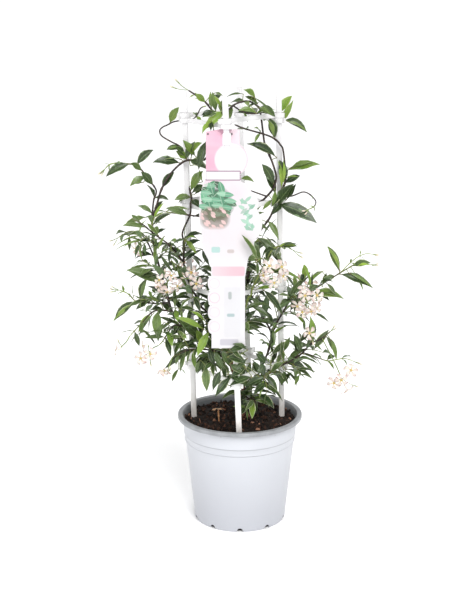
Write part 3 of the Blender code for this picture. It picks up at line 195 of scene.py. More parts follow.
def new_tree(name, *inputs):
    """A geometry tree. Its own inputs come between its geometry and its material."""
    inputs = [("Geometry", "Geometry", None), *inputs, ("Material", "Material", None)]
    return new_group(name, "GeometryNodeTree", inputs, [("Geometry", "Geometry")])


def close_tree(tree, given, result, geometry):
    """The tree, which hands out its geometry in its material."""
    inputs = {"Geometry": geometry, "Material": given["Material"]}
    tree.links.new(put(tree, "GeometryNodeSetMaterial", inputs).outputs[0], result.inputs[0])
    return tree


def read(tree, name, kind="FLOAT"):
    """A named attribute inside a geometry tree."""
    node = put(tree, "GeometryNodeInputNamedAttribute", {"Name": name}, data_type=kind)
    return node.outputs["Attribute"]


def shape_from(tree, source):
    """The geometry of a pattern object."""
    return put(tree, "GeometryNodeObjectInfo", {"Object": source}).outputs["Geometry"]


def points_of(tree, mesh):
    return put(tree, "GeometryNodeMeshToPoints", {"Mesh": mesh}).outputs[0]


def lines_of(tree, mesh):
    return put(tree, "GeometryNodeMeshToCurve", {"Mesh": mesh}).outputs[0]


def copies_at(tree, points, shape, **inputs):
    """Copies of a shape at points. Their Rotation and Scale may be given."""
    return put(tree, "GeometryNodeInstanceOnPoints", {"Points": points, "Instance": shape, **inputs}).outputs[0]


def made_real(tree, copies):
    return put(tree, "GeometryNodeRealizeInstances", {"Geometry": copies}).outputs[0]


def together(tree, *parts):
    """Several geometries as one."""
    whole = put(tree, "GeometryNodeJoinGeometry")
    for part in parts:
        tree.links.new(part, whole.inputs[0])
    return whole.outputs[0]


print("group and tree helpers ready")

# %% [markdown]
# ## Finishing a piece
# Each finished piece is a plain mesh whose object sits at the origin, rides on the plant's one body and
# hides the solids it stands for. A node tree that repeats a shape is run once on a small source mesh, and its
# result is kept as plain triangles, because other programs don't know instances.


# %% Mesh helpers
def new_mesh(name, corners, faces=(), edges=()):
    """A mesh from millimetres."""
    mesh = bpy.data.meshes.new(name)
    mesh.from_pydata([Vector(c) * METRES for c in corners], list(edges), list(faces))
    mesh.validate()
    return mesh


def store(mesh, name, values):
    """A number or a vector for each point of a mesh, under a name that node trees can read."""
    kind = "FLOAT_VECTOR" if isinstance(values[0], Vector) else "FLOAT"
    attribute = mesh.attributes.new(name, kind, "POINT")
    for entry, value in zip(attribute.data, values):
        if kind == "FLOAT":
            entry.value = value
        else:
            entry.vector = value


def face_out(mesh):
    """Doubles merged and all faces turned outwards."""
    form = bmesh.new()
    form.from_mesh(mesh)
    bmesh.ops.remove_doubles(form, verts=form.verts, dist=1e-7)
    bmesh.ops.recalc_face_normals(form, faces=form.faces)
    form.to_mesh(mesh)
    form.free()


def socket_of(tree, label):
    """The identifier of a tree's input."""
    found = [s for s in tree.interface.items_tree if s.item_type == "SOCKET" and s.in_out == "INPUT"]
    return next(s.identifier for s in found if s.name == label)


def run_tree(name, source, tree, settings):
    """The plain mesh that a geometry tree makes from a source mesh."""
    holder = bpy.data.objects.new(name + "_source", source)
    bpy.context.scene.collection.objects.link(holder)
    modifier = holder.modifiers.new("tree", "NODES")
    modifier.node_group = tree
    for label, value in settings.items():
        modifier[socket_of(tree, label)] = value
    graph = bpy.context.evaluated_depsgraph_get()
    mesh = bpy.data.meshes.new_from_object(holder.evaluated_get(graph))
    bpy.data.objects.remove(holder)
    return mesh


def finish_piece(name, mesh, finish, nodes=(), sharp=None):
    """The mesh as a piece of the plant."""
    mesh.name = name
    if finish is not None:
        mesh.materials.clear()
        mesh.materials.append(finish)
    if sharp is not None:
        mesh.shade_smooth()
        mesh.set_sharp_from_angle(angle=math.radians(sharp))
    piece = bpy.data.objects.new(name, mesh)
    bpy.context.scene.collection.objects.link(piece)
    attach(piece, "root")
    if nodes:
        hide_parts(*nodes)
    mesh.calc_loop_triangles()
    print(f"{name}: {len(mesh.loop_triangles)} triangles for {len(nodes)} solids")
    return piece


def new_material(name, **constants):
    """A material with its Principled shader. A name such as Coat_Weight sets the socket Coat Weight."""
    made = bpy.data.materials.new(name)
    made.use_nodes = True
    surface = made.node_tree.nodes["Principled BSDF"]
    for socket, value in constants.items():
        surface.inputs[socket.replace("_", " ")].default_value = value
    return made, made.node_tree, surface


def feed(tree, surface, **sockets):
    """Links outputs into the shader's sockets."""
    for socket, output in sockets.items():
        tree.links.new(output, surface.inputs[socket.replace("_", " ")])


def bump(tree, height, depth, strength=1.0):
    """A Bump node whose height is one at the given depth in metres."""
    node = put(tree, "ShaderNodeBump", {"Height": height, "Distance": depth, "Strength": strength})
    return node.outputs["Normal"]


def attribute(tree, name, kind="Fac"):
    """A value stored on the mesh, in a material."""
    return put(tree, "ShaderNodeAttribute", attribute_name=name).outputs[kind]


print("mesh helpers ready")

# %% [markdown]
# ## Effects that several finishes share
# No real surface has one flat colour. Three effects do most of the work on this plant, each built once as a
# group: *mottle* wanders between two values in soft patches, *grain* gives fine unevenness that
# catches the light, and *moulded* is the faint waviness and scuffing of injection-moulded plastic.


# %% Shared effects
def object_place(tree):
    return put(tree, "ShaderNodeTexCoord").outputs["Object"]


def noise_at(tree, place, scale, detail=3.0, roughness=0.5):
    inputs = {"Vector": place, "Scale": scale, "Detail": detail, "Roughness": roughness}
    return put(tree, "ShaderNodeTexNoise", inputs).outputs["Fac"]


def make_mottle():
    group, given, result = new_group(
        "mottle", "ShaderNodeTree", [
            ("Scale", "Float", 60.0), ("Contrast", "Float", 1.0), ("First", "Color", None), ("Second", "Color", None)],
        [("Color", "Color"), ("Share", "Float")])
    patches = noise_at(group, object_place(group), given["Scale"], 5.0, 0.6)
    wide = times(group, minus(group, patches, 0.5), given["Contrast"])
    share = maths(group, "MULTIPLY_ADD", wide, 3.0, 0.5, clamp=True)
    group.links.new(blend(group, share, given["First"], given["Second"]), result.inputs["Color"])
    group.links.new(share, result.inputs["Share"])
    return group


def make_grain():
    group, given, result = new_group(
        "grain", "ShaderNodeTree", [("Scale", "Float", 800.0), ("Stretch", "Float", 1.0)], [("Height", "Float")])
    stretch = vector_of(group, X=1.0, Y=1.0, Z=given["Stretch"])
    place = vectors(group, "MULTIPLY", object_place(group), stretch)
    group.links.new(noise_at(group, place, given["Scale"], 4.0, 0.6), result.inputs["Height"])
    return group


def make_moulded():
    group, given, result = new_group(
        "moulded", "ShaderNodeTree", [("Scuffing", "Float", 0.5), ("Gloss", "Float", 0.4)],
        [("Height", "Float"), ("Roughness", "Float"), ("Scuff", "Float")])
    place = object_place(group)
    fine = noise_at(group, place, 1400.0, 2.0)
    waves = noise_at(group, place, 45.0, 2.0)
    scratches = noise_at(group, vectors(group, "MULTIPLY", place, (1.0, 1.0, 9.0)), 120.0, 6.0, 0.7)
    scuff = times(group, ramp(group, scratches, 0.56, 0.72), given["Scuffing"])
    group.links.new(maths(group, "MULTIPLY_ADD", waves, 3.0, fine), result.inputs["Height"])
    rough = maths(group, "MULTIPLY_ADD", scuff, 0.3, given["Gloss"])
    group.links.new(maths(group, "MULTIPLY_ADD", waves, 0.08, rough), result.inputs["Roughness"])
    group.links.new(scuff, result.inputs["Scuff"])
    return group


mottle, grain, moulded = make_mottle(), make_grain(), make_moulded()


def use_group(tree, group, **inputs):
    """A group's outputs in a material, with its inputs given by name."""
    return put(tree, "ShaderNodeGroup", inputs, node_tree=group).outputs


def mottled(tree, scale, contrast, first, second):
    """A colour that wanders between two in soft patches."""
    return use_group(tree, mottle, Scale=scale, Contrast=contrast, First=first, Second=second)["Color"]


print("shared effects:", mottle.name, grain.name, moulded.name)

# %% [markdown]
# ## Floor and light
# The plant stands on a plain pale floor under soft studio light. One very broad source from the upper right
# lights plant and floor evenly, and softboxes give leaves and plastic their long soft highlights. The
# white surround fills the gaps, as in a light tent, and the floor glows a little like a light table, so that
# shadows stay faint.

# %% Floor and light
FLOOR_SIZE = 70.0
FLOOR_WHITE = (0.94, 0.94, 0.95, 1), (0.97, 0.97, 0.97, 1)
FLOOR_GLOW = 0.08
SURROUND = 0.61
# The broad source: where it shines from, how wide it is in degrees, its strength.
BROAD = ((0.5, -1.3, 1.3), 30.0, 2.2)
LAMPS_AIM = (0, 0, 0.3)
# Each softbox: where it is, how wide it is in metres, its power in watts.
LAMPS = {
    "left_box": ((-1.9, -1.5, 1.2), 0.9, 16.0),
    "top_box": ((0.3, 0.9, 2.3), 1.0, 14.0),
    "front_box": ((0.25, -2.3, 0.45), 1.0, 5.0),
}


def add_lamp(name, kind, place, aim, **settings):
    lamp = bpy.data.lights.new(name, kind)
    for setting, value in settings.items():
        setattr(lamp, setting, value)
    holder = bpy.data.objects.new(name, lamp)
    bpy.context.scene.collection.objects.link(holder)
    holder.location = place
    holder.rotation_euler = (Vector(aim) - Vector(place)).to_track_quat("-Z", "Y").to_euler()


def make_floor():
    half = FLOOR_SIZE / 2
    mesh = bpy.data.meshes.new("floor")
    corners = [(-half, -half, 0), (half, -half, 0), (half, half, 0), (-half, half, 0)]
    mesh.from_pydata(corners, [], [(0, 1, 2, 3)])
    floor = bpy.data.objects.new("floor", mesh)
    bpy.context.scene.collection.objects.link(floor)
    paper, tree, surface = new_material("floor_paper", Roughness=0.9, Emission_Strength=FLOOR_GLOW)
    sheet = mottled(tree, 2.0, 0.2, *FLOOR_WHITE)
    feed(tree, surface, Base_Color=sheet, Emission_Color=sheet)
    mesh.materials.append(paper)
    floor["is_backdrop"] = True


place, width, strength = BROAD
add_lamp("broad", "SUN", place, (0, 0, 0), angle=math.radians(width), energy=strength)
for name, (place, width, power) in LAMPS.items():
    add_lamp(name, "AREA", place, LAMPS_AIM, shape="DISK", size=width, energy=power)
world = bpy.data.worlds.new("surround")
world.use_nodes = True
world.node_tree.nodes["Background"].inputs["Color"].default_value = (1, 1, 1, 1)
seen = put(world.node_tree, "ShaderNodeLightPath").outputs["Is Camera Ray"]
strength = ramp(world.node_tree, seen, 0.0, 1.0, SURROUND, 1.0)
world.node_tree.links.new(strength, world.node_tree.nodes["Background"].inputs["Strength"])
bpy.context.scene.world = world
make_floor()
print("lamps: broad,", ", ".join(LAMPS))

# %% [markdown]
# ## The pot
# The pot is thin injection-moulded plastic, white outside and grey inside, with a rolled grey lip, two fine
# rings under it and drain slots round its foot. It is a turned shape: one profile spun round the axis. The grey
# is the colour of the inner layer, so a number stored on the profile's points says where it shows.

# %% Pot sizes
GAP = 0.3
POT_HEIGHT = 150.0
RIM_RADIUS = 85.0
RIM_WIDTH = 7.0
LIP_DEPTH = 5.5
BASE_RADIUS = 62.5
WALL = 1.6
FLOOR = 2.0
COLLAR_FOOT = 114.5
COLLAR_STEP = 1.2
COLLAR_LINE = 124.3
DRAINS = 10
DRAIN_RADIUS = 4.5
DRAIN_REACH = 9.0
LIP_ROUND = 1.6
FOOT_ROUND = 2.0
CORNER_ROUND = 3
BEAD = 0.45
BEAD_EDGES = (1.2, 0.5, -0.5, -1.2)
FINE_SIDES = 120


def wall_radius(height):
    """The pot's outer radius below its collar."""
    return BASE_RADIUS + (RIM_RADIUS - RIM_WIDTH + WALL - COLLAR_STEP - BASE_RADIUS) * height / POT_HEIGHT


def arc(centre, radius, first, last, count):
    """Points on part of a circle, angles in degrees, anticlockwise when last is larger."""
    turns = [math.radians(first + (last - first) * k / (count - 1)) for k in range(count)]
    return [(centre[0] + radius * math.cos(t), centre[1] + radius * math.sin(t)) for t in turns]


def fine_profile():
    """Radius, height and greyness, from the middle of the floor round the lip to the underside.

    Greyness is two inside, where the finish paints shade over the grey, one on the lip and zero outside.
    """
    lip_foot = POT_HEIGHT - LIP_DEPTH
    inner_rim = RIM_RADIUS - RIM_WIDTH
    corner = BASE_RADIUS - WALL - CORNER_ROUND
    inside = [(0, FLOOR), (corner, FLOOR)]
    inside += arc((corner, FLOOR + CORNER_ROUND), CORNER_ROUND, -90, 0, 4)[1:]
    inside += [(wall_radius(z) - WALL, z) for z in (40, 80, 110, 130, lip_foot)]
    top = POT_HEIGHT - LIP_ROUND
    inside += arc((inner_rim + LIP_ROUND, top), LIP_ROUND, 180, 90, 6)
    inside += arc((RIM_RADIUS - LIP_ROUND, top), LIP_ROUND, 90, 0, 6)
    inside += arc((RIM_RADIUS - 1, lip_foot + 1), 1, 0, -90, 4)
    inside.append((wall_radius(lip_foot) + COLLAR_STEP + 0.15, lip_foot))
    outside = []
    for z in (lip_foot - 0.1, *(COLLAR_LINE + edge for edge in BEAD_EDGES), COLLAR_FOOT + 0.8):
        bead = BEAD if abs(z - COLLAR_LINE) < 1 else 0.0
        outside.append((wall_radius(z) + COLLAR_STEP - BEAD + bead, z))
    outside += [(wall_radius(COLLAR_FOOT) + COLLAR_STEP, COLLAR_FOOT + 0.4)]
    outside += [(wall_radius(COLLAR_FOOT) + COLLAR_STEP, COLLAR_FOOT - 0.4)]
    outside += [(wall_radius(COLLAR_FOOT - 1.4), COLLAR_FOOT - 1.4)]
    outside += [(wall_radius(z), z) for z in (90, 60, 30, 12)]
    outside += arc((wall_radius(3) - FOOT_ROUND, FOOT_ROUND), FOOT_ROUND, 0, -90, 5)
    outside.append((0, 0))
    inner = [(r, z, 2.0 if z <= lip_foot and r < wall_radius(z) else 1.0) for r, z in inside]
    return inner + [(r, z, 0.0) for r, z in outside]


# %% Pot shape
def spun(profile, sides):
    """A line of radius, height and a value, spun round the Z axis: corners, faces and each corner's value."""
    corners, values, rings = [], [], []
    for radius, height, value in profile:
        turns = [2 * math.pi * k / sides for k in range(sides)] if radius > 0 else [0.0]
        rings.append(list(range(len(corners), len(corners) + len(turns))))
        corners += [Vector((radius * math.cos(t), radius * math.sin(t), height)) for t in turns]
        values += [value] * len(turns)
    faces = []
    for low, high in zip(rings, rings[1:]):
        for k in range(sides):
            after = (k + 1) % sides
            quad = [low[k % len(low)], low[after % len(low)], high[after % len(high)], high[k % len(high)]]
            faces.append(tuple(dict.fromkeys(quad)))
    return corners, faces, values


def pot_shape():
    corners, faces, greys = spun(fine_profile(), FINE_SIDES)
    mesh = new_mesh("pot_blank", corners, faces)
    store(mesh, "grey", greys)
    face_out(mesh)
    return mesh


def cut_drains(mesh):
    """Slots through the foot, where the wall meets the floor."""
    pot = bpy.data.objects.new("pot_blank", mesh)
    bpy.context.scene.collection.objects.link(pot)
    form = bmesh.new()
    for k in range(DRAINS):
        turn = 2 * math.pi * (k + 0.5) / DRAINS
        way = Vector((math.cos(turn), math.sin(turn), 0))
        place = (way * (BASE_RADIUS - FOOT_ROUND / 2) + UP * FOOT_ROUND / 2) * METRES
        turned_to = (way - UP).to_track_quat("Z", "Y").to_matrix().to_4x4()
        bmesh.ops.create_cone(
            form, cap_ends=True, segments=14, radius1=DRAIN_RADIUS * METRES, radius2=DRAIN_RADIUS * METRES,
            depth=2 * DRAIN_REACH * METRES, matrix=Matrix.Translation(place) @ turned_to)
    cutters = bpy.data.meshes.new("drains")
    form.to_mesh(cutters)
    form.free()
    cutter = bpy.data.objects.new("drains", cutters)
    bpy.context.scene.collection.objects.link(cutter)
    cut = pot.modifiers.new("drains", "BOOLEAN")
    cut.operation, cut.object, cut.solver = "DIFFERENCE", cutter, "EXACT"
    result = bpy.data.meshes.new_from_object(pot.evaluated_get(bpy.context.evaluated_depsgraph_get()))
    bpy.data.objects.remove(pot)
    bpy.data.objects.remove(cutter)
    return result


# %% [markdown]
# The plastic is satin: a soft highlight, slightly blurred where the pot was handled. The white layer is a
# cool white. Painted shade darkens it towards the foot and in thin lines under the rings, and painted
# shade makes the inside a darker grey than the lip.


# %% Pot plastic
WHITE_LAYER = (0.51, 0.525, 0.56, 1), (0.55, 0.565, 0.6, 1)
GREY_LAYER = (0.22, 0.228, 0.24, 1), (0.3, 0.31, 0.325, 1)
# Painted shade: below this height in metres, the white darkens to this colour towards the foot.
FOOT_SHADE_WHITE = (0.4, 0.41, 0.445, 1)
FOOT_SHADE_BELOW = 0.13
# Painted shade: thin grey lines under the bead and under the collar step, at these heights.
GROOVE_SHADE_GREY = (0.27, 0.28, 0.3, 1)
SHADE_LINES = (COLLAR_LINE - 1.3, COLLAR_FOOT - 0.9)
# Painted shade inside the pot: a darker grey than the lip's.
INSIDE_SHADE_GREY = (0.17, 0.18, 0.19, 1)
SCUFF_WHITE = (0.62, 0.6, 0.57, 1)


def pot_finish():
    finish, tree, surface = new_material("pot_plastic", Coat_Roughness=0.3, Coat_Weight=0.08)
    touch = use_group(tree, moulded, Scuffing=0.35, Gloss=0.36)
    white = mottled(tree, 9.0, 0.7, *WHITE_LAYER)
    grey = mottled(tree, 60.0, 1.0, *GREY_LAYER)
    layer = ramp(tree, attribute(tree, "grey"), 0.4, 0.6)
    height = parts_of(tree, object_place(tree))["Z"]
    # Painted shade: the white darkens towards the foot.
    shell = blend(tree, ramp(tree, height, FOOT_SHADE_BELOW, 0.0, 0.0, 0.85), white, FOOT_SHADE_WHITE)
    # Painted shade under the bead and under the collar step.
    for line in SHADE_LINES:
        off = maths(tree, "ABSOLUTE", minus(tree, height, line * METRES))
        shell = blend(tree, ramp(tree, off, 0.0011, 0.0003, 0.0, 0.6), shell, GROOVE_SHADE_GREY)
    colour = blend(tree, layer, shell, grey)
    # Painted shade: the inside is darker than the lip's grey.
    colour = blend(tree, ramp(tree, attribute(tree, "grey"), 1.2, 1.9), colour, INSIDE_SHADE_GREY)
    colour = blend(tree, times(tree, touch["Scuff"], 0.3), colour, SCUFF_WHITE)
    feed(tree, surface, Base_Color=colour, Roughness=touch["Roughness"])
    feed(tree, surface, Normal=bump(tree, touch["Height"], 0.00005))
    return finish


finish_piece("pot_wall", cut_drains(pot_shape()), pot_finish(), ["pot"], sharp=35)

# %% [markdown]
# ## The soil
# Nursery substrate is peat with coarse bark, dark and damp, with paler reddish crumbs on top. Relief alone
# looks like mud, so the bed is a lumpy surface and a geometry tree scatters some hundreds of bark chips on it,
# each turned and stretched by a seeded draw.

# %% Soil bed
SOIL_TOP = 141.0
SOIL_LUMPS = 2.2
BED_RINGS = 42
BED_SIDES = 110


def soil_height(x, y):
    lumps = noise.fractal(Vector((x, y, 3.0)) / 17, 0.8, 2.0, 3)
    return SOIL_TOP + SOIL_LUMPS * lumps


def bed_height(x, y):
    """The measured lumps with finer ones on them."""
    crumbs = noise.fractal(Vector((x, y, 9.0)) / 5.0, 0.7, 2.1, 4)
    return soil_height(x, y) - 0.6 + 1.3 * crumbs


def bed_shape(closed):
    """The top of the bed, and with closed its side and underside too."""
    edge = wall_radius(SOIL_TOP) - WALL - 2 * GAP
    corners = [Vector((0, 0, bed_height(0, 0)))]
    for ring in range(1, BED_RINGS + 1):
        radius = edge * ring / BED_RINGS
        for k in range(BED_SIDES):
            turn = 2 * math.pi * k / BED_SIDES
            x, y = radius * math.cos(turn), radius * math.sin(turn)
            corners.append(Vector((x, y, bed_height(x, y))))
    faces = [(0, 1 + k, 1 + (k + 1) % BED_SIDES) for k in range(BED_SIDES)]
    rings = BED_RINGS
    if closed:
        foot = wall_radius(FLOOR) - WALL - 2 * GAP
        turns = [2 * math.pi * k / BED_SIDES for k in range(BED_SIDES)]
        corners += [Vector((foot * math.cos(t), foot * math.sin(t), FLOOR + GAP)) for t in turns]
        rings += 1
    for ring in range(rings - 1):
        low, high = 1 + ring * BED_SIDES, 1 + (ring + 1) * BED_SIDES
        for k in range(BED_SIDES):
            after = (k + 1) % BED_SIDES
            faces.append((low + k, high + k, high + after, low + after))
    if closed:
        faces.append(tuple(reversed(range(len(corners) - BED_SIDES, len(corners)))))
    mesh = new_mesh("soil", corners, faces)
    mesh.shade_smooth()
    return mesh


# %% [markdown]
# Damp peat is nearly black, and bark is reddish brown. The chips carry a number, their *tone*, which the
# finish turns into anything from wet dark bark to a dry, rusty flake.


# %% Soil finish and chips
WET_PEAT = (0.002, 0.001, 0.001, 1), (0.017, 0.008, 0.004, 1)
BARK_FLAKES = (0.014, 0.007, 0.004, 1), (0.12, 0.05, 0.028, 1)
RUSTY_FLAKE = (0.32, 0.16, 0.1, 1)
CHIP_DENSITY = 38000.0
CHIP_SMALLEST = (0.0015, 0.0012, 0.0008)
CHIP_LARGEST = (0.0135, 0.0072, 0.0038)
CHIP_SEED = 5
BED_TONE = 0.25
ANY_TURN = (6.28, 6.28, 6.28)


def soil_finish():
    finish, tree, surface = new_material("damp_soil", Roughness=0.85, Specular_IOR_Level=0.3)
    peat = mottled(tree, 160.0, 1.2, *WET_PEAT)
    flakes = mottled(tree, 420.0, 1.4, *BARK_FLAKES)
    tone = attribute(tree, "tone")
    colour = blend(tree, ramp(tree, tone, 0.3, 1.0), peat, flakes)
    colour = blend(tree, ramp(tree, tone, 0.93, 0.99), colour, RUSTY_FLAKE)
    height = use_group(tree, grain, Scale=900.0, Stretch=1.0)["Height"]
    feed(tree, surface, Base_Color=colour, Normal=bump(tree, height, 0.0006))
    return finish


def chip_shape():
    """One bark chip: a small angular flake."""
    form = bmesh.new()
    bmesh.ops.create_icosphere(form, subdivisions=1, radius=0.5)
    draw = random.Random(11)
    for corner in form.verts:
        corner.co *= draw.uniform(0.7, 1.2)
    mesh = bpy.data.meshes.new("chip")
    form.to_mesh(mesh)
    form.free()
    return mesh


def chip_tree():
    """Scatters copies of one shape over a surface and gives each its own size, turn and tone."""
    tree, given, result = new_tree(
        "scatter_chips", ("Shape", "Object", None), ("Density", "Float", 1000.0), ("Smallest", "Vector", None),
        ("Largest", "Vector", None), ("Seed", "Int", 1))

    def drawn_value(kind, later, inputs):
        """A random value for each chip, from the seed and a number that sets it apart from the others."""
        seed = plus(tree, given["Seed"], later)
        return put(tree, "FunctionNodeRandomValue", {**inputs, "Seed": seed}, data_type=kind).outputs

    points = put(tree, "GeometryNodeDistributePointsOnFaces", {
        "Mesh": given["Geometry"], "Density": given["Density"], "Seed": given["Seed"]}).outputs["Points"]
    turn = drawn_value("FLOAT_VECTOR", 0, {1: ANY_TURN})[0]
    size = drawn_value("FLOAT_VECTOR", 1, {0: given["Smallest"], 1: given["Largest"]})[0]
    tone = drawn_value("FLOAT", 2, {2: 0.0, 3: 1.0})[1]
    copies = copies_at(tree, points, shape_from(tree, given["Shape"]), Rotation=turn, Scale=size)
    toned = put(tree, "GeometryNodeStoreNamedAttribute", {
        "Geometry": copies, "Name": "tone", "Value": tone}, data_type="FLOAT", domain="INSTANCE").outputs[0]
    return close_tree(tree, given, result, made_real(tree, toned))


def shape_object(name, mesh):
    """A pattern shape for a tree to copy, removed once it was used."""
    shape = bpy.data.objects.new(name, mesh)
    bpy.context.scene.collection.objects.link(shape)
    return shape


damp_soil = soil_finish()
bed = bed_shape(closed=True)
store(bed, "tone", [BED_TONE] * len(bed.vertices))
finish_piece("soil_bed", bed, damp_soil, ["soil"])
chip = shape_object("chip", chip_shape())
chips = run_tree("bark_chips", bed_shape(closed=False), chip_tree(), {
    "Shape": chip, "Density": CHIP_DENSITY, "Smallest": CHIP_SMALLEST, "Largest": CHIP_LARGEST,
    "Seed": CHIP_SEED, "Material": damp_soil})
bpy.data.objects.remove(chip)
finish_piece("bark_chips", chips, None)

# %% [markdown]
# ## The trellis
# Four square plastic sticks lean outwards a little, and at four heights two pairs of strips clip round them
# with eyelets. The sticks follow straight lines and the strips repeat sixteen times, so one geometry tree
# sweeps rounded profiles along lines and sets an eyelet with its tab on each end.

# %% Trellis places
STAKES = {
    "front": ((-1.0, -66.0), (-19.0, -52.0)),
    "left": ((-63.5, 14.0), (-72.5, 8.0)),
    "right": ((58.0, 15.0), (50.0, 8.0)),
    "back": ((14.0, 66.0), (-1.0, 68.0)),
}
STAKE_FOOT = 60.0
STAKE_TOP = 586.0
STAKE_WIDTH = 7.6
LEVELS = (215.0, 327.0, 440.0, 553.0)
BAR_HEIGHT = 6.2
BAR_THICKNESS = 2.2
EYELET_RADIUS = 7.8
EYELET_BORE = 5.5
TAB_LENGTH = 4.0
# Each bar joins two stakes, and the bars of the second pair lie on those of the first.
BARS = (("front", "left", -1), ("back", "right", -1), ("front", "right", 1), ("left", "back", 1))
STAKE_ROUND = 1.3


def stake_at(name, height):
    """The middle of a stake at a height. Below the soil's top it follows the slope of the pot's wall."""
    (foot_x, foot_y), (top_x, top_y) = STAKES[name]
    if height < SOIL_TOP:
        share = wall_radius(height) / wall_radius(SOIL_TOP)
        return Vector((foot_x * share, foot_y * share, height))
    part = (height - SOIL_TOP) / (STAKE_TOP - SOIL_TOP)
    return Vector((foot_x + (top_x - foot_x) * part, foot_y + (top_y - foot_y) * part, height))


def bars():
    """Name, first end, second end of each bar, through the middles of its eyelets."""
    for level, height in enumerate(LEVELS, 1):
        for first, second, side in BARS:
            z = height + side * (BAR_HEIGHT + GAP) / 2
            yield f"bar_{level}_{first}_{second}", stake_at(first, z), stake_at(second, z)


# %% Trellis shape
STRIP_ROUND = 0.0005
RING_ROUND = 0.0004


def rounded_profile(tree, width, height, radius, count):
    """A rectangle with rounded corners, as a profile."""
    box = put(tree, "GeometryNodeCurvePrimitiveQuadrilateral", {"Width": width, "Height": height}).outputs[0]
    inputs = {"Curve": box, "Count": count, "Radius": radius, "Limit Radius": True}
    return put(tree, "GeometryNodeFilletCurve", inputs, mode="POLY").outputs[0]


def closed_sweep(tree, curve, profile):
    inputs = {"Curve": curve, "Profile Curve": profile, "Fill Caps": True}
    return put(tree, "GeometryNodeCurveToMesh", inputs).outputs[0]


def stake_tree():
    """Sweeps a rounded square along each line, with its sides kept square to the plant."""
    tree, given, result = new_tree("stakes", ("Width", "Float", 0.01), ("Round", "Float", 0.001))
    line = lines_of(tree, given["Geometry"])
    tangent = put(tree, "GeometryNodeInputTangent").outputs[0]
    along = vectors(tree, "SCALE", tangent, vectors(tree, "DOT_PRODUCT", tangent, (1.0, 0.0, 0.0)))
    square = vectors(tree, "NORMALIZE", vectors(tree, "SUBTRACT", (1.0, 0.0, 0.0), along))
    kept = put(tree, "GeometryNodeSetCurveNormal", {"Curve": line, "Normal": square}, mode="FREE").outputs[0]
    swept = closed_sweep(tree, kept, rounded_profile(tree, given["Width"], given["Width"], given["Round"], 4))
    return close_tree(tree, given, result, swept)


def bar_tree():
    """A strip on edge along each line, and an eyelet with a tab at both its ends."""
    tree, given, result = new_tree(
        "bars", *((size, "Float", 0.01) for size in ("Height", "Thickness", "Outer", "Bore", "Tab")))
    middle = times(tree, plus(tree, given["Outer"], given["Bore"]), 0.5)
    wall = minus(tree, given["Outer"], given["Bore"])
    line = lines_of(tree, given["Geometry"])
    end = minus(tree, put(tree, "GeometryNodeSplineLength").outputs["Length"], middle)
    cut = put(tree, "GeometryNodeTrimCurve", {"Curve": line, 4: middle, 5: end}, mode="LENGTH")
    level = put(tree, "GeometryNodeSetCurveNormal", {"Curve": cut.outputs[0]}, mode="Z_UP").outputs[0]
    on_edge = rounded_profile(tree, given["Thickness"], given["Height"], STRIP_ROUND, 3)
    strip = closed_sweep(tree, level, on_edge)
    round_line = put(tree, "GeometryNodeCurvePrimitiveCircle", {"Resolution": 32, "Radius": middle}).outputs[0]
    ring = closed_sweep(tree, round_line, rounded_profile(tree, wall, given["Height"], RING_ROUND, 2))
    tab_end = vector_of(tree, X=plus(tree, given["Outer"], given["Tab"]))
    tab_line = put(tree, "GeometryNodeCurvePrimitiveLine", {"Start": vector_of(tree, X=middle), "End": tab_end})
    tab = closed_sweep(tree, tab_line.outputs[0], on_edge)
    way = {"Vector": read(tree, "way", "FLOAT_VECTOR")}
    turn = put(tree, "FunctionNodeAlignRotationToVector", way, axis="X", pivot_axis="Z").outputs[0]
    copies = copies_at(tree, points_of(tree, given["Geometry"]), together(tree, tab, ring), Rotation=turn)
    return close_tree(tree, given, result, together(tree, strip, made_real(tree, copies)))


# %% Trellis plastic and pieces
TRELLIS_WHITE = (0.78, 0.775, 0.77, 1), (0.84, 0.835, 0.825, 1)
# Painted light: the sticks turn to this grey above half a metre and stay lighter low down, where leaves shade them.
UPPER_PAINTED_GREY = (0.72, 0.71, 0.72, 1)
SOIL_DUST = (0.36, 0.3, 0.25, 1)


def trellis_finish():
    finish, tree, surface = new_material("white_plastic", Coat_Weight=0.15, Coat_Roughness=0.2)
    touch = use_group(tree, moulded, Scuffing=0.4, Gloss=0.3)
    white = mottled(tree, 25.0, 0.8, *TRELLIS_WHITE)
    height = parts_of(tree, object_place(tree))["Z"]
    # Painted light: lighter low down, where leaves shade the sticks, and greyer towards the top.
    painted_light_white = blend(tree, ramp(tree, height, 0.25, 0.5), white, UPPER_PAINTED_GREY)
    specks = use_group(tree, grain, Scale=300.0, Stretch=0.5)["Height"]
    dust = times(tree, ramp(tree, height, 0.19, 0.14), specks)
    feed(tree, surface, Base_Color=blend(tree, dust, painted_light_white, SOIL_DUST), Roughness=touch["Roughness"])
    feed(tree, surface, Normal=bump(tree, touch["Height"], 0.00004))
    return finish


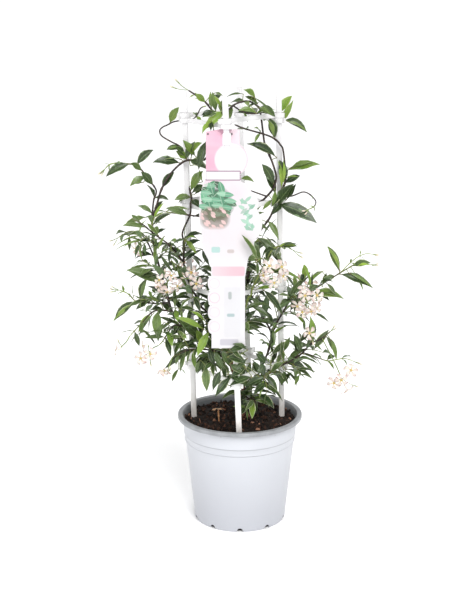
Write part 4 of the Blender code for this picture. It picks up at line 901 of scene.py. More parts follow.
white_plastic = trellis_finish()
corners, lines = [], []
for name in STAKES:
    lines += [(len(corners), len(corners) + 1), (len(corners) + 1, len(corners) + 2)]
    corners += [stake_at(name, z) for z in (STAKE_FOOT, SOIL_TOP, STAKE_TOP)]
stakes = run_tree("stakes", new_mesh("stake_lines", corners, edges=lines), stake_tree(), {
    "Width": STAKE_WIDTH * METRES, "Round": STAKE_ROUND * METRES, "Material": white_plastic})
finish_piece("stakes", stakes, None, [f"stake_{name}" for name in STAKES], sharp=50)
corners, lines, ways, bar_names = [], [], [], []
for name, a, b in bars():
    lines.append((len(corners), len(corners) + 1))
    corners += [a, b]
    ways += [(a - b).normalized(), (b - a).normalized()]
    bar_names.append(name)
bar_lines = new_mesh("bar_lines", corners, edges=lines)
store(bar_lines, "way", ways)
strips = run_tree("strips", bar_lines, bar_tree(), {
    "Height": BAR_HEIGHT * METRES, "Thickness": BAR_THICKNESS * METRES, "Outer": EYELET_RADIUS * METRES,
    "Bore": EYELET_BORE * METRES, "Tab": TAB_LENGTH * METRES, "Material": white_plastic})
finish_piece("strips_and_eyelets", strips, None, bar_names, sharp=50)

# %% [markdown]
# ## The card
# The card is die-cut: a round bulge at its head, a leafy right edge, scallops low on the left. Its slot slides
# over the front stake, so the head bends back behind it. Because the outline is irregular and flat, it is
# drawn as points and arcs, cut out, and then bent by its height.

# %% Card outline
CARD_THICKNESS = 0.8
CARD_LEFT = -51.5
CARD_HEAD_LEFT = -43.0
CARD_HEAD_RIGHT = -0.5
CARD_TOP = 545.3
CARD_FOOT = 264.0
DISC_CENTRE = (-11.5, 508.6)
DISC_RADIUS = 21.6
SCALLOPS = 4
SCALLOP_TOP = 360.0
SCALLOP_FOOT = 283.0
SCALLOP_DEPTH = 4.6
CARD_WAIST = -37.0
CARD_FOOT_RIGHT = 6.4
SLOT_HALF_WIDTH = 5.3
SLOT_TOP = 541.0
# Height and depth of the card: it hangs before the rings and goes back past the stake at its head.
CARD_BEND = ((264.0, -72.8), (327.0, -70.9), (440.0, -67.3), (498.0, -62.0), (519.0, -54.8), (545.3, -47.4))
RIGHT_EDGE = ((1.5, 488), (1.5, 481), (9, 478), (16, 466), (23, 458), (22, 446), (28, 432), (26, 416), (18, 404),
              (19, 392), (11, 384), (8, 368))
LEFT_EDGE = ((CARD_WAIST, 374), (-48, 397), (-48.5, 415), (CARD_LEFT, 428), (CARD_LEFT, 458), (-47, 478))


def smooth_route(points, step):
    """Points about a step apart on a smooth curve through the route's own points."""
    points = [Vector(p) for p in points]
    ends = [2 * points[0] - points[1]] + points + [2 * points[-1] - points[-2]]
    fine = []
    for a, b, c, d in zip(ends, ends[1:], ends[2:], ends[3:]):
        for i in range(8):
            t = i / 8
            square = (2 * a - 5 * b + 4 * c - d) * t * t
            cube = (3 * b - a - 3 * c + d) * t ** 3
            fine.append(0.5 * (2 * b + (c - a) * t + square + cube))
    fine.append(points[-1])
    return even_points(fine, step)


def even_points(fine, step):
    lengths = distances(fine)
    count = max(2, round(lengths[-1] / step))
    return [point_along(fine, lengths, lengths[-1] * i / count) for i in range(count + 1)]


def distances(points):
    """How far along a line of points each one lies."""
    lengths = [0.0]
    for a, b in zip(points, points[1:]):
        lengths.append(lengths[-1] + (b - a).length)
    return lengths


def point_along(points, lengths, distance):
    for i in range(1, len(points)):
        if distance <= lengths[i] or i == len(points) - 1:
            part = (distance - lengths[i - 1]) / max(lengths[i] - lengths[i - 1], 1e-9)
            return points[i - 1].lerp(points[i], min(part, 1.0))


def wavy(points, step):
    """A smooth edge through points given as x and z."""
    return [(p.x, p.z) for p in smooth_route([(x, 0, z) for x, z in points], step)]


def card_edge():
    """The card's edge from its top left corner, clockwise as seen from the front."""
    disc_turn = math.degrees(math.acos((CARD_HEAD_RIGHT - DISC_CENTRE[0]) / DISC_RADIUS))
    points = [(CARD_HEAD_LEFT, CARD_TOP - 3), (CARD_HEAD_LEFT + 18, CARD_TOP), (CARD_HEAD_RIGHT, CARD_TOP)]
    points += arc(DISC_CENTRE, DISC_RADIUS, disc_turn, -disc_turn, 25)
    points += wavy(RIGHT_EDGE, 2.5)
    points += [(CARD_FOOT_RIGHT, 358), (CARD_FOOT_RIGHT, CARD_FOOT), (CARD_WAIST, CARD_FOOT)]
    reach_up = (SCALLOP_TOP - SCALLOP_FOOT) / SCALLOPS
    for k in range(SCALLOPS):
        middle = SCALLOP_FOOT + reach_up * (k + 0.5)
        bulge = arc((0, 0), 1, -90, -270, 12)
        points += [(CARD_WAIST + x * SCALLOP_DEPTH, middle + z * reach_up * 0.48) for x, z in bulge]
    return points + wavy(LEFT_EDGE, 3) + [(CARD_HEAD_LEFT, 485)]


# %% Card shape
# The strip of the head that lies before the stake, and the sharp bend above it where the card goes back.
FINE_BEND = (
    (264.0, -72.8), (327.0, -70.9), (440.0, -67.3), (498.0, -61.9), (524.0, -59.6), (542.0, -49.6), (545.3, -48.2))
FINE_SLOT_FOOT = 526.0
SLOT_ROUND = 2
BEND_STEP = 6


def bent(height):
    """How far forward the finished card is at a height."""
    for (low, near), (high, far) in zip(FINE_BEND, FINE_BEND[1:]):
        if height <= high or high == FINE_BEND[-1][0]:
            return near + (far - near) * (height - low) / (high - low)


def prism(edge, near, far):
    """A flat shape between two depths, from its edge given as x and z."""
    count = len(edge)
    corners = [Vector((x, y, z)) for y in (near, far) for x, z in edge]
    faces = [tuple(reversed(range(count))), tuple(range(count, 2 * count))]
    return corners, faces + [(k, (k + 1) % count, (k + 1) % count + count, k + count) for k in range(count)]


def card_shape():
    half = CARD_THICKNESS / 2
    card = shape_object("card_blank", new_mesh("card", *prism(card_edge(), -half, half)))
    middle = stake_at("front", (FINE_SLOT_FOOT + SLOT_TOP) / 2).x
    left, right = middle - SLOT_HALF_WIDTH + SLOT_ROUND, middle + SLOT_HALF_WIDTH - SLOT_ROUND
    low, high = FINE_SLOT_FOOT + SLOT_ROUND, SLOT_TOP - SLOT_ROUND
    slot_edge = []
    for corner, first in (((right, low), 0), ((left, low), -90), ((left, high), 180), ((right, high), 90)):
        slot_edge += arc(corner, SLOT_ROUND, first, first - 90, 4)
    slot = shape_object("slot", new_mesh("slot", *prism(slot_edge, -5, 5)))
    for shape in (card, slot):
        face_out(shape.data)
    cut = card.modifiers.new("slot", "BOOLEAN")
    cut.operation, cut.object, cut.solver = "DIFFERENCE", slot, "EXACT"
    mesh = bpy.data.meshes.new_from_object(card.evaluated_get(bpy.context.evaluated_depsgraph_get()))
    for shape in (card, slot):
        bpy.data.objects.remove(shape)
    form = bmesh.new()
    form.from_mesh(mesh)
    height = CARD_FOOT + BEND_STEP
    while height < CARD_TOP:
        everything = form.verts[:] + form.edges[:] + form.faces[:]
        bmesh.ops.bisect_plane(form, geom=everything, plane_co=(0, 0, height * METRES), plane_no=UP)
        height += BEND_STEP
    bmesh.ops.triangulate(form, faces=form.faces)
    front = form.verts.layers.float.new("front")
    for corner in form.verts:
        corner[front] = 1.0 if corner.co.y < 0 else 0.0
        corner.co.y += bent(corner.co.z / METRES) * METRES
    form.to_mesh(mesh)
    form.free()
    return mesh


# %% [markdown]
# The print is laid out by the place on the card, in millimetres across and up. One group draws a
# rounded patch, which with a large radius is a disc and with a hole in it a ring. The print is made of plain
# forms: a pink wash, a disc, a frame, a garland of oval leaves with pale dots, and a pink band.


# %% Card print
def make_patch():
    """One inside a rounded rectangle and zero outside it, all sizes in millimetres."""
    sizes = [("X", 0.0), ("Z", 0.0), ("Middle X", 0.0), ("Middle Z", 0.0), ("Half Width", 10.0),
             ("Half Height", 10.0), ("Round", 1.0), ("Softness", 0.25)]
    group, given, result = new_group(
        "patch", "ShaderNodeTree", [(name, "Float", value) for name, value in sizes], [("Mask", "Float")])
    over = []
    for way, middle, half in (("X", "Middle X", "Half Width"), ("Z", "Middle Z", "Half Height")):
        off = maths(group, "ABSOLUTE", minus(group, given[way], given[middle]))
        straight = minus(group, given[half], given["Round"])
        beyond = maths(group, "MAXIMUM", minus(group, off, straight), 0.0)
        over.append(maths(group, "POWER", beyond, 2.0))
    distance = maths(group, "SQRT", plus(group, *over))
    outside = minus(group, distance, given["Round"])
    inwards = times(group, given["Softness"], -1.0)
    inputs = {"Value": outside, "From Min": given["Softness"], "From Max": inwards}
    group.links.new(put(group, "ShaderNodeMapRange", inputs).outputs[0], result.inputs["Mask"])
    return group


patch = make_patch()


def make_ovals():
    """Oval leaves in a loose pattern, turned by an angle. Each knows its middle, so a motif keeps whole ones."""
    sizes = [("X", 0.0), ("Z", 0.0), ("Length", 9.0), ("Width", 4.0), ("Angle", 0.6), ("Fill", 0.4)]
    group, given, result = new_group(
        "ovals", "ShaderNodeTree", [(name, "Float", value) for name, value in sizes],
        [(name, "Float") for name in ("Mask", "Tone", "Rib", "Middle X", "Middle Z")])

    def rotated(vector, invert=False):
        inputs = {"Vector": vector, "Angle": given["Angle"]}
        return put(group, "ShaderNodeVectorRotate", inputs, rotation_type="Z_AXIS", invert=invert).outputs[0]

    size = vector_of(group, X=given["Length"], Y=given["Width"], Z=1.0)
    scaled = vectors(group, "DIVIDE", rotated(vector_of(group, X=given["X"], Y=given["Z"])), size)
    inputs = {"Vector": scaled, "Scale": 1.0, "Randomness": 0.75}
    cells = put(group, "ShaderNodeTexVoronoi", inputs, voronoi_dimensions="2D")
    middle = cells.outputs["Position"]
    local = parts_of(group, vectors(group, "SUBTRACT", scaled, middle))
    across = maths(group, "ABSOLUTE", local["Y"])
    swell = times(group, times(group, local["X"], local["X"]), 3.6)
    form = plus(group, maths(group, "DIVIDE", across, given["Fill"]), swell)
    home = parts_of(group, rotated(vectors(group, "MULTIPLY", middle, size), invert=True))
    tone = parts_of(group, cells.outputs["Color"])["X"]
    made = {"Mask": ramp(group, form, 1.04, 0.94), "Tone": tone, "Rib": ramp(group, across, 0.06, 0.02),
            "Middle X": home["X"], "Middle Z": home["Y"]}
    for label, output in made.items():
        group.links.new(output, result.inputs[label])
    return group


ovals = make_ovals()


# %% Card layout
CARD_WHITE = (0.83, 0.81, 0.84, 1), (0.9, 0.89, 0.9, 1)
WASH_INK = (0.9, 0.47, 0.62, 1)
RIB_INK = (0.6, 0.75, 0.6, 1)
SPRIG_INKS = (0.04, 0.22, 0.12, 1), (0.42, 0.72, 0.55, 1)
BROWN_INK = (0.17, 0.13, 0.07, 1)
FLECK_INK = (0.85, 0.58, 0.56, 1)
BAND_INK = (0.9, 0.42, 0.52, 1)
RING_INK = (0.8, 0.45, 0.6, 1)
COLUMN_INK = (0.52, 0.56, 0.64, 1)
DISC_INK = (0.88, 0.68, 0.76, 1)
FRAME_INK = (0.3, 0.14, 0.24, 1)
DOT_INK = (0.05, 0.04, 0.045, 1)
# Patches of the print: middle across and up, half width, half height, corner radius and softness of the edge.
PINK_WASH = (-50, 524, 44, 40, 34, 14)
# Faint blushes, each with its strength and its ink.
BLUSHES = (
    ((-18, 432, 33, 44, 20, 12), 0.14, (0.85, 0.5, 0.62, 1)),
    ((-6, 470, 12, 12, 12, 9), 0.25, (0.88, 0.6, 0.7, 1)),
    ((-30, 452, 18, 21, 17, 3), 1.0, (0.05, 0.11, 0.07, 1)),
)
GARLAND = (-30, 457, 19, 21, 19)
# Layers of its oval leaves: length, width, angle, fill, and their darkest and palest colour.
OVALS = (
    (17.0, 10.0, 0.5, 0.42, (0.02, 0.07, 0.035, 1), (0.05, 0.16, 0.07, 1)),
    (18.0, 11.0, -0.8, 0.4, (0.03, 0.15, 0.07, 1), (0.08, 0.32, 0.15, 1)),
    (18.0, 11.0, 1.3, 0.38, (0.04, 0.22, 0.11, 1), (0.16, 0.48, 0.27, 1)),
    (16.0, 9.0, 0.1, 0.36, (0.09, 0.36, 0.2, 1), (0.34, 0.64, 0.44, 1)),
)
SPRIG = (10, 441, 9, 21, 9)
# Layers of the sprig's leaves: angle and fill.
SPRIG_LEAVES = ((0.5, 0.34), (-0.7, 0.3), (1.6, 0.26))
BROWN_PATCH = (-32, 435, 18, 13, 11, 2.5)
PINK_BAND = (-15, 366, 21, 6.2, 2.5, 0.6)
# Thin rings down the left: height and strength of each.
RINGS = ((350, 0.3), (331, 0.55), (312, 0.3), (293, 0.35))
RING_MIDDLE, RING_RADIUS, RING_LINE = -33, 7, 0.9
COLUMN = (-10, 312, 10.5, 33, 2.5, 0.5)
# Tinted spots: middle across and up, half width, half height, ink.
SPOTS = (
    (-13, 334, 2.2, 5.0, (0.25, 0.33, 0.3, 1)), (-12, 308, 5.0, 2.2, (0.2, 0.4, 0.4, 1)),
    (-31, 394, 5.5, 3.8, (0.25, 0.66, 0.58, 1)), (-12, 392, 4.5, 2.4, (0.5, 0.4, 0.36, 1)),
    (-14, 272, 12, 4.2, (0.5, 0.47, 0.56, 1)),
)
DISC_EDGE, DISC_WHITE = 21.2, 20.0
FRAME = (-21.6, 488.6, 22.4, 6.2, 1.5)
FRAME_LINE = 1.2
DOTS_AT = ((-40.6, 539.6), (-10.6, 539.6))
DOT_RADIUS = 1.3
CARD_GREY = 0.33


# %% Card finish
class Print:
    """A sheet of print that grows ink by ink, in millimetres across and up the card."""

    def __init__(self, tree, paper):
        self.tree, self.paper, self.colour = tree, paper, paper
        place = parts_of(tree, vectors(tree, "SCALE", object_place(tree), 1 / METRES))
        self.place = place["X"], place["Z"]

    def area(self, middle_x, middle_z, half_width, half_height, radius, softness=0.25, at=None):
        """One inside a patch. With another place given, one where that place is inside it."""
        x, z = at or self.place
        sizes = {"X": x, "Z": z, "Middle X": middle_x, "Middle Z": middle_z, "Half Width": half_width,
                 "Half Height": half_height, "Round": radius, "Softness": softness}
        return use_group(self.tree, patch, **sizes)["Mask"]

    def outline(self, middle_x, middle_z, half_width, half_height, radius, line):
        outer = self.area(middle_x, middle_z, half_width, half_height, radius)
        inner = self.area(middle_x, middle_z, half_width - line, half_height - line, max(radius - line, 0.1))
        return minus(self.tree, outer, inner, clamp=True)

    def leaves(self, length, width, angle, fill):
        x, z = self.place
        return use_group(self.tree, ovals, X=x, Z=z, Length=length, Width=width, Angle=angle, Fill=fill)

    def ink(self, mask, strength, colour):
        """Prints a colour over what is there."""
        self.colour = blend(self.tree, times(self.tree, mask, strength), self.colour, colour)


def print_wash(tree, sheet):
    """The soft pinks under everything else."""
    clouds = noise_at(tree, object_place(tree), 28.0, 2.0)
    cloudy = maths(tree, "MULTIPLY_ADD", clouds, 0.9, 0.5, clamp=True)
    sheet.ink(sheet.area(*PINK_WASH), cloudy, WASH_INK)
    for place, strength, ink in BLUSHES:
        sheet.ink(sheet.area(*place), strength, ink)


def print_leaves(tree, sheet):
    """A garland of whole oval leaves, a paler sprig beside it, and a brown patch with pale dots below."""
    for length, width, angle, fill, dark_leaf, pale_leaf in OVALS:
        layer = sheet.leaves(length, width, angle, fill)
        shade = blend(tree, layer["Tone"], dark_leaf, pale_leaf)
        shade = blend(tree, times(tree, layer["Rib"], 0.5), shade, RIB_INK)
        garland = sheet.area(*GARLAND, at=(layer["Middle X"], layer["Middle Z"]))
        sheet.ink(garland, layer["Mask"], shade)
    for angle, fill in SPRIG_LEAVES:
        layer = sheet.leaves(11.0, 7.0, angle, fill)
        sprig = sheet.area(*SPRIG, at=(layer["Middle X"], layer["Middle Z"]))
        some = ramp(tree, layer["Tone"], 0.3, 0.5)
        shown = times(tree, times(tree, sprig, layer["Mask"]), some)
        sheet.ink(shown, 0.85, blend(tree, layer["Tone"], *SPRIG_INKS))
    low = sheet.area(*BROWN_PATCH)
    sheet.ink(low, 0.7, BROWN_INK)
    flecks = sheet.leaves(8.0, 7.0, 0.7, 0.3)
    sheet.ink(low, times(tree, flecks["Mask"], ramp(tree, flecks["Tone"], 0.2, 0.4)), FLECK_INK)


def print_forms(tree, sheet):
    """Band, rings, spots, disc and frame."""
    sheet.ink(sheet.area(*PINK_BAND), ramp(tree, sheet.place[0], -38.0, 0.0, 0.35, 0.65), BAND_INK)
    for height, strength in RINGS:
        ring = sheet.outline(RING_MIDDLE, height, RING_RADIUS, RING_RADIUS, RING_RADIUS, RING_LINE)
        sheet.ink(ring, strength, RING_INK)
    sheet.ink(sheet.area(*COLUMN), 0.12, COLUMN_INK)
    for *place, tint in SPOTS:
        sheet.ink(sheet.area(*place, 2.0, 0.6), 0.6, tint)
    sheet.ink(sheet.area(*DISC_CENTRE, *[DISC_EDGE] * 3), 1.0, DISC_INK)
    sheet.ink(sheet.area(*DISC_CENTRE, *[DISC_WHITE] * 3), 1.0, sheet.paper)
    sheet.ink(sheet.area(*FRAME), 1.0, sheet.paper)
    sheet.ink(sheet.outline(*FRAME, FRAME_LINE), 1.0, FRAME_INK)
    for place in DOTS_AT:
        sheet.ink(sheet.area(*place, *[DOT_RADIUS] * 3, 0.5), 1.0, DOT_INK)


def card_finish():
    finish, tree, surface = new_material("printed_card", Coat_Weight=0.25, Coat_Roughness=0.12)
    sheet = Print(tree, mottled(tree, 30.0, 0.5, *CARD_WHITE))
    print_wash(tree, sheet)
    print_leaves(tree, sheet)
    print_forms(tree, sheet)
    colour = blend(tree, attribute(tree, "front"), sheet.paper, sheet.colour)
    colour = blend(tree, CARD_GREY, colour, (0, 0, 0, 1))
    fibres = use_group(tree, grain, Scale=500.0, Stretch=0.4)["Height"]
    feed(tree, surface, Base_Color=colour, Roughness=maths(tree, "MULTIPLY_ADD", fibres, 0.15, 0.28))
    feed(tree, surface, Normal=bump(tree, fibres, 0.00003))
    return finish


finish_piece("card", card_shape(), card_finish(), ["label"], sharp=40)

# %% [markdown]
# ## How the plant grows
# Star jasmine has opposite leaves, each pair turned a quarter from the last, and clusters of flowers on
# stalks of their own. The vines were traced one by one, since they give this plant its outline. The leaves
# follow the rule of opposite pairs along each vine, and those that stand out in the outline are placed singly.
# Every draw is seeded by the name of its vine, so that a leaf keeps its place when others change.

# %% Kinds of growth
SEED = 2406
STEM_STEP = 8.0
STEM_SLACK = 0.8
STEM_SIDES = 5
LEAF_THICKNESS = 1.2
LONG_LEAF = 36.0
LEAF_ASPECT = 0.33
FLOWER_RADIUS = 10.5
BUD_LENGTH = 9.0
STALK_RADIUS = 0.7
BEND_PASSES = 14
LEAF_TRIES = 10
FLOWER_TRIES = 14
BUD_TRIES = 8
Stem = namedtuple("Stem", "node parent thick thin route")
Zone = namedtuple("Zone", "stem first last spacing length turn")
Leaf = namedtuple("Leaf", "node base bend tip side width")
Flower = namedtuple("Flower", "node foot centre axis spin size")
Bud = namedtuple("Bud", "node foot tip thick")
Stalk = namedtuple("Stalk", "node points thick")
Cluster = namedtuple("Cluster", "node stem centre flowers buds spread facing")

# %% [markdown]
# The vines. Three of them leave the foot low down and rise behind the card, the others are side shoots. Each
# has a radius at its foot and one at its tip.

# %% Vines
STEMS = {
    "trunk": Stem("trunk", None, 3.2, 2.3, (
        (4, 8, 108), (4, 8, 134), (4, 6, 168), (4, 4, 186), (-7, 0, 204), (-12, -4, 223), (-13, -5, 248),
        (-9, 0, 274))),
    "stem_right": Stem("stem_right", "trunk", 1.6, 0.9, (
        (-12, -4, 240), (-3, 8, 276), (8, 14, 320), (13, 10, 359), (19, 2, 392), (37, -4, 419),
        (46, -3, 437), (54, -1, 455), (60, 2, 474), (58, 2, 492), (57, 0, 509), (49, -2, 523),
        (36, -10, 532), (19, -22, 539), (3, -34, 545), (-7, -40, 550))),
    "loop_right": Stem("stem_right", "stem_right", 0.9, 0.6, (
        (55, -1, 450), (69, -6, 452), (79, -8, 457), (87, -8, 457), (96, -8, 450), (100, -8, 441),
        (90, -10, 435))),
    "stem_arch": Stem("stem_arch", "trunk", 1.6, 0.9, (
        (-10, 0, 266), (-11, 5, 322), (-5, 5, 377), (7, 2, 416), (17, 0, 436), (33, -6, 449),
        (44, -9, 464), (47, -9, 478), (43, -8, 494), (36, -8, 510), (31, -6, 526), (29, -3, 542),
        (27, -3, 556), (25, -10, 567), (18, -20, 574), (11, -28, 578), (1, -36, 578), (-8, -41, 575),
        (-15, -44, 569), (-24, -42, 565), (-32, -38, 566), (-38, -34, 570), (-48, -30, 581),
        (-56, -28, 586), (-66, -26, 592))),
    "spur_label": Stem("stem_arch", "stem_arch", 0.9, 0.6, (
        (35, -8, 451), (22, -10, 457), (10, -14, 462), (0, -18, 467))),
    "tendril": Stem("stem_arch", "stem_arch", 0.9, 0.5, (
        (-9, -41, 574), (2, -30, 566), (17, -20, 561), (30, -2, 560), (42, 14, 557), (50, 17, 552),
        (57, 13, 549))),
    "stem_left": Stem("stem_left", "trunk", 1.5, 1.0, (
        (-11, -4, 254), (-24, 8, 272), (-44, 10, 290), (-54, 8, 300), (-64, 4, 324), (-72, 2, 343),
        (-75, 1, 361), (-74, 0, 388), (-77, 0, 398), (-73, 0, 409), (-67, 0, 423), (-64, 0, 438),
        (-64, 0, 452), (-67, 1, 463))),
    "stem_outer_left": Stem("stem_outer_left", "trunk", 1.6, 1.0, (
        (-12, -4, 230), (-38, 0, 246), (-59, 0, 256), (-78, -4, 277), (-89, -6, 290), (-95, -6, 308),
        (-99, -2, 324), (-107, 4, 350), (-115, 10, 383), (-117, 12, 405), (-116, 10, 422), (-110, 8, 437),
        (-107, 5, 449), (-103, 3, 460), (-97, 0, 471), (-89, -2, 483), (-78, -4, 494), (-68, -5, 499),
        (-59, -8, 500), (-45, -14, 502), (-40, -26, 518), (-35, -34, 534), (-33, -38, 546))),
    "spray_left_high": Stem("spray_left_high", "stem_outer_left", 1.1, 0.6, (
        (-117, 14, 410), (-117, 16, 420), (-115, 16, 441), (-111, 14, 456), (-122, 12, 473),
        (-129, 12, 482), (-136, 12, 490), (-146, 12, 491), (-159, 12, 493), (-171, 12, 491),
        (-178, 12, 485))),
    "loop_left": Stem("loop_left", "stem_outer_left", 0.9, 0.7, (
        (-69, -5, 499), (-75, -6, 514), (-82, -6, 520), (-91, -6, 524), (-100, -4, 529), (-104, -2, 535),
        (-103, 0, 540), (-95, 10, 543), (-89, 22, 545), (-76, 28, 547), (-63, 21, 549), (-56, 6, 556),
        (-53, -6, 564), (-49, -16, 569), (-43, -26, 572))),
    "branch_across": Stem("branch_across", "stem_arch", 1.0, 0.8, (
        (-8, 4, 350), (-20, 6, 390), (-33, 0, 416), (-55, -6, 425), (-67, -9, 427), (-79, -6, 428),
        (-90, -4, 429), (-98, -2, 430))),
    "branch_right_low": Stem("branch_right_low", "trunk", 1.6, 0.7, (
        (4, 4, 178), (16, -4, 192), (29, -10, 204), (43, -14, 214), (59, -16, 224), (77, -16, 234),
        (89, -16, 245), (98, -16, 255), (111, -16, 261), (122, -16, 271))),
    "twig_right_low": Stem("branch_right_low", "branch_right_low", 0.9, 0.5, (
        (84, -16, 240), (92, -22, 240), (101, -24, 237), (117, -26, 232), (127, -26, 234),
        (141, -26, 235), (151, -26, 232))),
    "spray_right_front": Stem("spray_right_front", "trunk", 1.3, 0.7, (
        (-12, -6, 248), (0, -22, 281), (8, -32, 310), (14, -36, 330), (24, -38, 351), (36, -38, 377),
        (44, -38, 389), (57, -38, 392), (68, -38, 387))),
    "branch_right_out": Stem("branch_right_out", "branch_right_low", 1.4, 0.8, (
        (19, -4, 193), (30, 4, 215), (38, 6, 234), (43, 4, 252), (45, 0, 267), (49, -2, 277),
        (59, -4, 295), (66, -4, 309), (80, -2, 330), (88, 0, 337), (94, 2, 348))),
    "spray_right_out": Stem("spray_right_out", "branch_right_out", 1.0, 0.6, (
        (66, -6, 308), (79, -10, 309), (88, -12, 317), (96, -12, 324), (110, -12, 335), (133, -12, 350),
        (146, -12, 358), (156, -12, 362), (172, -12, 361))),
    "shoot_right_out": Stem("spray_right_out", "spray_right_out", 0.6, 0.4, (
        (133, -12, 350), (145, -10, 362), (157, -8, 371), (168, -8, 375), (176, -8, 374))),
    "spray_right_inner": Stem("spray_right_inner", "branch_right_out", 1.2, 0.8, (
        (44, 6, 257), (40, 12, 267), (29, 20, 283), (19, 26, 301), (12, 28, 323), (14, 28, 344))),
    "spray_left_upper": Stem("spray_left_upper", "stem_left", 1.1, 0.7, (
        (-75, 1, 361), (-85, -6, 377), (-96, -8, 389), (-117, -10, 405), (-130, -12, 417),
        (-142, -12, 423))),
    "spray_left_mid": Stem("spray_left_mid", "stem_outer_left", 1.0, 0.6, (
        (-111, 8, 360), (-119, 14, 375), (-126, 18, 388), (-137, 20, 398), (-150, 22, 398),
        (-164, 22, 390))),
    "spray_left_flower": Stem("spray_left_flower", "stem_outer_left", 1.0, 0.6, (
        (-91, -8, 296), (-107, -14, 299), (-119, -18, 296), (-133, -22, 281), (-147, -24, 266))),
    "spray_left_low": Stem("spray_left_low", "stem_outer_left", 1.1, 0.6, (
        (-73, -6, 272), (-83, -16, 279), (-91, -20, 277), (-101, -26, 262), (-109, -28, 254))),
    "spray_left_bottom": Stem("spray_left_bottom", "trunk", 1.2, 0.7, (
        (-13, -8, 236), (-37, -24, 246), (-60, -30, 250), (-77, -34, 247), (-90, -36, 240))),
    "spray_left_out": Stem("spray_left_out", "stem_outer_left", 1.0, 0.6, (
        (-96, -2, 307), (-108, 4, 303), (-121, 8, 303), (-132, 10, 303), (-142, 12, 305), (-151, 12, 315),
        (-163, 12, 320))),
    "spray_front_low": Stem("spray_front_low", "trunk", 1.2, 0.7, (
        (-13, -6, 222), (-24, -24, 238), (-37, -36, 237), (-48, -42, 226))),
    "spray_centre_low": Stem("spray_centre_low", "trunk", 1.1, 0.8, (
        (5, 4, 160), (12, -6, 172), (18, -18, 176), (22, -28, 170))),
    "twig_centre": Stem("spray_centre_low", "spray_centre_low", 0.9, 0.6, (
        (12, -6, 172), (2, -16, 184), (-8, -22, 194), (-18, -27, 199))),
    "spray_back_left": Stem("spray_back_left", "trunk", 1.3, 0.7, (
        (-10, 2, 262), (-22, 26, 276), (-36, 50, 286), (-52, 74, 300), (-70, 92, 306), (-88, 104, 300))),
    "spray_back_right": Stem("spray_back_right", "branch_right_out", 1.2, 0.7, (
        (38, 8, 234), (44, 28, 252), (54, 50, 268), (68, 72, 280), (84, 90, 284), (100, 102, 276))),
    "spray_back_high": Stem("spray_back_high", "stem_right", 1.2, 0.7, (
        (6, 14, 312), (2, 34, 336), (-6, 52, 366), (-12, 58, 396), (-14, 54, 428), (-8, 48, 456))),
}

# %% [markdown]
# The leafy stretches: where the pairs start and end along a vine, how far apart they are, how long a leaf is
# and how far the first pair is turned.

# %% Leafy stretches
ZONES = (
    Zone("stem_right", 30, 140, 33, 40, 60),
    Zone("stem_right", 330, 365, 24, 24, 80),
    Zone("loop_right", 44, 64, 18, 9, 0),
    Zone("stem_arch", 50, 140, 44, 40, 30),
    Zone("stem_arch", 352, 375, 20, 26, 10),
    Zone("stem_arch", 424, 433, 9, 13, 0),
    Zone("tendril", 20, 70, 24, 24, 40),
    Zone("spur_label", 30, 36, 20, 24, 0),
    Zone("stem_left", 22, 152, 23, 42, 30),
    Zone("stem_outer_left", 40, 170, 27, 40, 0),
    Zone("stem_outer_left", 352, 390, 26, 20, 20),
    Zone("spray_left_high", 12, 40, 22, 24, 10),
    Zone("spray_left_high", 110, 128, 14, 12, 0),
    Zone("loop_left", 128, 140, 26, 18, 60),
    Zone("branch_across", 20, 90, 30, 34, 10),
    Zone("branch_right_low", 12, 112, 16, 38, 20),
    Zone("twig_right_low", 16, 68, 20, 22, 50),
    Zone("spray_right_front", 20, 150, 19, 36, 10),
    Zone("branch_right_out", 14, 150, 18, 40, 40),
    Zone("spray_right_out", 10, 60, 22, 32, 20),
    Zone("shoot_right_out", 18, 44, 16, 12, 0),
    Zone("spray_right_inner", 12, 95, 16, 40, 0),
    Zone("spray_left_upper", 10, 60, 20, 34, 20),
    Zone("spray_left_mid", 8, 72, 18, 32, 60),
    Zone("spray_left_flower", 10, 66, 17, 28, 10),
    Zone("spray_left_low", 8, 50, 16, 34, 40),
    Zone("spray_left_bottom", 12, 80, 18, 36, 0),
    Zone("spray_left_out", 8, 30, 16, 30, 30),
    Zone("spray_left_out", 58, 74, 12, 16, 0),
    Zone("spray_front_low", 10, 48, 15, 34, 20),
    Zone("spray_centre_low", 8, 34, 12, 36, 10),
    Zone("twig_centre", 10, 34, 13, 30, 0),
    Zone("spray_back_left", 14, 125, 28, 38, 20),
    Zone("spray_back_right", 12, 125, 28, 38, 60),
    Zone("spray_back_high", 16, 125, 28, 36, 0),
)

# %% [markdown]
# The single leaves of each vine: how far along it, and where the tip is.

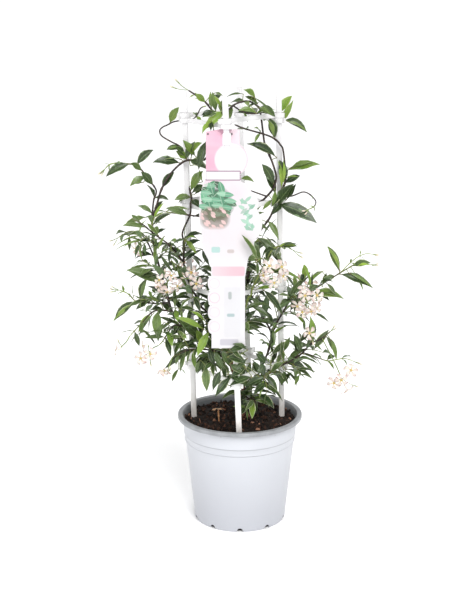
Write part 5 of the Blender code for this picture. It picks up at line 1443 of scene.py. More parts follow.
# %% Single leaves
LONE_LEAVES = {
    "loop_left": ((77, (-79, 5, 567)), (5, (-83, -17, 518)), (5, (-49, -13, 523)), (17, (-95, -14, 514))),
    "stem_arch": ((397, (-35, -39, 591)), (411, (-23, -27, 587)), (393, (-48, -45, 560)),
        (390, (-22, -49, 582)), (416, (-57, -36, 588)), (383, (-46, -50, 543)), (256, (14, -16, 521)),
        (214, (28, -18, 496)), (324, (45, -28, 558))),
    "tendril": ((99, (87, 8, 534)), (86, (68, 14, 580)), (42, (-4, -25, 563))),
    "spray_left_high": ((88, (-113, 6, 511)), (96, (-176, 3, 476)), (77, (-143, 3, 494)),
        (68, (-145, 4, 463)), (52, (-130, 4, 482))),
    "stem_outer_left": ((319, (-113, -16, 498)), (331, (-41, -22, 490)), (274, (-86, -5, 482)),
        (220, (-91, 5, 426)), (237, (-102, 4, 442)), (139, (-151, -9, 353)), (37, (-84, -12, 288))),
    "stem_left": ((228, (-48, -5, 485)), (225, (-44, -12, 466)), (221, (-86, -10, 447)),
        (218, (-51, -9, 438))),
    "branch_across": ((106, (-97, -17, 438)),),
    "spray_left_upper": ((68, (-154, -19, 415)), (78, (-143, -6, 427))),
    "stem_right": ((304, (38, 2, 553)), (258, (104, -8, 494)), (240, (51, -8, 500)), (241, (79, 5, 477)),
        (225, (41, -11, 438)), (203, (70, -17, 470)), (212, (101, -17, 417)), (187, (51, -13, 394)),
        (159, (58, -11, 360))),
    "spray_right_front": ((124, (0, -42, 409)), (160, (74, -44, 393))),
    "spray_right_out": ((80, (115, -15, 387)), (97, (173, -16, 364)), (78, (176, -20, 331)),
        (29, (138, -20, 316))),
    "branch_right_out": ((161, (85, -6, 360)),),
    "branch_right_low": ((118, (94, -21, 291)), (93, (72, -25, 269)), (140, (130, -22, 237)),
        (40, (7, -20, 191)), (41, (51, -22, 184))),
    "spray_left_out": ((49, (-170, 4, 279)), (42, (-126, 6, 337)), (32, (-140, -1, 296))),
    "spray_left_flower": ((18, (-109, -23, 260)), (28, (-136, -24, 269))),
    "spray_left_bottom": ((41, (-58, -37, 278)), (30, (-57, -34, 216)), (51, (-97, -38, 228))),
    "spray_front_low": ((54, (-44, -48, 196)), (25, (-19, -36, 203))),
}

# %% [markdown]
# Flower clusters sit where the lower shoots reach the light, and slender buds end most tips.

# %% Clusters and tips
CLUSTERS = (
    Cluster("bloom_left_mid", "stem_outer_left", (-96, -26, 338), 5, 2, 15, (-0.2, -1, 0.3)),
    Cluster("bloom_left_inner", "stem_left", (-61, -24, 346), 3, 1, 11, (0.1, -1, 0.5)),
    Cluster("bloom_left_high", "spray_left_mid", (-134, 10, 372), 2, 2, 9, (-0.3, -0.8, 0.1)),
    Cluster("bloom_left_out", "spray_left_flower", (-158, -26, 252), 2, 1, 8, (-0.8, -0.5, 0.3)),
    Cluster("bloom_left_low", "spray_left_low", (-121, -34, 246), 3, 1, 14, (-0.8, -0.6, 0.0)),
    Cluster("bloom_left_bottom", "spray_left_bottom", (-97, -42, 218), 2, 1, 7, (-0.1, -0.8, 0.5)),
    Cluster("bloom_right_front", "spray_right_front", (42, -52, 360), 5, 2, 17, (0.2, -1, 0.2)),
    Cluster("bloom_right_mid", "spray_right_out", (88, -32, 316), 7, 2, 18, (0.3, -1, 0.1)),
    Cluster("bloom_right_low", "branch_right_low", (96, -30, 268), 1, 2, 7, (0.2, -1, 0.3)),
    Cluster("bloom_right_bottom", "branch_right_low", (136, -36, 210), 4, 3, 19, (0.3, -0.8, -0.1)),
    Cluster("bloom_back_left", "spray_back_left", (-74, 108, 326), 4, 2, 14, (-0.3, 1, 0.4)),
    Cluster("bloom_back_right", "spray_back_right", (88, 106, 302), 4, 2, 14, (0.3, 1, 0.3)),
)
BUD_TIPS = (
    ("stem_arch", 3, 24), ("spray_left_high", 3, 15), ("loop_right", 2, 10), ("spray_right_front", 2, 22),
    ("shoot_right_out", 2, 12), ("spray_right_out", 2, 16), ("spray_left_mid", 2, 16),
    ("spray_left_out", 3, 15), ("twig_right_low", 2, 15), ("branch_right_low", 2, 14),
    ("spray_back_left", 2, 16), ("spray_back_right", 2, 16),
)

# %% [markdown]
# While the plant grows, coarse stand-in shapes of leaves, flowers and buds keep the parts out of each other's
# way. The fine shapes come later and lie within the same space.


# %% Coarse shapes
def thin_out(points, slack):
    """The fewest of the points whose straight line stays within the slack of them all."""
    first, last = points[0], points[-1]
    run = last - first
    worst, where = 0.0, 0
    for i in range(1, len(points) - 1):
        part = (points[i] - first).dot(run) / max(run.length_squared, 1e-9)
        off = (points[i] - first - run * max(0.0, min(1.0, part))).length
        if off > worst:
            worst, where = off, i
    if worst <= slack:
        return [first, last]
    return thin_out(points[:where + 1], slack)[:-1] + thin_out(points[where:], slack)


def tube(points, radii, sides):
    """A closed round tube. An end whose radius is zero is a point."""
    corners, rings = [], []
    across = None
    for i, point in enumerate(points):
        along = (points[min(i + 1, len(points) - 1)] - points[max(i - 1, 0)]).normalized()
        if across is None:
            across = along.orthogonal().normalized()
        across = (across - along * across.dot(along)).normalized()
        if radii[i] == 0:
            rings.append([len(corners)])
            corners.append(point.copy())
            continue
        rings.append(list(range(len(corners), len(corners) + sides)))
        for k in range(sides):
            turn = Matrix.Rotation(2 * math.pi * k / sides, 3, along)
            corners.append(point + turn @ across * radii[i])
    faces = []
    for a, b in zip(rings, rings[1:]):
        for k in range(sides):
            after = (k + 1) % sides
            if len(a) == 1:
                faces.append((a[0], b[after], b[k]))
            elif len(b) == 1:
                faces.append((a[k], a[after], b[0]))
            else:
                faces.append((a[k], a[after], b[after], b[k]))
    if len(rings[0]) > 1:
        faces.append(tuple(reversed(rings[0])))
    if len(rings[-1]) > 1:
        faces.append(tuple(rings[-1]))
    return corners, faces


# %% Coarse leaves and flowers
def leaf_spine(leaf, along):
    """The point and direction of a leaf's midrib."""
    rest = 1 - along
    point = leaf.base * rest * rest + leaf.bend * 2 * rest * along + leaf.tip * along * along
    run = (leaf.bend - leaf.base) * rest + (leaf.tip - leaf.bend) * along
    return point, run.normalized()


def blade(leaf, swell=0.0, start=0.0):
    """A leaf, flat above and keeled below: a stalk that widens from a point, a blade and a pointed tip."""
    outline = ((0.32, 0.92), (0.66, 0.84))
    if (leaf.tip - leaf.base).length > LONG_LEAF:
        outline = ((0.2, 0.7), (0.45, 1.0), (0.75, 0.68))
    foot, run = leaf_spine(leaf, start)
    corners = [foot - run * swell]
    for along, share in outline:
        centre, run = leaf_spine(leaf, start + (1 - start) * along)
        side = (leaf.side - run * leaf.side.dot(run)).normalized()
        top = side.cross(run)
        half = leaf.width / 2 * share + swell
        corners += [centre + side * half + top * swell, centre - side * half + top * swell]
        corners.append(centre - top * (LEAF_THICKNESS + swell))
    tip, run = leaf_spine(leaf, 1.0)
    corners.append(tip + run * swell)
    faces = [(0, 2, 1), (0, 3, 2), (0, 1, 3)]
    for a in range(1, 3 * len(outline) - 2, 3):
        b = a + 3
        # The two halves of each stretch are split alike, so a twisted blade keeps its thickness.
        faces += [(a, b + 1, b), (a, a + 1, b + 1), (a + 1, a + 2, b + 1), (a + 2, b + 2, b + 1)]
        faces += [(a + 2, b, b + 2), (a + 2, a, b)]
    last, end = 3 * len(outline) - 2, 3 * len(outline) + 1
    faces += [(last, last + 1, end), (last + 1, last + 2, end), (last + 2, last, end)]
    return corners, faces


def blossom(flower, swell=0.0):
    """Five skewed petals over a funnel, whose slim tube and stalk run down to the cluster's joint."""
    petal = ((0.27, -36), (0.88, -15), (1.0, 14))
    across = flower.axis.orthogonal().normalized()
    radius = flower.size + swell
    corners = [flower.centre + flower.axis * (0.3 + swell)]
    for k in range(5):
        for share, skew in petal:
            turn = Matrix.Rotation(flower.spin + math.radians(72 * k + skew), 3, flower.axis)
            lift = flower.axis * (1.6 * share - 2.4 * share * share)
            corners.append(flower.centre + turn @ across * radius * share + lift)
    rim = 5 * len(petal)
    neck = flower.centre - flower.axis * (2.4 + swell)
    run = (neck - flower.foot).normalized()
    for k in range(3):
        turn = Matrix.Rotation(flower.spin + math.radians(120 * k + 24), 3, flower.axis)
        corners.append(neck + turn @ across * (0.8 + swell))
    for k in range(3):
        turn = Matrix.Rotation(flower.spin + math.radians(120 * k + 24), 3, flower.axis)
        spread = turn @ across
        corners.append(flower.foot + (spread - run * spread.dot(run)).normalized() * (0.4 + swell))
    faces = []
    for k in range(rim):
        third = 3 * k // rim
        a, b = 1 + k, 1 + (k + 1) % rim
        faces += [(0, a, b), (1 + rim + third, b, a)]
        if 3 * ((k + 1) % rim) // rim != third:
            faces.append((1 + rim + third, 1 + rim + (third + 1) % 3, b))
    for k in range(3):
        a, b = 1 + rim + k, 1 + rim + (k + 1) % 3
        faces.append((a, a + 3, b + 3, b))
    faces.append((rim + 6, rim + 5, rim + 4))
    return corners, faces


def bud(shape):
    """A slender bud on its stalk, widest a little before its point."""
    run = (shape.tip - shape.foot).normalized()
    return tube([shape.foot, shape.tip - run * BUD_LENGTH * 0.4, shape.tip], [0.4, shape.thick, 0], 3)


def petals_alone(flower):
    """The flower with its stalk cut short."""
    return flower._replace(foot=flower.centre - flower.axis * 4)


def box_between(a, b, half_width, half_height):
    """A bar on edge from a to b."""
    run = (b - a).normalized()
    side = run.cross(UP).normalized() * half_width
    rise = UP * half_height
    corners = [end + s * side + r * rise for end in (a, b) for s, r in ((-1, -1), (1, -1), (1, 1), (-1, 1))]
    faces = [(3, 2, 1, 0), (4, 5, 6, 7)]
    faces += [(k, (k + 1) % 4, (k + 1) % 4 + 4, k + 4) for k in range(4)]
    return corners, faces


# %% Room to grow
class Obstacles:
    """What leaves and flowers must stay clear of, as surfaces with the node that each belongs to."""

    def __init__(self):
        self.found = []

    def add(self, node, shape, core=None):
        tree = BVHTree.FromPolygons(*shape)
        inner = BVHTree.FromPolygons(*core) if core else tree
        self.found.append((node, tree, inner, *reach(shape)))

    def hit(self, node, shape, core=None):
        """True if the shape crosses another node, or its core crosses its own node's."""
        tree = BVHTree.FromPolygons(*shape)
        inner = BVHTree.FromPolygons(*core) if core else None
        low, high = reach(shape)
        for other, surface, other_core, other_low, other_high in self.found:
            if any(low[i] > other_high[i] or high[i] < other_low[i] for i in range(3)):
                continue
            if other != node and tree.overlap(surface):
                return True
            if other == node and inner and inner.overlap(other_core):
                return True
        return False


def reach(shape):
    corners = shape[0]
    return [min(c[i] for c in corners) for i in range(3)], [max(c[i] for c in corners) for i in range(3)]


class Rods:
    """Straight rods with a radius, from which stems are bent clear."""

    def __init__(self):
        self.rods = []

    def add(self, a, b, radius):
        self.rods.append((Vector(a), Vector(b), radius))

    def push(self, point, radius, skip):
        """How far and which way a point has to move to be clear."""
        move = Vector()
        for number, (a, b, thick) in enumerate(self.rods):
            if number in skip or (point - a).length > (b - a).length + thick + radius + 5:
                continue
            run = b - a
            part = max(0.0, min(1.0, (point - a).dot(run) / run.length_squared))
            away = point - (a + run * part)
            need = radius + thick + 2 * GAP - away.length
            if need > 0:
                move += away.normalized() * need
        return move


def trellis_rods(rods):
    for name in STAKES:
        rods.add(stake_at(name, SOIL_TOP), stake_at(name, STAKE_TOP), STAKE_WIDTH * 0.6)
    for _, a, b in bars():
        tab = (b - a).normalized() * (EYELET_RADIUS + TAB_LENGTH)
        rods.add(a - tab, b + tab, BAR_HEIGHT / 2)
        for end in (a, b):
            rods.add(end - UP * 3, end + UP * 3, EYELET_RADIUS)


def nearest_on(points, target):
    """The nearest place on a line of points: its point, direction and distance from the start."""
    best, travelled = None, 0.0
    for a, b in zip(points, points[1:]):
        run = b - a
        part = max(0.0, min(1.0, (target - a).dot(run) / run.length_squared))
        place = a + run * part
        if best is None or (target - place).length < best[3]:
            best = (place, run.normalized(), travelled + run.length * part, (target - place).length)
        travelled += run.length
    return best[:3]


def radius_at(stem, points, distance):
    return stem.thick + (stem.thin - stem.thick) * min(1.0, distance / distances(points)[-1])


# %% [markdown]
# A side shoot leaves its parent at a slant and clears the trellis. Stems are bent away from the sticks, strips
# and from each other in a few passes.


# %% Growing the stems
def leave_parent(parent, parent_points, route):
    """The route's first points moved so that it starts just off its parent's surface."""
    place, along, distance = nearest_on(parent_points, Vector(route[0]))
    away = (Vector(route[1]) - place).normalized()
    square = away - along * away.dot(along)
    if square.length < 0.6:
        away = (square.normalized() * 0.6 + along * 0.8 * math.copysign(1, away.dot(along))).normalized()
        square = away - along * away.dot(along)
    start = place + away * (radius_at(parent, parent_points, distance) + GAP * 1.2) / square.length
    if distance > distances(parent_points)[-1] - GAP and away.dot(along) > 0.5:
        # It goes on from the parent's very tip.
        start = place + away * GAP * 2.2
    return [start, start + away * 5.0] + [Vector(p) for p in route[1:]]


def grow_stems():
    """Each stem's points and radii, bent clear of the trellis and of the stems before it."""
    rods = Rods()
    trellis_rods(rods)
    grown = {}
    spans = {}
    for name, stem in STEMS.items():
        route = [Vector(p) for p in stem.route]
        skip = set()
        apart = stem.parent and STEMS[stem.parent].node != stem.node
        if stem.parent:
            parent = STEMS[stem.parent]
            skip = set(spans[stem.parent])
            if apart:
                route = leave_parent(parent, grown[stem.parent][0], stem.route)
            else:
                route[0] = nearest_on(grown[stem.parent][0], route[0])[0]
        points = smooth_route(route, STEM_STEP)
        for _ in range(BEND_PASSES):
            for i in range(1, len(points)):
                near_parent = i * STEM_STEP < 14
                points[i] += rods.push(points[i], stem.thick + STEM_SLACK, skip if near_parent else set())
        points = thin_out(points, STEM_SLACK)
        if apart:
            points.insert(1, points[0] + (points[1] - points[0]).normalized() * 3.0)
        lengths = distances(points)
        radii = [stem.thick + (stem.thin - stem.thick) * length / lengths[-1] for length in lengths]
        if apart:
            radii[0] = 0.3
        grown[name] = (points, radii)
        first = len(rods.rods)
        for a, b in zip(points, points[1:]):
            rods.add(a, b, stem.thick)
        spans[name] = range(first, len(rods.rods))
    return grown


# %% What leaves keep clear of
def fixed_obstacles():
    """The trellis, the card, the pot's rim and the soil, each a little larger than it is."""
    found = Obstacles()
    for name in STAKES:
        ends = [stake_at(name, SOIL_TOP), stake_at(name, STAKE_TOP + GAP)]
        found.add(f"stake_{name}", tube(ends, [STAKE_WIDTH * 0.62] * 2, 8))
    for name, a, b in bars():
        found.add(name, box_between(a, b, BAR_THICKNESS / 2 + GAP, BAR_HEIGHT / 2 + GAP))
        for end, other in ((a, b), (b, a)):
            rise = UP * (BAR_HEIGHT / 2 + GAP)
            found.add(name, tube([end - rise, end + rise], [EYELET_RADIUS + GAP] * 2, 10))
            out = (end - other).normalized()
            tab_end = end + out * (EYELET_RADIUS + TAB_LENGTH + GAP)
            found.add(name, box_between(end, tab_end, 2.0, BAR_HEIGHT / 2))
    left, right = CARD_LEFT - 1, 30
    for (low, near), (high, far) in zip(CARD_BEND, CARD_BEND[1:]):
        thick = CARD_THICKNESS / 2 + GAP
        corners = [(x, y + s * thick, z) for s in (-1, 1) for x, y, z in (
            (left, near, low), (right, near, low), (right, far, high), (left, far, high))]
        found.add("label", ([Vector(c) for c in corners], [(3, 2, 1, 0), (4, 5, 6, 7)]))
    inner = RIM_RADIUS - RIM_WIDTH - 1
    profile = ((RIM_RADIUS + 1, 0), (RIM_RADIUS + 1, POT_HEIGHT + 1), (inner, POT_HEIGHT + 1),
               (inner, SOIL_TOP + 3), (0.1, SOIL_TOP + 3))
    corners, faces = [], []
    for k in range(24):
        turn = 2 * math.pi * k / 24
        corners += [Vector((r * math.cos(turn), r * math.sin(turn), z)) for r, z in profile]
        for i in range(len(profile) - 1):
            a, b = k * len(profile) + i, (k + 1) % 24 * len(profile) + i
            faces.append((a, b, b + 1, a + 1))
    found.add("pot", (corners, faces))
    return found


# %% Growing the leaves
def outward(point):
    away = Vector((point.x + 8, point.y, 0))
    return away.normalized() if away.length > 1 else Vector((0, -1, 0))


def grow_leaf(node, place, radius, along, turn, length, draw):
    """One leaf of a pair, which arches out of the stem and droops to its tip."""
    across = along.cross(UP)
    across = across.normalized() if across.length > 0.2 else Vector((1, 0, 0))
    over = across.cross(along)
    out = across * math.cos(turn) + over * math.sin(turn)
    lean = math.radians(draw.uniform(46, 66))
    axis = (along * math.cos(lean) + out * math.sin(lean) + UP * 0.22).normalized()
    place = place - axis * radius * 0.4
    sag = draw.uniform(0.35, 1.15)
    bend = place + axis * length * 0.5
    tip = bend + (axis - UP * sag).normalized() * length * 0.52
    face = UP + outward(place) * draw.uniform(0.2, 0.9)
    face += Vector((draw.uniform(-0.5, 0.5), draw.uniform(-0.7, 0.3), draw.uniform(-0.3, 0.3)))
    side = (tip - place).cross(face).normalized()
    width = length * LEAF_ASPECT * draw.uniform(0.85, 1.2)
    return Leaf(node, place, bend, tip, side, width)


def lone_leaf(name, distance, tip, stems):
    """A leaf whose tip is given. It arches up and faces forward and up."""
    points = stems[name][0]
    base = point_along(points, distances(points), distance)
    draw = random.Random(f"{SEED} lone {name} {distance} {tip}")
    tip = Vector(tip)
    length = (tip - base).length
    bend = base.lerp(tip, 0.5) + UP * length * draw.uniform(0.1, 0.2) + outward(base) * length * 0.05
    base -= (bend - base).normalized() * radius_at(STEMS[name], points, distance) * 0.4
    face = UP * 0.7 + Vector((draw.uniform(-0.3, 0.3), -0.8, draw.uniform(-0.3, 0.3)))
    side = (tip - base).cross(face).normalized()
    return Leaf(STEMS[name].node, base, bend, tip, side, 4 + length * LEAF_ASPECT * draw.uniform(0.68, 0.85))


def grow_leaves(stems, obstacles):
    """The leaves that stand out first, then the pairs along each stretch, each where it has room."""
    leaves = []

    def room_for(leaf):
        if obstacles.hit(leaf.node, blade(leaf, GAP), blade(leaf, 0.2, 0.3)):
            return False
        obstacles.add(leaf.node, blade(leaf), blade(leaf, 0, 0.3))
        leaves.append(leaf)
        return True

    for name, places in LONE_LEAVES.items():
        for distance, tip in places:
            for shift in (0, 4, -4, 8, -8, 12, -12):
                if room_for(lone_leaf(name, distance, Vector(tip) + Vector((0, shift, 0)), stems)):
                    break
    for zone in ZONES:
        points = stems[zone.stem][0]
        lengths = distances(points)
        last = min(zone.last, lengths[-1] - 1.5)
        for pair in range(int((last - zone.first) / zone.spacing) + 1):
            for twin in range(2):
                for leaf in leaf_tries(zone, points, lengths, pair, twin):
                    if room_for(leaf):
                        break
    return leaves


def leaf_tries(zone, points, lengths, pair, twin):
    """Places for one leaf of a pair, the likeliest first and each a little shorter and more turned."""
    stem = STEMS[zone.stem]
    distance = zone.first + pair * zone.spacing
    place = point_along(points, lengths, distance)
    ahead = point_along(points, lengths, min(distance + 2, lengths[-1]))
    along = (ahead - point_along(points, lengths, distance - 2)).normalized()
    draw = random.Random(f"{SEED} {zone.stem} {zone.first} {pair} {twin}")
    size = zone.length * (1 - 0.35 * (distance / lengths[-1]) ** 2) * draw.uniform(0.84, 1.12)
    for attempt in range(LEAF_TRIES):
        spread = 0.25 + 0.22 * attempt
        turn = math.radians(zone.turn + 90 * pair + 180 * twin) + draw.uniform(-spread, spread)
        length = size * (1 - 0.04 * attempt)
        yield grow_leaf(stem.node, place, radius_at(stem, points, distance), along, turn, length, draw)


# %% Growing the flowers
def grow_bloom(cluster, stems, obstacles):
    """A stalk from the carrying stem, and flowers and buds spread over a dome at its end."""
    parent = STEMS[cluster.stem]
    centre = Vector(cluster.centre)
    facing = Vector(cluster.facing).normalized()
    route = leave_parent(parent, stems[cluster.stem][0], [centre, centre])[:2]
    route += [route[1].lerp(centre, 0.6) + UP * 2, centre]
    stalk = Stalk(cluster.node, smooth_route(route, STEM_STEP), STALK_RADIUS)
    flowers, buds = [], []
    draw = random.Random(f"{SEED} {cluster.node}")
    across = facing.orthogonal().normalized()
    for number in range(cluster.flowers + cluster.buds):
        is_flower = number < cluster.flowers
        for attempt in range(FLOWER_TRIES):
            share = (number + 0.5) / (cluster.flowers + cluster.buds)
            tilt = math.radians(20 + 68 * math.sqrt(share)) * draw.uniform(0.85, 1.15)
            spin = number * 2.4 + draw.uniform(-0.3, 0.3) * (1 + attempt / 3)
            out = Matrix.Rotation(spin, 3, facing) @ Matrix.Rotation(tilt, 3, across) @ facing
            end = centre + out * cluster.spread * draw.uniform(0.85, 1.1) * (1 - 0.03 * attempt)
            if is_flower:
                axis = (out + facing * 0.9).normalized()
                foot = centre.lerp(end, 0.02)
                size = FLOWER_RADIUS * draw.uniform(0.9, 1.05)
                shape = Flower(cluster.node, foot, end, axis, draw.uniform(0, 1.2), size)
                outer, core = blossom(shape, GAP), blossom(petals_alone(shape))
            else:
                end += out * BUD_LENGTH * 0.7
                shape = Bud(cluster.node, centre, end, draw.uniform(0.9, 1.2))
                outer = core = bud(shape)
            if not obstacles.hit(cluster.node, outer, core):
                break
        else:
            continue
        if is_flower:
            obstacles.add(cluster.node, blossom(shape), blossom(petals_alone(shape)))
            flowers.append(shape)
        else:
            obstacles.add(cluster.node, bud(shape))
            buds.append(shape)
    return stalk, flowers, buds


def grow_bud_tips(stems, obstacles):
    """A fan of slender buds where a shoot ends."""
    buds = []
    for name, count, length in BUD_TIPS:
        points = stems[name][0]
        along = (points[-1] - points[-2]).normalized()
        across = along.orthogonal().normalized()
        draw = random.Random(f"{SEED} tip {name}")
        for number in range(count):
            for _ in range(BUD_TRIES):
                out = Matrix.Rotation(2.1 * number + draw.uniform(-0.5, 0.5), 3, along) @ across
                aim = (along + out * draw.uniform(0.25, 0.55) - UP * 0.15).normalized()
                end = points[-1] + aim * length * draw.uniform(0.75, 1.05)
                shape = Bud(STEMS[name].node, points[-1], end, draw.uniform(0.8, 1.1))
                if not obstacles.hit(STEMS[name].node, bud(shape)):
                    obstacles.add(STEMS[name].node, bud(shape))
                    buds.append(shape)
                    break
    return buds


def grow_plant():
    """Stems first, then flowers and buds, then the leaves that find room."""
    stems = grow_stems()
    obstacles = fixed_obstacles()
    for name, (points, radii) in stems.items():
        swollen = [r + GAP for r in radii]
        obstacles.add(STEMS[name].node, tube(points, swollen, STEM_SIDES))
    stalks, flowers, buds = [], [], []
    for cluster in CLUSTERS:
        stalk, more_flowers, more_buds = grow_bloom(cluster, stems, obstacles)
        obstacles.add(stalk.node, tube(stalk.points, [stalk.thick + GAP] * len(stalk.points), 4))
        stalks.append(stalk)
        flowers += more_flowers
        buds += more_buds
    buds += grow_bud_tips(stems, obstacles)
    leaves = grow_leaves(stems, obstacles)
    return stems, stalks, flowers, buds, leaves, obstacles


stems, stalks, flowers, buds, leaves, obstacles = grow_plant()
print(len(stems), "stems,", len(leaves), "leaves,", len(flowers), "flowers,", len(buds), "buds")

# %% [markdown]
# ## Leaves that stand out
# A good hundred leaves give the plant its outline and were read one by one: where each starts, where its tip
# is, how wide it is, and its look, from minus one for an old dark leaf to one for a young yellow-green leaf.
# Each hangs on a thin stalk from the nearest vine.

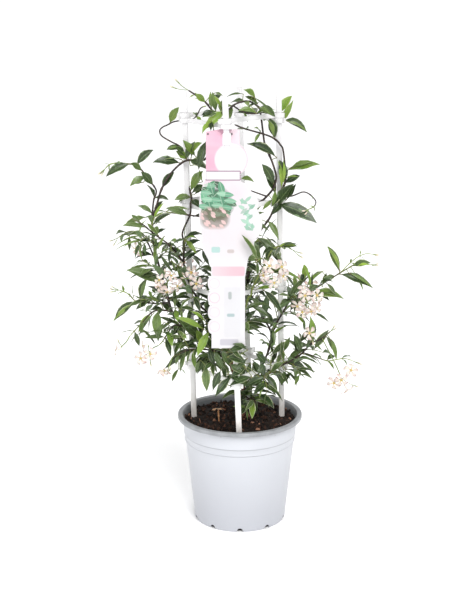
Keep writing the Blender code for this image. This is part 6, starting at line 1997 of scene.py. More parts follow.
# %% Drawn leaves
# Where a leaf starts, where its tip is across and up, its width and its look.
DRAWN = (
    ((93, -15, 328), (83, 362), 7.6, 0.6), ((36, -41, 363), (81, 347), 6.3, 0.3),
    ((29, -40, 335), (56, 301), 11.4, -1), ((16, 23, 305), (44, 290), 6.3, -1),
    ((12, -35, 311), (39, 296), 7.6, -0.2), ((47, -4, 274), (8, 283), 6.3, -0.1),
    ((8, -25, 280), (29, 271), 3.8, -1), ((8, -22, 271), (19, 268), 3.8, -1),
    ((81, -21, 240), (71, 269), 11.4, -0.3), ((58, -19, 242), (67, 265), 8.9, 0.1),
    ((34, -48, 234), (20, 251), 10.2, -1), ((25, -58, 220), (16, 245), 10.2, -1),
    ((32, -52, 218), (26, 241), 8.9, -1), ((39, -42, 219), (58, 237), 10.2, 0),
    ((34, -56, 218), (7, 207), 10.2, -0.8), ((34, -14, 204), (53, 178), 5.1, 0),
    ((14, -3, 181), (49, 177), 5.1, -0.2), ((10, -1, 181), (23, 152), 10.2, -0.5),
    ((3, 2, 178), (4, 150), 10.2, -0.8), ((47, -17, 215), (58, 195), 5.1, -0.8),
    ((53, -18, 215), (65, 197), 5.1, -0.2), ((59, -19, 217), (77, 199), 5.1, 0),
    ((61, -19, 218), (88, 207), 5.1, -0.3), ((65, -19, 222), (97, 207), 6.3, 0),
    ((81, -19, 230), (100, 213), 6.3, 0), ((84, -22, 240), (104, 231), 3.8, 0),
    ((48, 3, 227), (41, 247), 6.3, -0.8), ((54, -19, 235), (55, 260), 6.3, -0.3),
    ((65, -19, 234), (80, 245), 8.9, 0), ((121, -19, 260), (129, 232), 6.3, 0.2),
    ((99, -19, 253), (110, 245), 3.2, 0.1), ((95, -19, 259), (93, 294), 7.6, 0.6),
    ((95, -14, 296), (119, 283), 5.1, -0.8), ((132, -15, 354), (114, 387), 5.1, 0.5),
    ((155, -15, 360), (171, 362), 3.8, 1), ((144, -15, 350), (176, 330), 4.4, 0.3),
    ((154, -15, 346), (163, 327), 3.2, 0.3), ((109, -15, 352), (95, 347), 3.8, 0),
    ((110, -15, 335), (114, 352), 6.3, 0.1), ((114, -15, 337), (127, 321), 5.1, 0),
    ((104, -15, 323), (138, 316), 4.4, 0.1), ((59, -5, 346), (72, 330), 3.8, -1),
    ((24, -2, 392), (57, 356), 11.4, -0.9), ((48, -41, 391), (72, 394), 4.4, 0.8),
    ((20, -39, 333), (48, 337), 5.1, 0.6), ((20, -40, 337), (42, 354), 5.1, 0.6),
    ((24, -40, 342), (49, 350), 4.4, 0.6), ((16, 25, 342), (4, 338), 8.9, -0.2),
    ((9, 9, 337), (0, 325), 7.6, -0.8), ((84, -2, 348), (81, 335), 6.3, -1),
    ((-18, -74, 258), (9, 267), 10.2, -0.8), ((-17, -74, 252), (8, 244), 12.7, -0.9),
    ((-14, -75, 263), (3, 249), 8.9, -0.3), ((-14, -75, 243), (4, 230), 10.2, -0.6),
    ((10, -75, 262), (-10, 271), 7.6, -0.4), ((10, -75, 251), (-8, 234), 7.6, -0.7),
    ((-111, 2, 354), (-152, 349), 6.3, 0.2), ((-118, 1, 349), (-148, 339), 5.1, 0),
    ((-110, 1, 349), (-131, 348), 3.8, -1), ((-103, -3, 332), (-125, 343), 8.9, 0),
    ((-124, -1, 339), (-132, 314), 5.1, 0.1), ((-143, 9, 311), (-144, 328), 3.8, 0.2),
    ((-120, 5, 304), (-141, 307), 6.3, 0.1), ((-140, 9, 303), (-172, 278), 5.7, 0.4),
    ((-104, -4, 324), (-111, 302), 6.3, 0), ((-94, -8, 312), (-63, 314), 6.3, -1),
    ((-114, -20, 297), (-135, 265), 4.4, 0), ((-101, -23, 285), (-109, 259), 8.9, -0.1),
    ((-81, -8, 281), (-89, 265), 7.6, 0), ((-79, -8, 282), (-74, 258), 8.9, 0),
    ((-46, -48, 281), (-84, 300), 8.9, 0.5), ((-43, -50, 291), (-65, 309), 7.6, 0.75),
    ((-39, -52, 282), (-56, 248), 11.4, 0.6), ((-100, -29, 258), (-69, 269), 3.8, 0),
    ((-96, -29, 261), (-70, 262), 3.2, 0), ((-66, -3, 254), (-84, 242), 6.3, -0.2),
    ((-59, -32, 249), (-97, 226), 5.7, -0.6), ((-80, -38, 245), (-85, 231), 6.3, 0),
    ((-62, -34, 249), (-59, 225), 7, 0.4), ((-66, -35, 247), (-70, 233), 3.8, 0),
    ((-45, -32, 238), (-49, 217), 8.9, -0.3), ((-53, -44, 239), (-58, 221), 5.1, 0),
    ((-41, -48, 258), (-33, 233), 8.9, -0.8), ((-34, -58, 257), (-21, 230), 8.9, -0.3),
    ((-24, -66, 261), (-13, 237), 8.9, -0.2), ((-25, -56, 229), (-36, 203), 10.2, -1),
    ((-11, -66, 224), (-33, 196), 12.7, -1), ((-58, 1, 324), (-40, 310), 10.2, -1),
    ((-55, 5, 304), (-38, 297), 8.9, -1), ((-50, 7, 288), (-38, 274), 7.6, -1),
    ((-75, -2, 361), (-49, 381), 5.1, -1), ((-50, -3, 380), (-40, 358), 6.3, -0.8),
    ((-65, -2, 372), (-48, 361), 4.4, -1), ((-84, -2, 357), (-68, 325), 6.3, 0.2),
    ((-107, 5, 372), (-88, 345), 5.1, 0), ((-57, 0, 341), (-39, 340), 3.8, -1),
    ((-70, 1, 326), (-39, 326), 4.4, -1), ((-53, -1, 352), (-39, 344), 6.3, -1),
    ((-111, 6, 381), (-113, 360), 5.1, 0.4), ((-124, 15, 394), (-167, 381), 3.8, 0.4),
    ((-117, 8, 389), (-168, 376), 3.8, 0.4), ((-117, 7, 386), (-136, 389), 3.8, -1),
    ((-107, -12, 400), (-122, 418), 7.6, 0.2), ((-112, 11, 411), (-91, 426), 3.8, 0),
    ((-99, -5, 430), (-67, 435), 6.3, 0.2), ((-115, 8, 417), (-100, 442), 3.8, 0.8),
    ((-111, 6, 363), (-111, 392), 6.3, 0.4), ((-80, -4, 371), (-96, 386), 7.6, -0.5),
    ((-99, -12, 400), (-108, 382), 3.8, 0.3), ((-74, -3, 394), (-53, 403), 7.6, -0.8),
    ((-74, -3, 383), (-52, 393), 7.6, -0.8), ((-128, 9, 467), (-143, 465), 5.7, 0),
    ((-66, -3, 451), (-81, 443), 5.1, -0.1), ((-62, -3, 446), (-51, 439), 7.6, -1),
    ((-60, -3, 453), (-42, 466), 6.3, 0), ((-49, -2, 470), (-53, 487), 5.1, 0.9),
    ((-65, -7, 492), (-36, 487), 7.6, 0.8), ((-69, -6, 500), (-83, 512), 10.2, 0.4),
    ((-64, -7, 502), (-50, 523), 11.4, 0.4), ((-78, -9, 516), (-95, 514), 3.8, 0.2),
    ((-76, -6, 500), (-114, 496), 4.4, 0.3), ((-36, -35, 569), (-37, 592), 5.1, 0.4),
    ((-33, -34, 589), (-22, 586), 3.8, 0.1), ((-24, -45, 570), (-33, 587), 8.9, 0.6),
    ((-33, -41, 566), (-49, 562), 7.6, -1), ((-36, -41, 555), (-48, 539), 7.6, 0.7),
    ((-34, -41, 555), (-37, 543), 6.3, -1), ((20, -26, 581), (4, 593), 10.2, 0.3),
    ((16, -29, 584), (43, 559), 4.4, 0), ((22, -22, 570), (42, 559), 8.9, 0.2),
    ((4, -36, 588), (-17, 585), 3.2, 0), ((21, -50, 565), (-3, 569), 8.9, 0.3),
    ((43, -9, 530), (35, 553), 7.6, 0.3), ((47, 10, 538), (69, 576), 8.9, 0.5),
    ((61, 9, 548), (87, 535), 5.7, 0.3), ((54, -3, 460), (49, 500), 5.1, 0.8),
    ((55, -3, 465), (56, 500), 4.4, 0.8), ((65, -1, 488), (95, 496), 7.6, 0.2),
    ((58, -1, 474), (77, 477), 3.2, 0.5), ((42, -11, 448), (29, 435), 6.3, 0.3),
    ((46, -12, 461), (42, 441), 6.3, 0.3), ((29, -6, 420), (17, 424), 3.2, 0.6),
    ((0, -21, 477), (18, 474), 7.6, 0.2), ((22, -73, 380), (2, 415), 10.2, 0.1),
    ((48, -11, 503), (8, 522), 12.7, -1), ((47, -5, 452), (30, 487), 11.4, -1),
    ((55, -6, 444), (42, 428), 11.4, -0.9), ((60, -7, 446), (73, 469), 8.9, -0.7),
    ((-57, -10, 504), (-74, 527), 10.2, 0.3), ((23, -23, 574), (6, 584), 7.6, 0.1),
    ((-124, 13, 420), (-154, 409), 11.4, 0.1), ((-42, -33, 530), (-53, 492), 11.4, -0.7),
    ((-70, -8, 500), (-58, 525), 8.9, -0.6), ((56, -17, 196), (70, 215), 7.6, 0.1),
    ((61, -19, 217), (55, 196), 8.9, -0.2), ((16, -56, 237), (29, 225), 11.4, -0.7),
    ((16, -75, 225), (-14, 214), 11.4, -0.9), ((-17, -74, 229), (8, 214), 10.2, -0.9),
    ((8, -74, 237), (-13, 225), 10.2, -1),
)
print(len(DRAWN), "leaves read")

# %% Hanging the drawn leaves
Drawn = namedtuple("Drawn", "base tip width look")
# A tip lies this much further forward than its foot, and a little less before the front stake.
TIP_FORWARD, FRONT_FORWARD = 5, 3
FRONT_DEPTH = -65
HANG_RADIUS = 0.5
# A thin shoot from the foot that passes under the card and carries the leaves before the front stake.
FRONT_SHOOT = ((-8, -4, 262), (-14, -36, 268), (-9, -66, 257), (2, -73, 242))
FRONT_NODE = "spray_front_low"


def with_depth(base, tip, width, look):
    x, z = tip
    y = base[1] - (FRONT_FORWARD if base[1] < FRONT_DEPTH else TIP_FORWARD)
    return Drawn(base, (x, y, z), width, look)


def drawn_leaf(one):
    """The leaf and the stalk it hangs on. A level leaf arches, a hanging one leaves its stalk outwards."""
    base, tip = Vector(one.base), Vector(one.tip)
    length = (tip - base).length
    level = 1 - abs(tip.z - base.z) / length
    bend = base.lerp(tip, 0.5) + UP * length * (0.04 + 0.2 * level)
    bend += outward(base) * length * 0.12 * (1 - level)
    draw = random.Random(f"{SEED} drawn {one.base} {one.tip}")
    face = UP * 0.75 + Vector((draw.uniform(-0.4, 0.4), -0.7 + draw.uniform(-0.2, 0.4), 0))
    near, foot, node = min(
        ((base - nearest_on(points, base)[0]).length, nearest_on(points, base)[0].copy(), holder)
        for points, holder in holders)
    leaf = Leaf(node, base, bend, tip, (tip - base).cross(face).normalized(), one.width)
    obstacles.add(node, blade(leaf), blade(leaf, 0, 0.35))
    return leaf, (node, [foot, foot.lerp(base, 0.5) + UP * near * 0.06, base])


front_route = smooth_route(FRONT_SHOOT, 3.0)
holders = [(points, STEMS[name].node) for name, (points, _) in stems.items() if STEMS[name].node != "trunk"]
holders.append((front_route, FRONT_NODE))
drawn_rows = [with_depth(*row) for row in DRAWN]
drawn = [drawn_leaf(one) for one in drawn_rows]
longest = max((route[0] - route[2]).length for _, (_, route) in drawn)
print(len(drawn), "leaves drawn, the longest stalk", round(longest, 1), "mm")

# %% [markdown]
# ## The finer growth between the vines
# Low down the plant is a thicket. Between the measured leaves sit many thin side shoots, each with two or
# three pairs of leaves and a small pale pair at its end. They follow the same rule of growth from a few
# numbers for each stretch of vine, and take only the room that is left.

# %% Side shoots
Shoots = namedtuple("Shoots", "stem first last spacing reach leaf turn")
SHOOTS = (
    Shoots("stem_outer_left", 22, 205, 19, 34, 35, 0),
    Shoots("stem_left", 16, 165, 17, 34, 35, 60),
    Shoots("spray_left_upper", 10, 70, 17, 22, 31, 20),
    Shoots("spray_left_mid", 10, 60, 22, 20, 28, 10),
    Shoots("spray_left_flower", 10, 50, 20, 24, 30, 40),
    Shoots("spray_left_low", 8, 46, 19, 24, 31, 0),
    Shoots("spray_left_bottom", 10, 84, 17, 28, 33, 70),
    Shoots("spray_left_out", 6, 34, 16, 22, 30, 30),
    Shoots("spray_front_low", 6, 44, 14, 24, 36, 10),
    Shoots("spray_centre_low", 6, 36, 14, 20, 34, 50),
    Shoots("trunk", 70, 166, 14, 26, 38, 0),
    Shoots("branch_right_low", 8, 118, 14, 30, 36, 30),
    Shoots("branch_right_out", 10, 176, 14, 32, 38, 0),
    Shoots("spray_right_front", 14, 46, 14, 30, 36, 50),
    Shoots("spray_right_front", 132, 160, 14, 26, 32, 50),
    Shoots("spray_right_inner", 8, 96, 15, 28, 36, 20),
    Shoots("spray_right_out", 8, 50, 17, 22, 30, 60),
    Shoots("stem_right", 24, 150, 18, 28, 36, 10),
    Shoots("stem_arch", 40, 140, 20, 28, 36, 40),
)
SHOOT_TRIES = 7
SHOOT_LEAF_TRIES = 5
SHOOT_RADIUS = 0.62
SHOOT_TURN = 137
PAIR_SPACING = 10.0
# The least room between the side shoots and the limits of the measured size.
MARGIN = 1.5
# Openings in the foliage that show the background, as seen from the camera: left, right, low and high.
WINDOWS = (
    (-125, -100, 267, 294), (11, 40, 256, 279), (30, 43, 293, 309), (-95, -75, 389, 399), (-53, -43, 184, 208),
    (-107, -91, 230, 256), (-91, -72, 214, 224), (8, 38, 236, 256), (10, 22, 225, 236), (53, 81, 259, 281),
    (58, 89, 351, 380), (98, 114, 313, 326), (-122, -102, 204, 232), (-81, -68, 211, 236), (-52, -31, 184, 212),
)


def in_window(place):
    """Whether a place is seen in an opening."""
    height = place.z + place.y * math.tan(math.radians(90 - CAMERA_TILT))
    return any(left < place.x < right and low < height < high for left, right, low, high in WINDOWS)


def within(place):
    """Whether a place keeps within the measured size."""
    sides = zip(place, *cad_box)
    return all(low / METRES + MARGIN < value < high / METRES - MARGIN for value, low, high in sides)


# %% Growing the side shoots
def shoot_route(zone, number, draw):
    """A shoot that leaves its vine at a slant, rises and then droops."""
    points = stems[zone.stem][0]
    lengths = distances(points)
    distance = min(zone.first + number * zone.spacing, lengths[-1] - 2)
    place = point_along(points, lengths, distance)
    ahead, behind = (point_along(points, lengths, distance + way * 2) for way in (1, -1))
    along = (ahead - behind).normalized()
    across = along.cross(UP)
    across = across.normalized() if across.length > 0.2 else Vector((1, 0, 0))
    turn = math.radians(zone.turn + SHOOT_TURN * number + draw.uniform(-40, 40))
    out = across * math.cos(turn) + across.cross(along) * math.sin(turn)
    aim = (along * draw.uniform(0.3, 0.8) + out + UP * draw.uniform(0.0, 0.4)).normalized()
    reach_out = zone.reach * draw.uniform(0.65, 1.15)
    middle = place + aim * reach_out * 0.5
    tip = middle + (aim - UP * draw.uniform(0.2, 0.9)).normalized() * reach_out * 0.5
    return smooth_route([place, middle, tip], 4.0)


def clear_route(zone, number, draw):
    """The first route with room, or none."""
    for _ in range(SHOOT_TRIES):
        route = shoot_route(zone, number, draw)
        seen_clear = not in_window(route[-1]) and not in_window(route[len(route) // 2])
        if not seen_clear or not within(route[-1]):
            continue
        if not obstacles.hit(STEMS[zone.stem].node, tube(route[1:], [SHOOT_RADIUS] * (len(route) - 1), 3)):
            return route


def has_room(leaf):
    """Whether a leaf finds room. If so it takes it."""
    middle = leaf.base.lerp(leaf.tip, 0.5)
    if in_window(leaf.tip) or in_window(middle) or not within(leaf.tip) or not within(leaf.bend):
        return False
    if obstacles.hit(leaf.node, blade(leaf, 0.1), blade(leaf, 0.1, 0.35)):
        return False
    obstacles.add(leaf.node, blade(leaf), blade(leaf, 0, 0.35))
    return True


def shoot_pairs(zone, route, draw):
    """The opposite pairs of leaves along a shoot, smaller towards its end."""
    lengths = distances(route)
    pairs = max(1, round(lengths[-1] / PAIR_SPACING))
    for pair in range(1, pairs + 1):
        distance = lengths[-1] * pair / pairs - 0.5
        place = point_along(route, lengths, distance)
        along = (place - point_along(route, lengths, distance - 3)).normalized()
        for twin in range(2):
            size = zone.leaf * (1.05 - 0.45 * (pair / pairs) ** 2) * draw.uniform(0.8, 1.15)
            straight = math.radians(90 * pair + 180 * twin + zone.turn)
            for attempt in range(SHOOT_LEAF_TRIES):
                turn = straight + draw.uniform(-0.3, 0.3) * (1 + attempt)
                length = size * (1 - 0.05 * attempt)
                leaf = grow_leaf(STEMS[zone.stem].node, place, SHOOT_RADIUS, along, turn, length, draw)
                leaf = leaf._replace(width=leaf.width * draw.uniform(0.75, 1.15))
                if has_room(leaf):
                    yield leaf
                    break


def grow_shoots():
    """Lines of the side shoots, and the leaves on them."""
    routes, more = [], []
    for zone in SHOOTS:
        for number in range(int((zone.last - zone.first) / zone.spacing) + 1):
            draw = random.Random(f"{SEED} shoot {zone.stem} {number}")
            route = clear_route(zone, number, draw)
            if route:
                routes.append((STEMS[zone.stem].node, route))
                more += shoot_pairs(zone, route, draw)
    return routes, more


shoots, shoot_leaves = grow_shoots()
shoots.append((FRONT_NODE, front_route))
print(len(shoots), "side shoots with", len(shoot_leaves), "leaves")

# %% [markdown]
# ## Lines that become stems
# Vines, flower stalks, flower tubes and buds are all round forms along a curved line, thick here and thin
# there. One geometry tree sweeps a circle along each line and scales it by a *radius* that was stored on the
# line's points, so the same tree makes a woody vine and a bud on a thread of a stalk. Lines are
# sampled closely and a vine starts inside its parent, swells a little where leaves sit, and tapers.

# %% Tree for round forms
Line = namedtuple("Line", "points radii tones")


def round_tree():
    """A closed round form along each line, as thick as the line's own radius."""
    tree, given, result = new_tree("round_forms", ("Sides", "Int", 8))
    circle = put(tree, "GeometryNodeCurvePrimitiveCircle", {"Resolution": given["Sides"], "Radius": 1.0})
    swept = put(tree, "GeometryNodeCurveToMesh", {
        "Curve": lines_of(tree, given["Geometry"]), "Profile Curve": circle.outputs[0],
        "Scale": read(tree, "radius"), "Fill Caps": True})
    return close_tree(tree, given, result, swept.outputs[0])


round_forms = round_tree()


def round_piece(name, lines, sides, finish, nodes):
    corners, edges, radii, tones = [], [], [], []
    for line in lines:
        edges += [(len(corners) + k, len(corners) + k + 1) for k in range(len(line.points) - 1)]
        corners += line.points
        radii += [r * METRES for r in line.radii]
        tones += line.tones
    source = new_mesh(name + "_lines", corners, edges=edges)
    store(source, "radius", radii)
    store(source, "tone", tones)
    mesh = run_tree(name, source, round_forms, {"Sides": sides, "Material": finish})
    return finish_piece(name, mesh, None, nodes, sharp=60)


# %% Lines of the vines
VINE_STEP = 2.4
KNOT_SWELL = 0.32
BARK_SWELL = 1.15
GREEN_BELOW, BROWN_ABOVE = 0.62, 1.15
OLD_THIN = ("loop_left", "loop_right", "tendril", "spur_label", "branch_across")
YOUNG_STEMS = ("spray_right_front",)
YOUNG_TIP = 22.0
YOUNG_REACH = 60
FOOT_SWELL, FOOT_REACH = 0.25, 3
FAR_FROM_LEAVES = 99.0


def vine_line(name):
    """A vine's smooth line from inside its parent, with knots at its leaves. Its tone is one where it's old."""
    stem = STEMS[name]
    points = stems[name][0]
    start = points[0]
    if stem.parent:
        start = nearest_on(stems[stem.parent][0], points[0])[0]
    route = smooth_route([start] + points[1:] if (start - points[0]).length > 0.01 else points, VINE_STEP)
    lengths = distances(route)
    bases = [leaf.base for leaf in leaves if leaf.node == stem.node]
    thick, tones = [], []
    for point, length in zip(route, lengths):
        radius = stem.thick + (stem.thin - stem.thick) * length / lengths[-1]
        radius *= BARK_SWELL
        near = min(((base - point).length for base in bases), default=FAR_FROM_LEAVES)
        knot = KNOT_SWELL * math.exp(-(near / (radius + 0.9)) ** 2)
        thick.append(radius * (1 + knot + FOOT_SWELL * math.exp(-length / FOOT_REACH)))
        tone = (radius - GREEN_BELOW) / (BROWN_ABOVE - GREEN_BELOW)
        if name in OLD_THIN:
            tone = (lengths[-1] - length) / YOUNG_TIP
        if name in YOUNG_STEMS:
            tone = 0.5 - length / YOUNG_REACH
        tones.append(min(1.0, max(0.0, tone)))
    thick[-1] *= 0.5
    return Line(route, thick, tones)


# %% [markdown]
# Old vines are dark brown with fine lengthwise cracks and pale spots, young shoots are green. The *tone* of
# the line blends from one to the other.


# %% Bark of the vines
BARK_SPOT = (0.32, 0.22, 0.15, 1)
YOUNG_GREEN = (0.26, 0.34, 0.08, 1)


def bark_finish(name, old, old_pale, young):
    finish, tree, surface = new_material(name, Roughness=0.6)
    wood = mottled(tree, 140.0, 1.3, old, old_pale)
    fibres = use_group(tree, grain, Scale=1500.0, Stretch=0.15)["Height"]
    spots = ramp(tree, noise_at(tree, object_place(tree), 520.0, 1.0), 0.68, 0.74, 0.0, 0.6)
    wood = blend(tree, spots, wood, BARK_SPOT)
    shoots = mottled(tree, 90.0, 1.0, young, YOUNG_GREEN)
    uneven = maths(tree, "MULTIPLY_ADD", fibres, 0.3, -0.15)
    age = ramp(tree, plus(tree, attribute(tree, "tone"), uneven), 0.15, 0.6)
    feed(tree, surface, Base_Color=blend(tree, age, shoots, wood), Normal=bump(tree, fibres, 0.0003, 0.8))
    return finish


vine_nodes = list(dict.fromkeys(stem.node for stem in STEMS.values() if stem.node != "trunk"))
trunk_bark = bark_finish("trunk_bark", (0.075, 0.028, 0.015, 1), (0.2, 0.085, 0.05, 1), (0.1, 0.08, 0.03, 1))
vine_bark = bark_finish("vine_bark", (0.01, 0.006, 0.005, 1), (0.045, 0.024, 0.016, 1), (0.17, 0.2, 0.045, 1))
round_piece("trunk_wood", [vine_line("trunk")], 14, trunk_bark, ["trunk"])
vines = [vine_line(name) for name, stem in STEMS.items() if stem.node != "trunk"]
for _, route in shoots:
    shares = [k / (len(route) - 1) for k in range(len(route))]
    thick = [SHOOT_RADIUS * (1.25 - 0.6 * share) for share in shares]
    vines.append(Line(route, thick, [0.45 * (1 - share) for share in shares]))
for _, (_, route) in drawn:
    if (route[2] - route[0]).length > 1.0:
        points = smooth_route(route, 3.0)
        vines.append(Line(points, [HANG_RADIUS] * len(points), [0.3] * len(points)))
round_piece("vines", vines, 8, vine_bark, vine_nodes)

# %% [markdown]
# ## Leaves
# A leaf has a short round stalk and a leathery lance-shaped blade: channelled along its rib, often wavy at
# the edge and arched from stalk to tip. All leaves are copies of one closed thin pattern whose points know
# their place on a leaf. The tree then bends each copy along its own midrib. That gives every leaf its
# own curve without modelling it.

# %% Leaf pattern
# How far along the leaf each ring of points is, the blade's share of full width there, and the stalk's share.
LEAF_RINGS = ((0.0, 0.0, 1.0), (0.09, 0.05, 0.8), (0.17, 0.36, 0.2), (0.3, 0.78, 0.0), (0.46, 1.0, 0.0),
              (0.63, 0.88, 0.0), (0.79, 0.56, 0.0), (0.91, 0.24, 0.0), (1.0, 0.0, 0.12))
# The ring's points: across, and one above or minus one below.
LEAF_SECTION = (
    (-1.0, 0.0), (-0.55, 1.0), (0.0, 1.0), (0.55, 1.0), (1.0, 0.0), (0.55, -1.0), (0.0, -1.0), (-0.55, -1.0))


def leaf_pattern():
    cells, forms, faces = [], [], []
    for along, blade_share, stalk_share in LEAF_RINGS:
        for across, above in LEAF_SECTION:
            cells.append(Vector((across, along, above)))
            forms.append(Vector((blade_share, stalk_share, 0)))
    count = len(LEAF_SECTION)
    for ring in range(len(LEAF_RINGS) - 1):
        low = ring * count
        for k in range(count):
            after = (k + 1) % count
            faces.append((low + k, low + k + count, low + after + count, low + after))
    faces.append(tuple(range(count)))
    faces.append(tuple(reversed(range(len(cells) - count, len(cells)))))
    mesh = bpy.data.meshes.new("leaf")
    mesh.from_pydata(cells, [], faces)
    store(mesh, "cell", cells)
    store(mesh, "form", forms)
    return mesh


# %% Leaf tree
def leaf_tree():
    """Copies the pattern to each point and bends it along the midrib stored there."""
    tree, given, result = new_tree(
        "leaves", ("Pattern", "Object", None), ("Blade Half Thickness", "Float", 0.00016),
        ("Stalk Radius", "Float", 0.0005), ("Waviness", "Float", 0.16))
    pattern = shape_from(tree, given["Pattern"])
    real = made_real(tree, copies_at(tree, points_of(tree, given["Geometry"]), pattern))
    base, bend, tip, side = (read(tree, name, "FLOAT_VECTOR") for name in ("base", "bend", "tip", "side"))
    cell = parts_of(tree, read(tree, "cell", "FLOAT_VECTOR"))
    form = parts_of(tree, read(tree, "form", "FLOAT_VECTOR"))
    across, along, above = cell["X"], cell["Y"], cell["Z"]
    rest = minus(tree, 1.0, along)
    first = vectors(tree, "SCALE", base, times(tree, rest, rest))
    second = vectors(tree, "SCALE", bend, times(tree, times(tree, rest, along), 2.0))
    third = vectors(tree, "SCALE", tip, times(tree, along, along))
    spine = vectors(tree, "ADD", vectors(tree, "ADD", first, second), third)
    outgoing = vectors(tree, "SCALE", vectors(tree, "SUBTRACT", bend, base), rest)
    ending = vectors(tree, "SCALE", vectors(tree, "SUBTRACT", tip, bend), along)
    run = vectors(tree, "NORMALIZE", vectors(tree, "ADD", outgoing, ending))
    slip = vectors(tree, "SCALE", run, vectors(tree, "DOT_PRODUCT", side, run))
    square = vectors(tree, "NORMALIZE", vectors(tree, "SUBTRACT", side, slip))
    top = vectors(tree, "CROSS_PRODUCT", square, run)
    half = times(tree, times(tree, read(tree, "width"), 0.5), form["X"])
    stalk = times(tree, given["Stalk Radius"], form["Y"])
    reach_out = times(tree, plus(tree, half, stalk), across)
    distance = maths(tree, "ABSOLUTE", across)
    channel = times(tree, read(tree, "fold"), distance)
    rolled = times(tree, times(tree, distance, distance), -0.12)
    own_phase = times(tree, read(tree, "tone"), 40.0)
    phase = plus(tree, times(tree, along, 11.0), own_phase)
    ripple = maths(tree, "SINE", maths(tree, "MULTIPLY_ADD", across, 1.3, phase))
    waves = times(tree, times(tree, ripple, distance), given["Waviness"])
    lift = times(tree, half, plus(tree, plus(tree, channel, rolled), waves))
    round_part = times(tree, stalk, 0.7)
    thick = times(tree, plus(tree, given["Blade Half Thickness"], round_part), above)
    place = vectors(tree, "ADD", spine, vectors(tree, "SCALE", square, reach_out))
    place = vectors(tree, "ADD", place, vectors(tree, "SCALE", top, plus(tree, lift, thick)))
    shaped = put(tree, "GeometryNodeSetPosition", {"Geometry": real, "Position": place}).outputs[0]
    return close_tree(tree, given, result, shaped)


# %% [markdown]
# The upper side is glossy dark green with a pale rib and faint side veins, the underside is matt and pale.
# Young leaves at the tips are yellow-green, and some leaves low on the plant have cream edges. These
# differences are numbers on each leaf, so the finish stays one finish.


# %% Leaf finish
DARK_GREEN = (0.007, 0.019, 0.004, 1), (0.029, 0.06, 0.014, 1)
MIDDLE_GREEN = (0.075, 0.13, 0.03, 1), (0.18, 0.26, 0.075, 1)
YELLOW_GREEN = (0.16, 0.32, 0.026, 1), (0.33, 0.46, 0.05, 1)
VEIN_GREEN = (0.3, 0.42, 0.16, 1)
CREAM = (0.64, 0.66, 0.42, 1)
UNDERSIDE = (0.2, 0.3, 0.15, 1)
STALK_BROWN = (0.16, 0.13, 0.05, 1)
VEINS = 10.0
VEIN_SLANT = 0.16


def leaf_finish():
    finish, tree, surface = new_material(
        "leaf_green", Coat_Weight=0.32, Coat_Roughness=0.24, Specular_IOR_Level=0.3)
    cell = parts_of(tree, attribute(tree, "cell", "Vector"))
    across, along, above = maths(tree, "ABSOLUTE", cell["X"]), cell["Y"], cell["Z"]
    tone, young, margin = (attribute(tree, name) for name in ("tone", "young", "margin"))
    dark = mottled(tree, 70.0, 0.8, *DARK_GREEN)
    middle = mottled(tree, 70.0, 0.8, *MIDDLE_GREEN)
    light = mottled(tree, 60.0, 0.8, *YELLOW_GREEN)
    colour = blend(tree, tone, dark, middle)
    colour = blend(tree, young, colour, light)
    slanted = minus(tree, along, times(tree, across, VEIN_SLANT))
    line = times(tree, slanted, VEINS)
    off = maths(tree, "ABSOLUTE", minus(tree, maths(tree, "FRACT", line), 0.5))
    veins = times(tree, ramp(tree, off, 0.09, 0.02), ramp(tree, across, 0.95, 0.6))
    rib = times(tree, ramp(tree, across, 0.13, 0.05), ramp(tree, along, 1.0, 0.75, 0.2, 1.0))
    pale = blend(tree, 0.5, colour, VEIN_GREEN)
    colour = blend(tree, times(tree, veins, 0.28), colour, pale)
    colour = blend(tree, times(tree, rib, 0.5), colour, pale)
    wander = noise_at(tree, object_place(tree), 160.0, 2.0)
    edge = ramp(tree, maths(tree, "MULTIPLY_ADD", wander, 0.34, across), 0.95, 1.05)
    colour = blend(tree, times(tree, edge, margin), colour, CREAM)
    under = ramp(tree, above, -0.02, -0.12)
    colour = blend(tree, under, colour, blend(tree, 0.62, colour, UNDERSIDE))
    colour = blend(tree, ramp(tree, along, 0.14, 0.06), colour, STALK_BROWN)
    sunk = plus(tree, veins, times(tree, rib, 1.5))
    relief = minus(tree, times(tree, wander, 0.4), sunk)
    rough = maths(tree, "MULTIPLY_ADD", under, 0.3, maths(tree, "MULTIPLY_ADD", wander, 0.16, 0.28))
    feed(tree, surface, Base_Color=colour, Roughness=rough, Normal=bump(tree, relief, 0.00025, 0.7))
    return finish


leaf_green = leaf_finish()

# %% Leaf pieces
# Low on the plant more leaves have cream edges, and the leaves are narrower.
CREAM_BELOW = 430.0
CREAM_CHANCE, CREAM_CHANCE_ABOVE = 0.38, 0.2
SLIMMEST, BROADEST = 0.6, 1.02
# Short leaves are young, and others are now and then, the more so the higher they grow.
YOUNG_LENGTH = 22.0
YOUNG_CHANCE, YOUNG_CHANCE_AT_TOP = 0.1, 0.25
YOUNG_FROM, YOUNG_RISE = 420, 180


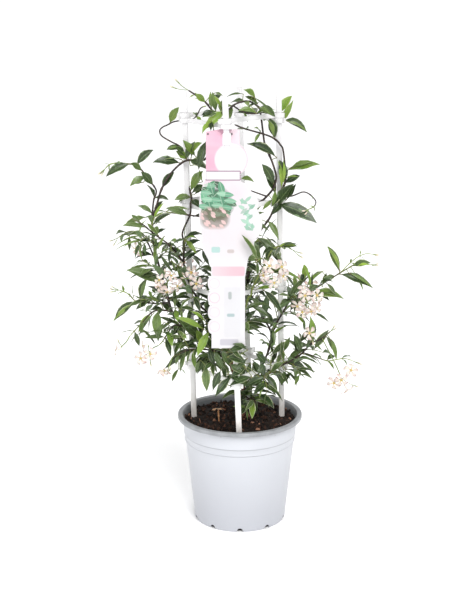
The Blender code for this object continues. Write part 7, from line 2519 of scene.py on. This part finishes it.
def leaf_values(leaf, look=None):
    """Tone, youth, cream margin and fold of a leaf, drawn by its place."""
    draw = random.Random(f"{SEED} look {leaf.base.x:.2f} {leaf.base.z:.2f}")
    length = (leaf.tip - leaf.base).length
    young = max(0.0, 1.0 - length / YOUNG_LENGTH) * draw.uniform(0.5, 1.0)
    if draw.random() < YOUNG_CHANCE + YOUNG_CHANCE_AT_TOP * max(0.0, (leaf.base.z - YOUNG_FROM) / YOUNG_RISE):
        young = max(young, draw.uniform(0.3, 0.8))
    tone = draw.random() ** 1.9 * (0.9 if leaf.base.z < CREAM_BELOW else 1.0)
    if look is not None:
        young, tone = max(0.0, look), 0.36 + 0.36 * look
    chance = CREAM_CHANCE if leaf.base.z < CREAM_BELOW else CREAM_CHANCE_ABOVE
    margin = draw.uniform(0.5, 0.9) if draw.random() < chance else draw.uniform(0.0, 0.25)
    if look is not None and look < -0.5:
        margin *= 0.5
    return min(1.0, max(0.0, tone)), young, margin * (1 - 0.5 * young), draw.uniform(0.2, 0.8)


def leaf_piece(name, some_leaves, values, finish, nodes):
    source = new_mesh(name + "_points", [leaf.base for leaf in some_leaves])
    for field in ("base", "bend", "tip"):
        store(source, field, [getattr(leaf, field) * METRES for leaf in some_leaves])
    store(source, "side", [leaf.side.normalized() for leaf in some_leaves])
    store(source, "width", [leaf.width * METRES for leaf in some_leaves])
    for place, label in enumerate(("tone", "young", "margin", "fold")):
        store(source, label, [value[place] for value in values])
    pattern = shape_object("leaf_pattern", leaf_pattern())
    mesh = run_tree(name, source, leaf_tree(), {"Pattern": pattern, "Material": finish})
    bpy.data.objects.remove(pattern)
    return finish_piece(name, mesh, None, nodes, sharp=70)


all_leaves = []
for leaf in leaves + shoot_leaves:
    draw = random.Random(f"{SEED} slim {leaf.base.x:.2f} {leaf.base.z:.2f}")
    share = draw.uniform(SLIMMEST, BROADEST) if leaf.base.z < CREAM_BELOW else 1.0
    all_leaves.append(leaf._replace(width=leaf.width * share))
looks = [leaf_values(leaf) for leaf in all_leaves]
looks += [leaf_values(leaf, row.look) for (leaf, _), row in zip(drawn, drawn_rows)]
leaf_piece("leaves", all_leaves + [leaf for leaf, _ in drawn], looks, leaf_green, vine_nodes)

# %% [markdown]
# ## Flowers
# Each flower is a pinwheel: five petals, narrow at the throat and broad and slanted at their ends, set on a
# slim tube with a green calyx at its foot. Petal and throat are two small patterns. A tree turns the petal
# five times about the axis, and puts the flower where the cluster holds it, facing its own way.

# %% Flower patterns
# Along a petal: distance from the axis, turn of its middle in degrees, half width and lift, in flower radii.
PETAL_RINGS = ((0.1, -4, 0.07, 0.02), (0.3, -4, 0.12, 0.1), (0.5, -2, 0.22, 0.12), (0.7, 2, 0.33, 0.06),
               (0.88, 5, 0.33, -0.04), (1.02, 12, 0.13, -0.13))
PETAL_TILT = -0.35
PETAL_THICKNESS = 0.03
THROAT_SIDES = 10
TUBE_REACH = 0.4


def petal_pattern():
    """A closed thin petal along +X in a flower that faces +Z, one flower radius long."""
    corners, reaches = [], []
    for distance, turn, half, lift in PETAL_RINGS:
        angle = math.radians(turn)
        way = Vector((math.cos(angle), math.sin(angle), 0))
        side = Vector((-way.y, way.x, 0))
        for across, above in ((-1, 0.3), (0, 1), (1, 0.3), (0, -1)):
            slant = 0.1 * across * half
            tilt = PETAL_TILT * across * half * distance
            rise = lift + tilt + above * PETAL_THICKNESS / 2 - 0.08 * across * across
            corners.append(way * (distance + slant) + side * half * across + UP * rise)
            reaches.append(distance)
    faces = []
    for ring in range(len(PETAL_RINGS) - 1):
        low = ring * 4
        faces += [(low + k, low + k + 4, low + (k + 1) % 4 + 4, low + (k + 1) % 4) for k in range(4)]
    faces += [(0, 1, 2, 3), tuple(reversed(range(len(corners) - 4, len(corners))))]
    return pattern_mesh("petal", corners, faces, reaches)


def pattern_mesh(name, corners, faces, reaches):
    mesh = bpy.data.meshes.new(name)
    mesh.from_pydata(corners, [], faces)
    store(mesh, "reach", reaches)
    face_out(mesh)
    return mesh


def throat_pattern():
    """The funnel in the middle, which narrows to the tube. Its colour changes where it turns down."""
    profile = ((0.0, -0.05), (0.11, 0.04), (0.15, 0.05), (0.17, 0.01), (0.1, -0.14), (0.08, -0.3), (0.0, -0.3))
    profile = [(radius, z, radius if z > -0.1 else TUBE_REACH) for radius, z in profile]
    return pattern_mesh("throat", *spun(profile, THROAT_SIDES))


# %% Flower tree
FACING_SPREAD = 0.6
PETAL_SHRINK = 0.95


def facing_aside(flower):
    """The flower facing a way of its own, since those of a cluster never all look straight outwards."""
    draw = random.Random(f"{SEED} facing {flower.centre.x:.2f} {flower.centre.z:.2f}")
    aside = Vector([draw.uniform(-1, 1) for _ in range(3)])
    sides = zip(flower.centre, *cad_box)
    room = min(min(high / METRES - value, value - low / METRES) for value, low, high in sides)
    size = min(flower.size * PETAL_SHRINK, room)
    return flower._replace(axis=(flower.axis + aside * FACING_SPREAD).normalized(), size=size)


def flower_tree():
    """Five turned petals and a throat at each point, along the axis and spin stored there."""
    tree, given, result = new_tree(
        "flowers", ("Petal", "Object", None), ("Throat", "Object", None), ("Petals", "Int", 5))
    petal, throat = shape_from(tree, given["Petal"]), shape_from(tree, given["Throat"])
    middle = put(tree, "GeometryNodeMeshLine", {"Count": given["Petals"], "Offset": (0.0, 0.0, 0.0)}).outputs[0]
    step = maths(tree, "DIVIDE", 2 * math.pi, given["Petals"])
    turn = times(tree, put(tree, "GeometryNodeInputIndex").outputs[0], step)
    wheel = copies_at(tree, middle, petal, Rotation=vector_of(tree, Z=turn))
    aim = put(tree, "FunctionNodeAxesToRotation", {
        "Primary Axis": read(tree, "axis", "FLOAT_VECTOR"),
        "Secondary Axis": read(tree, "spin", "FLOAT_VECTOR")}, primary_axis="Z", secondary_axis="X").outputs[0]
    copies = copies_at(
        tree, points_of(tree, given["Geometry"]), together(tree, wheel, throat), Rotation=aim,
        Scale=read(tree, "scale", "FLOAT_VECTOR"))
    return close_tree(tree, given, result, made_real(tree, copies))


def flower_piece(name, some_flowers, finish, nodes):
    source = new_mesh(name + "_points", [flower.centre for flower in some_flowers])
    axes, spins, scales, tones = [], [], [], []
    for flower in some_flowers:
        draw = random.Random(f"{SEED} petals {flower.centre.x:.2f} {flower.centre.z:.2f}")
        across = flower.axis.orthogonal().normalized()
        axes.append(flower.axis.copy())
        spins.append(Matrix.Rotation(flower.spin, 3, flower.axis) @ across)
        size = flower.size * METRES
        scales.append(Vector((size, size, size * draw.uniform(0.5, 1.7))))
        tones.append(draw.random())
    for label, values in (("axis", axes), ("spin", spins), ("scale", scales), ("tone", tones)):
        store(source, label, values)
    petal, throat = shape_object("petal", petal_pattern()), shape_object("throat", throat_pattern())
    settings = {"Petal": petal, "Throat": throat, "Petals": 5, "Material": finish}
    mesh = run_tree(name, source, flower_tree(), settings)
    for shape in (petal, throat):
        bpy.data.objects.remove(shape)
    return finish_piece(name, mesh, None, nodes, sharp=60)


# %% [markdown]
# Petals are soft and matt: nearly white with a breath of pink, with painted shade greying their rims, and a yellow
# throat.
# *Reach* is the distance from the flower's axis, so these colours sit alike on every flower.


# %% Petal finish
def petal_finish(name, pale, pink, edge, inner, throat, roughness):
    """Soft petals: two values of their face, then the painted shade at the rim, the inner part, the throat and the
    roughness.
    """
    finish, tree, surface = new_material(name, Subsurface_Weight=0.15, Subsurface_Scale=0.002)
    blush = mottled(tree, 90.0, 1.1, pale, pink)
    reach_out = attribute(tree, "reach")
    colour = blend(tree, times(tree, attribute(tree, "tone"), 0.5), blush, pink)
    # Painted shade: the rims are greyed towards the rim colour.
    colour = blend(tree, ramp(tree, reach_out, 0.66, 1.02, 0.0, 0.65), colour, edge)
    colour = blend(tree, ramp(tree, reach_out, 0.5, 0.2, 0.0, 0.5), colour, inner)
    colour = blend(tree, ramp(tree, reach_out, 0.24, 0.1), colour, throat)
    streaks = use_group(tree, grain, Scale=700.0, Stretch=1.0)["Height"]
    feed(tree, surface, Base_Color=colour, Roughness=maths(tree, "MULTIPLY_ADD", streaks, 0.2, roughness))
    feed(tree, surface, Normal=bump(tree, streaks, 0.0002, 0.5))
    return finish


# The fourth colour is the painted shade at the petal rims.
petal_soft = petal_finish(
    "petal_soft", (0.72, 0.66, 0.59, 1), (0.67, 0.53, 0.48, 1), (0.36, 0.27, 0.28, 1), (0.46, 0.4, 0.22, 1),
    (0.5, 0.36, 0.08, 1), 0.5)
bloom_nodes = [cluster.node for cluster in CLUSTERS]
flowers = [facing_aside(flower) for flower in flowers]
flower_piece("blooms", flowers, petal_soft, bloom_nodes)

# %% Lines of stalks, tubes and buds
# Along a bud, from its point: distance in millimetres, and its share of the bud's full radius.
BUD_FORM = (
    (0.0, 0.12), (0.8, 0.5), (2.2, 0.92), (3.6, 1.0), (5.2, 0.8), (7.5, 0.5), (9.0, 0.45), (9.8, 0.75), (11.0, 0.4))
BUD_SWELL = 1.1
BUD_STALK = 0.36
BUD_PINK_END, BUD_FOOT = 8.0, 9.4
# Along a flower's tube, from the throat: distance and radius in millimetres. The calyx starts at its end.
TUBE_FORM = ((0.0, 0.95), (2.5, 0.8), (5.5, 0.6), (6.0, 0.95), (7.6, 0.85), (8.6, 0.45))
TUBE_STALK = 0.4
CALYX = 5.6


def formed(points, form, thin, tone_at):
    """A line whose radius follows a list of distances from its end, and is thin beyond the list."""
    lengths = distances(points)
    radii, tones = [], []
    for length in lengths:
        back = lengths[-1] - length
        radius = thin
        for (near, first), (far, second) in zip(form, form[1:]):
            if near <= back <= far:
                radius = first + (second - first) * (back - near) / (far - near)
        radii.append(max(radius, 0.05))
        tones.append(tone_at(back))
    return Line(points, radii, tones)


def bud_line(one):
    sag = Vector((0, 0, -0.06 * (one.tip - one.foot).length))
    points = smooth_route([one.foot, one.foot.lerp(one.tip, 0.5) + sag, one.tip], 0.8)
    form = [(distance, share * one.thick * BUD_SWELL) for distance, share in BUD_FORM]

    def tone_at(back):
        """Pink at the point, and green from the bud's foot on."""
        return 0.5 + 0.5 * max(0.0, 1 - back / BUD_PINK_END) if back < BUD_FOOT else 0.25

    return formed(points, form, BUD_STALK, tone_at)


def tube_line(flower):
    """From the cluster's joint up through the calyx to the throat, which it meets along the flower's axis."""
    neck = flower.centre - flower.axis * flower.size * 0.25
    below = neck - flower.axis * (neck - flower.foot).length * 0.4
    points = smooth_route([flower.foot, flower.foot.lerp(below, 0.6), below, neck], 0.9)
    return formed(points, TUBE_FORM, TUBE_STALK, lambda back: 0.9 if back < CALYX else 0.3)


# %% [markdown]
# The tubes are pink, the calyxes and stalks light green, and the buds go from green at their foot to a pinkish
# cream at the point.


# %% Stalk finish and pieces
STALK_GREEN = (0.1, 0.17, 0.04, 1), (0.24, 0.3, 0.08, 1)
BUD_PINK = (0.78, 0.6, 0.5, 1), (0.88, 0.8, 0.68, 1)


def stalk_finish():
    finish, tree, surface = new_material("stalk_and_bud", Roughness=0.5)
    green = mottled(tree, 120.0, 1.0, *STALK_GREEN)
    pink = mottled(tree, 120.0, 1.0, *BUD_PINK)
    fibres = use_group(tree, grain, Scale=1800.0, Stretch=0.2)["Height"]
    feed(tree, surface, Base_Color=blend(tree, ramp(tree, attribute(tree, "tone"), 0.5, 1.0), green, pink))
    feed(tree, surface, Normal=bump(tree, fibres, 0.0001, 0.6))
    return finish


stalk_green = stalk_finish()
lines = []
for cluster, stalk in zip(CLUSTERS, stalks):
    foot = nearest_on(stems[cluster.stem][0], stalk.points[0])[0]
    points = smooth_route([foot] + stalk.points[1:], 1.6)
    lines.append(Line(points, [0.75] * (len(points) - 1) + [0.9], [0.1] * len(points)))
lines += [tube_line(flower) for flower in flowers]
lines += [bud_line(one) for one in buds if one.node in bloom_nodes]
round_piece("stalks_and_tubes", lines, 7, stalk_green, bloom_nodes)
tip_buds = [one for one in buds if one.node not in bloom_nodes]
tip_nodes = list(dict.fromkeys(one.node for one in tip_buds))
round_piece("tip_buds", [bud_line(one) for one in tip_buds], 7, stalk_green, tip_nodes)

# %% [markdown]
# ## The dropped flower
# One flower has fallen, and stands dried on its tube in the crumbs. It is the same flower in a brownish finish.

# %% Dropped flower
FALLEN_AT = (-29.5, -9.0)
FALLEN_HEIGHT = 17.0
FALLEN_FOOT = (-28.5, -15.0)
FALLEN_AXIS = (-0.05, 0.35, 1.0)
FALLEN_RADIUS = 9.5
FALLEN_SPIN = 0.4
DRY_TUBE_SWELL = 1.7

fallen_foot = Vector((*FALLEN_FOOT, soil_height(*FALLEN_FOOT) + 0.8))
fallen_centre = Vector((*FALLEN_AT, soil_height(*FALLEN_AT) + FALLEN_HEIGHT))
fallen_axis = Vector(FALLEN_AXIS).normalized()
fallen = Flower("fallen_bloom", fallen_foot, fallen_centre, fallen_axis, FALLEN_SPIN, FALLEN_RADIUS)
# The fourth colour is the painted shade at the petal rims.
petal_dry = petal_finish(
    "petal_dry", (0.66, 0.42, 0.27, 1), (0.5, 0.27, 0.15, 1), (0.42, 0.22, 0.12, 1), (0.5, 0.28, 0.15, 1),
    (0.4, 0.2, 0.09, 1), 0.7)
flower_piece("dry_petals", [fallen], petal_dry, ["fallen_bloom"])
dry_line = tube_line(fallen)
dry_line = dry_line._replace(radii=[radius * DRY_TUBE_SWELL for radius in dry_line.radii])
round_piece("dry_tube", [dry_line], 7, petal_dry, ["fallen_bloom"])

# %% [markdown]
# ## Done
# The size of the finished plant is printed, as that of the measured solids was at the start.

# %% Sizes and finish
made_box = [list(corner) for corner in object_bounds()]
print("finished plant from", [round(v, 4) for v in made_box[0]], "to", [round(v, 4) for v in made_box[1]])
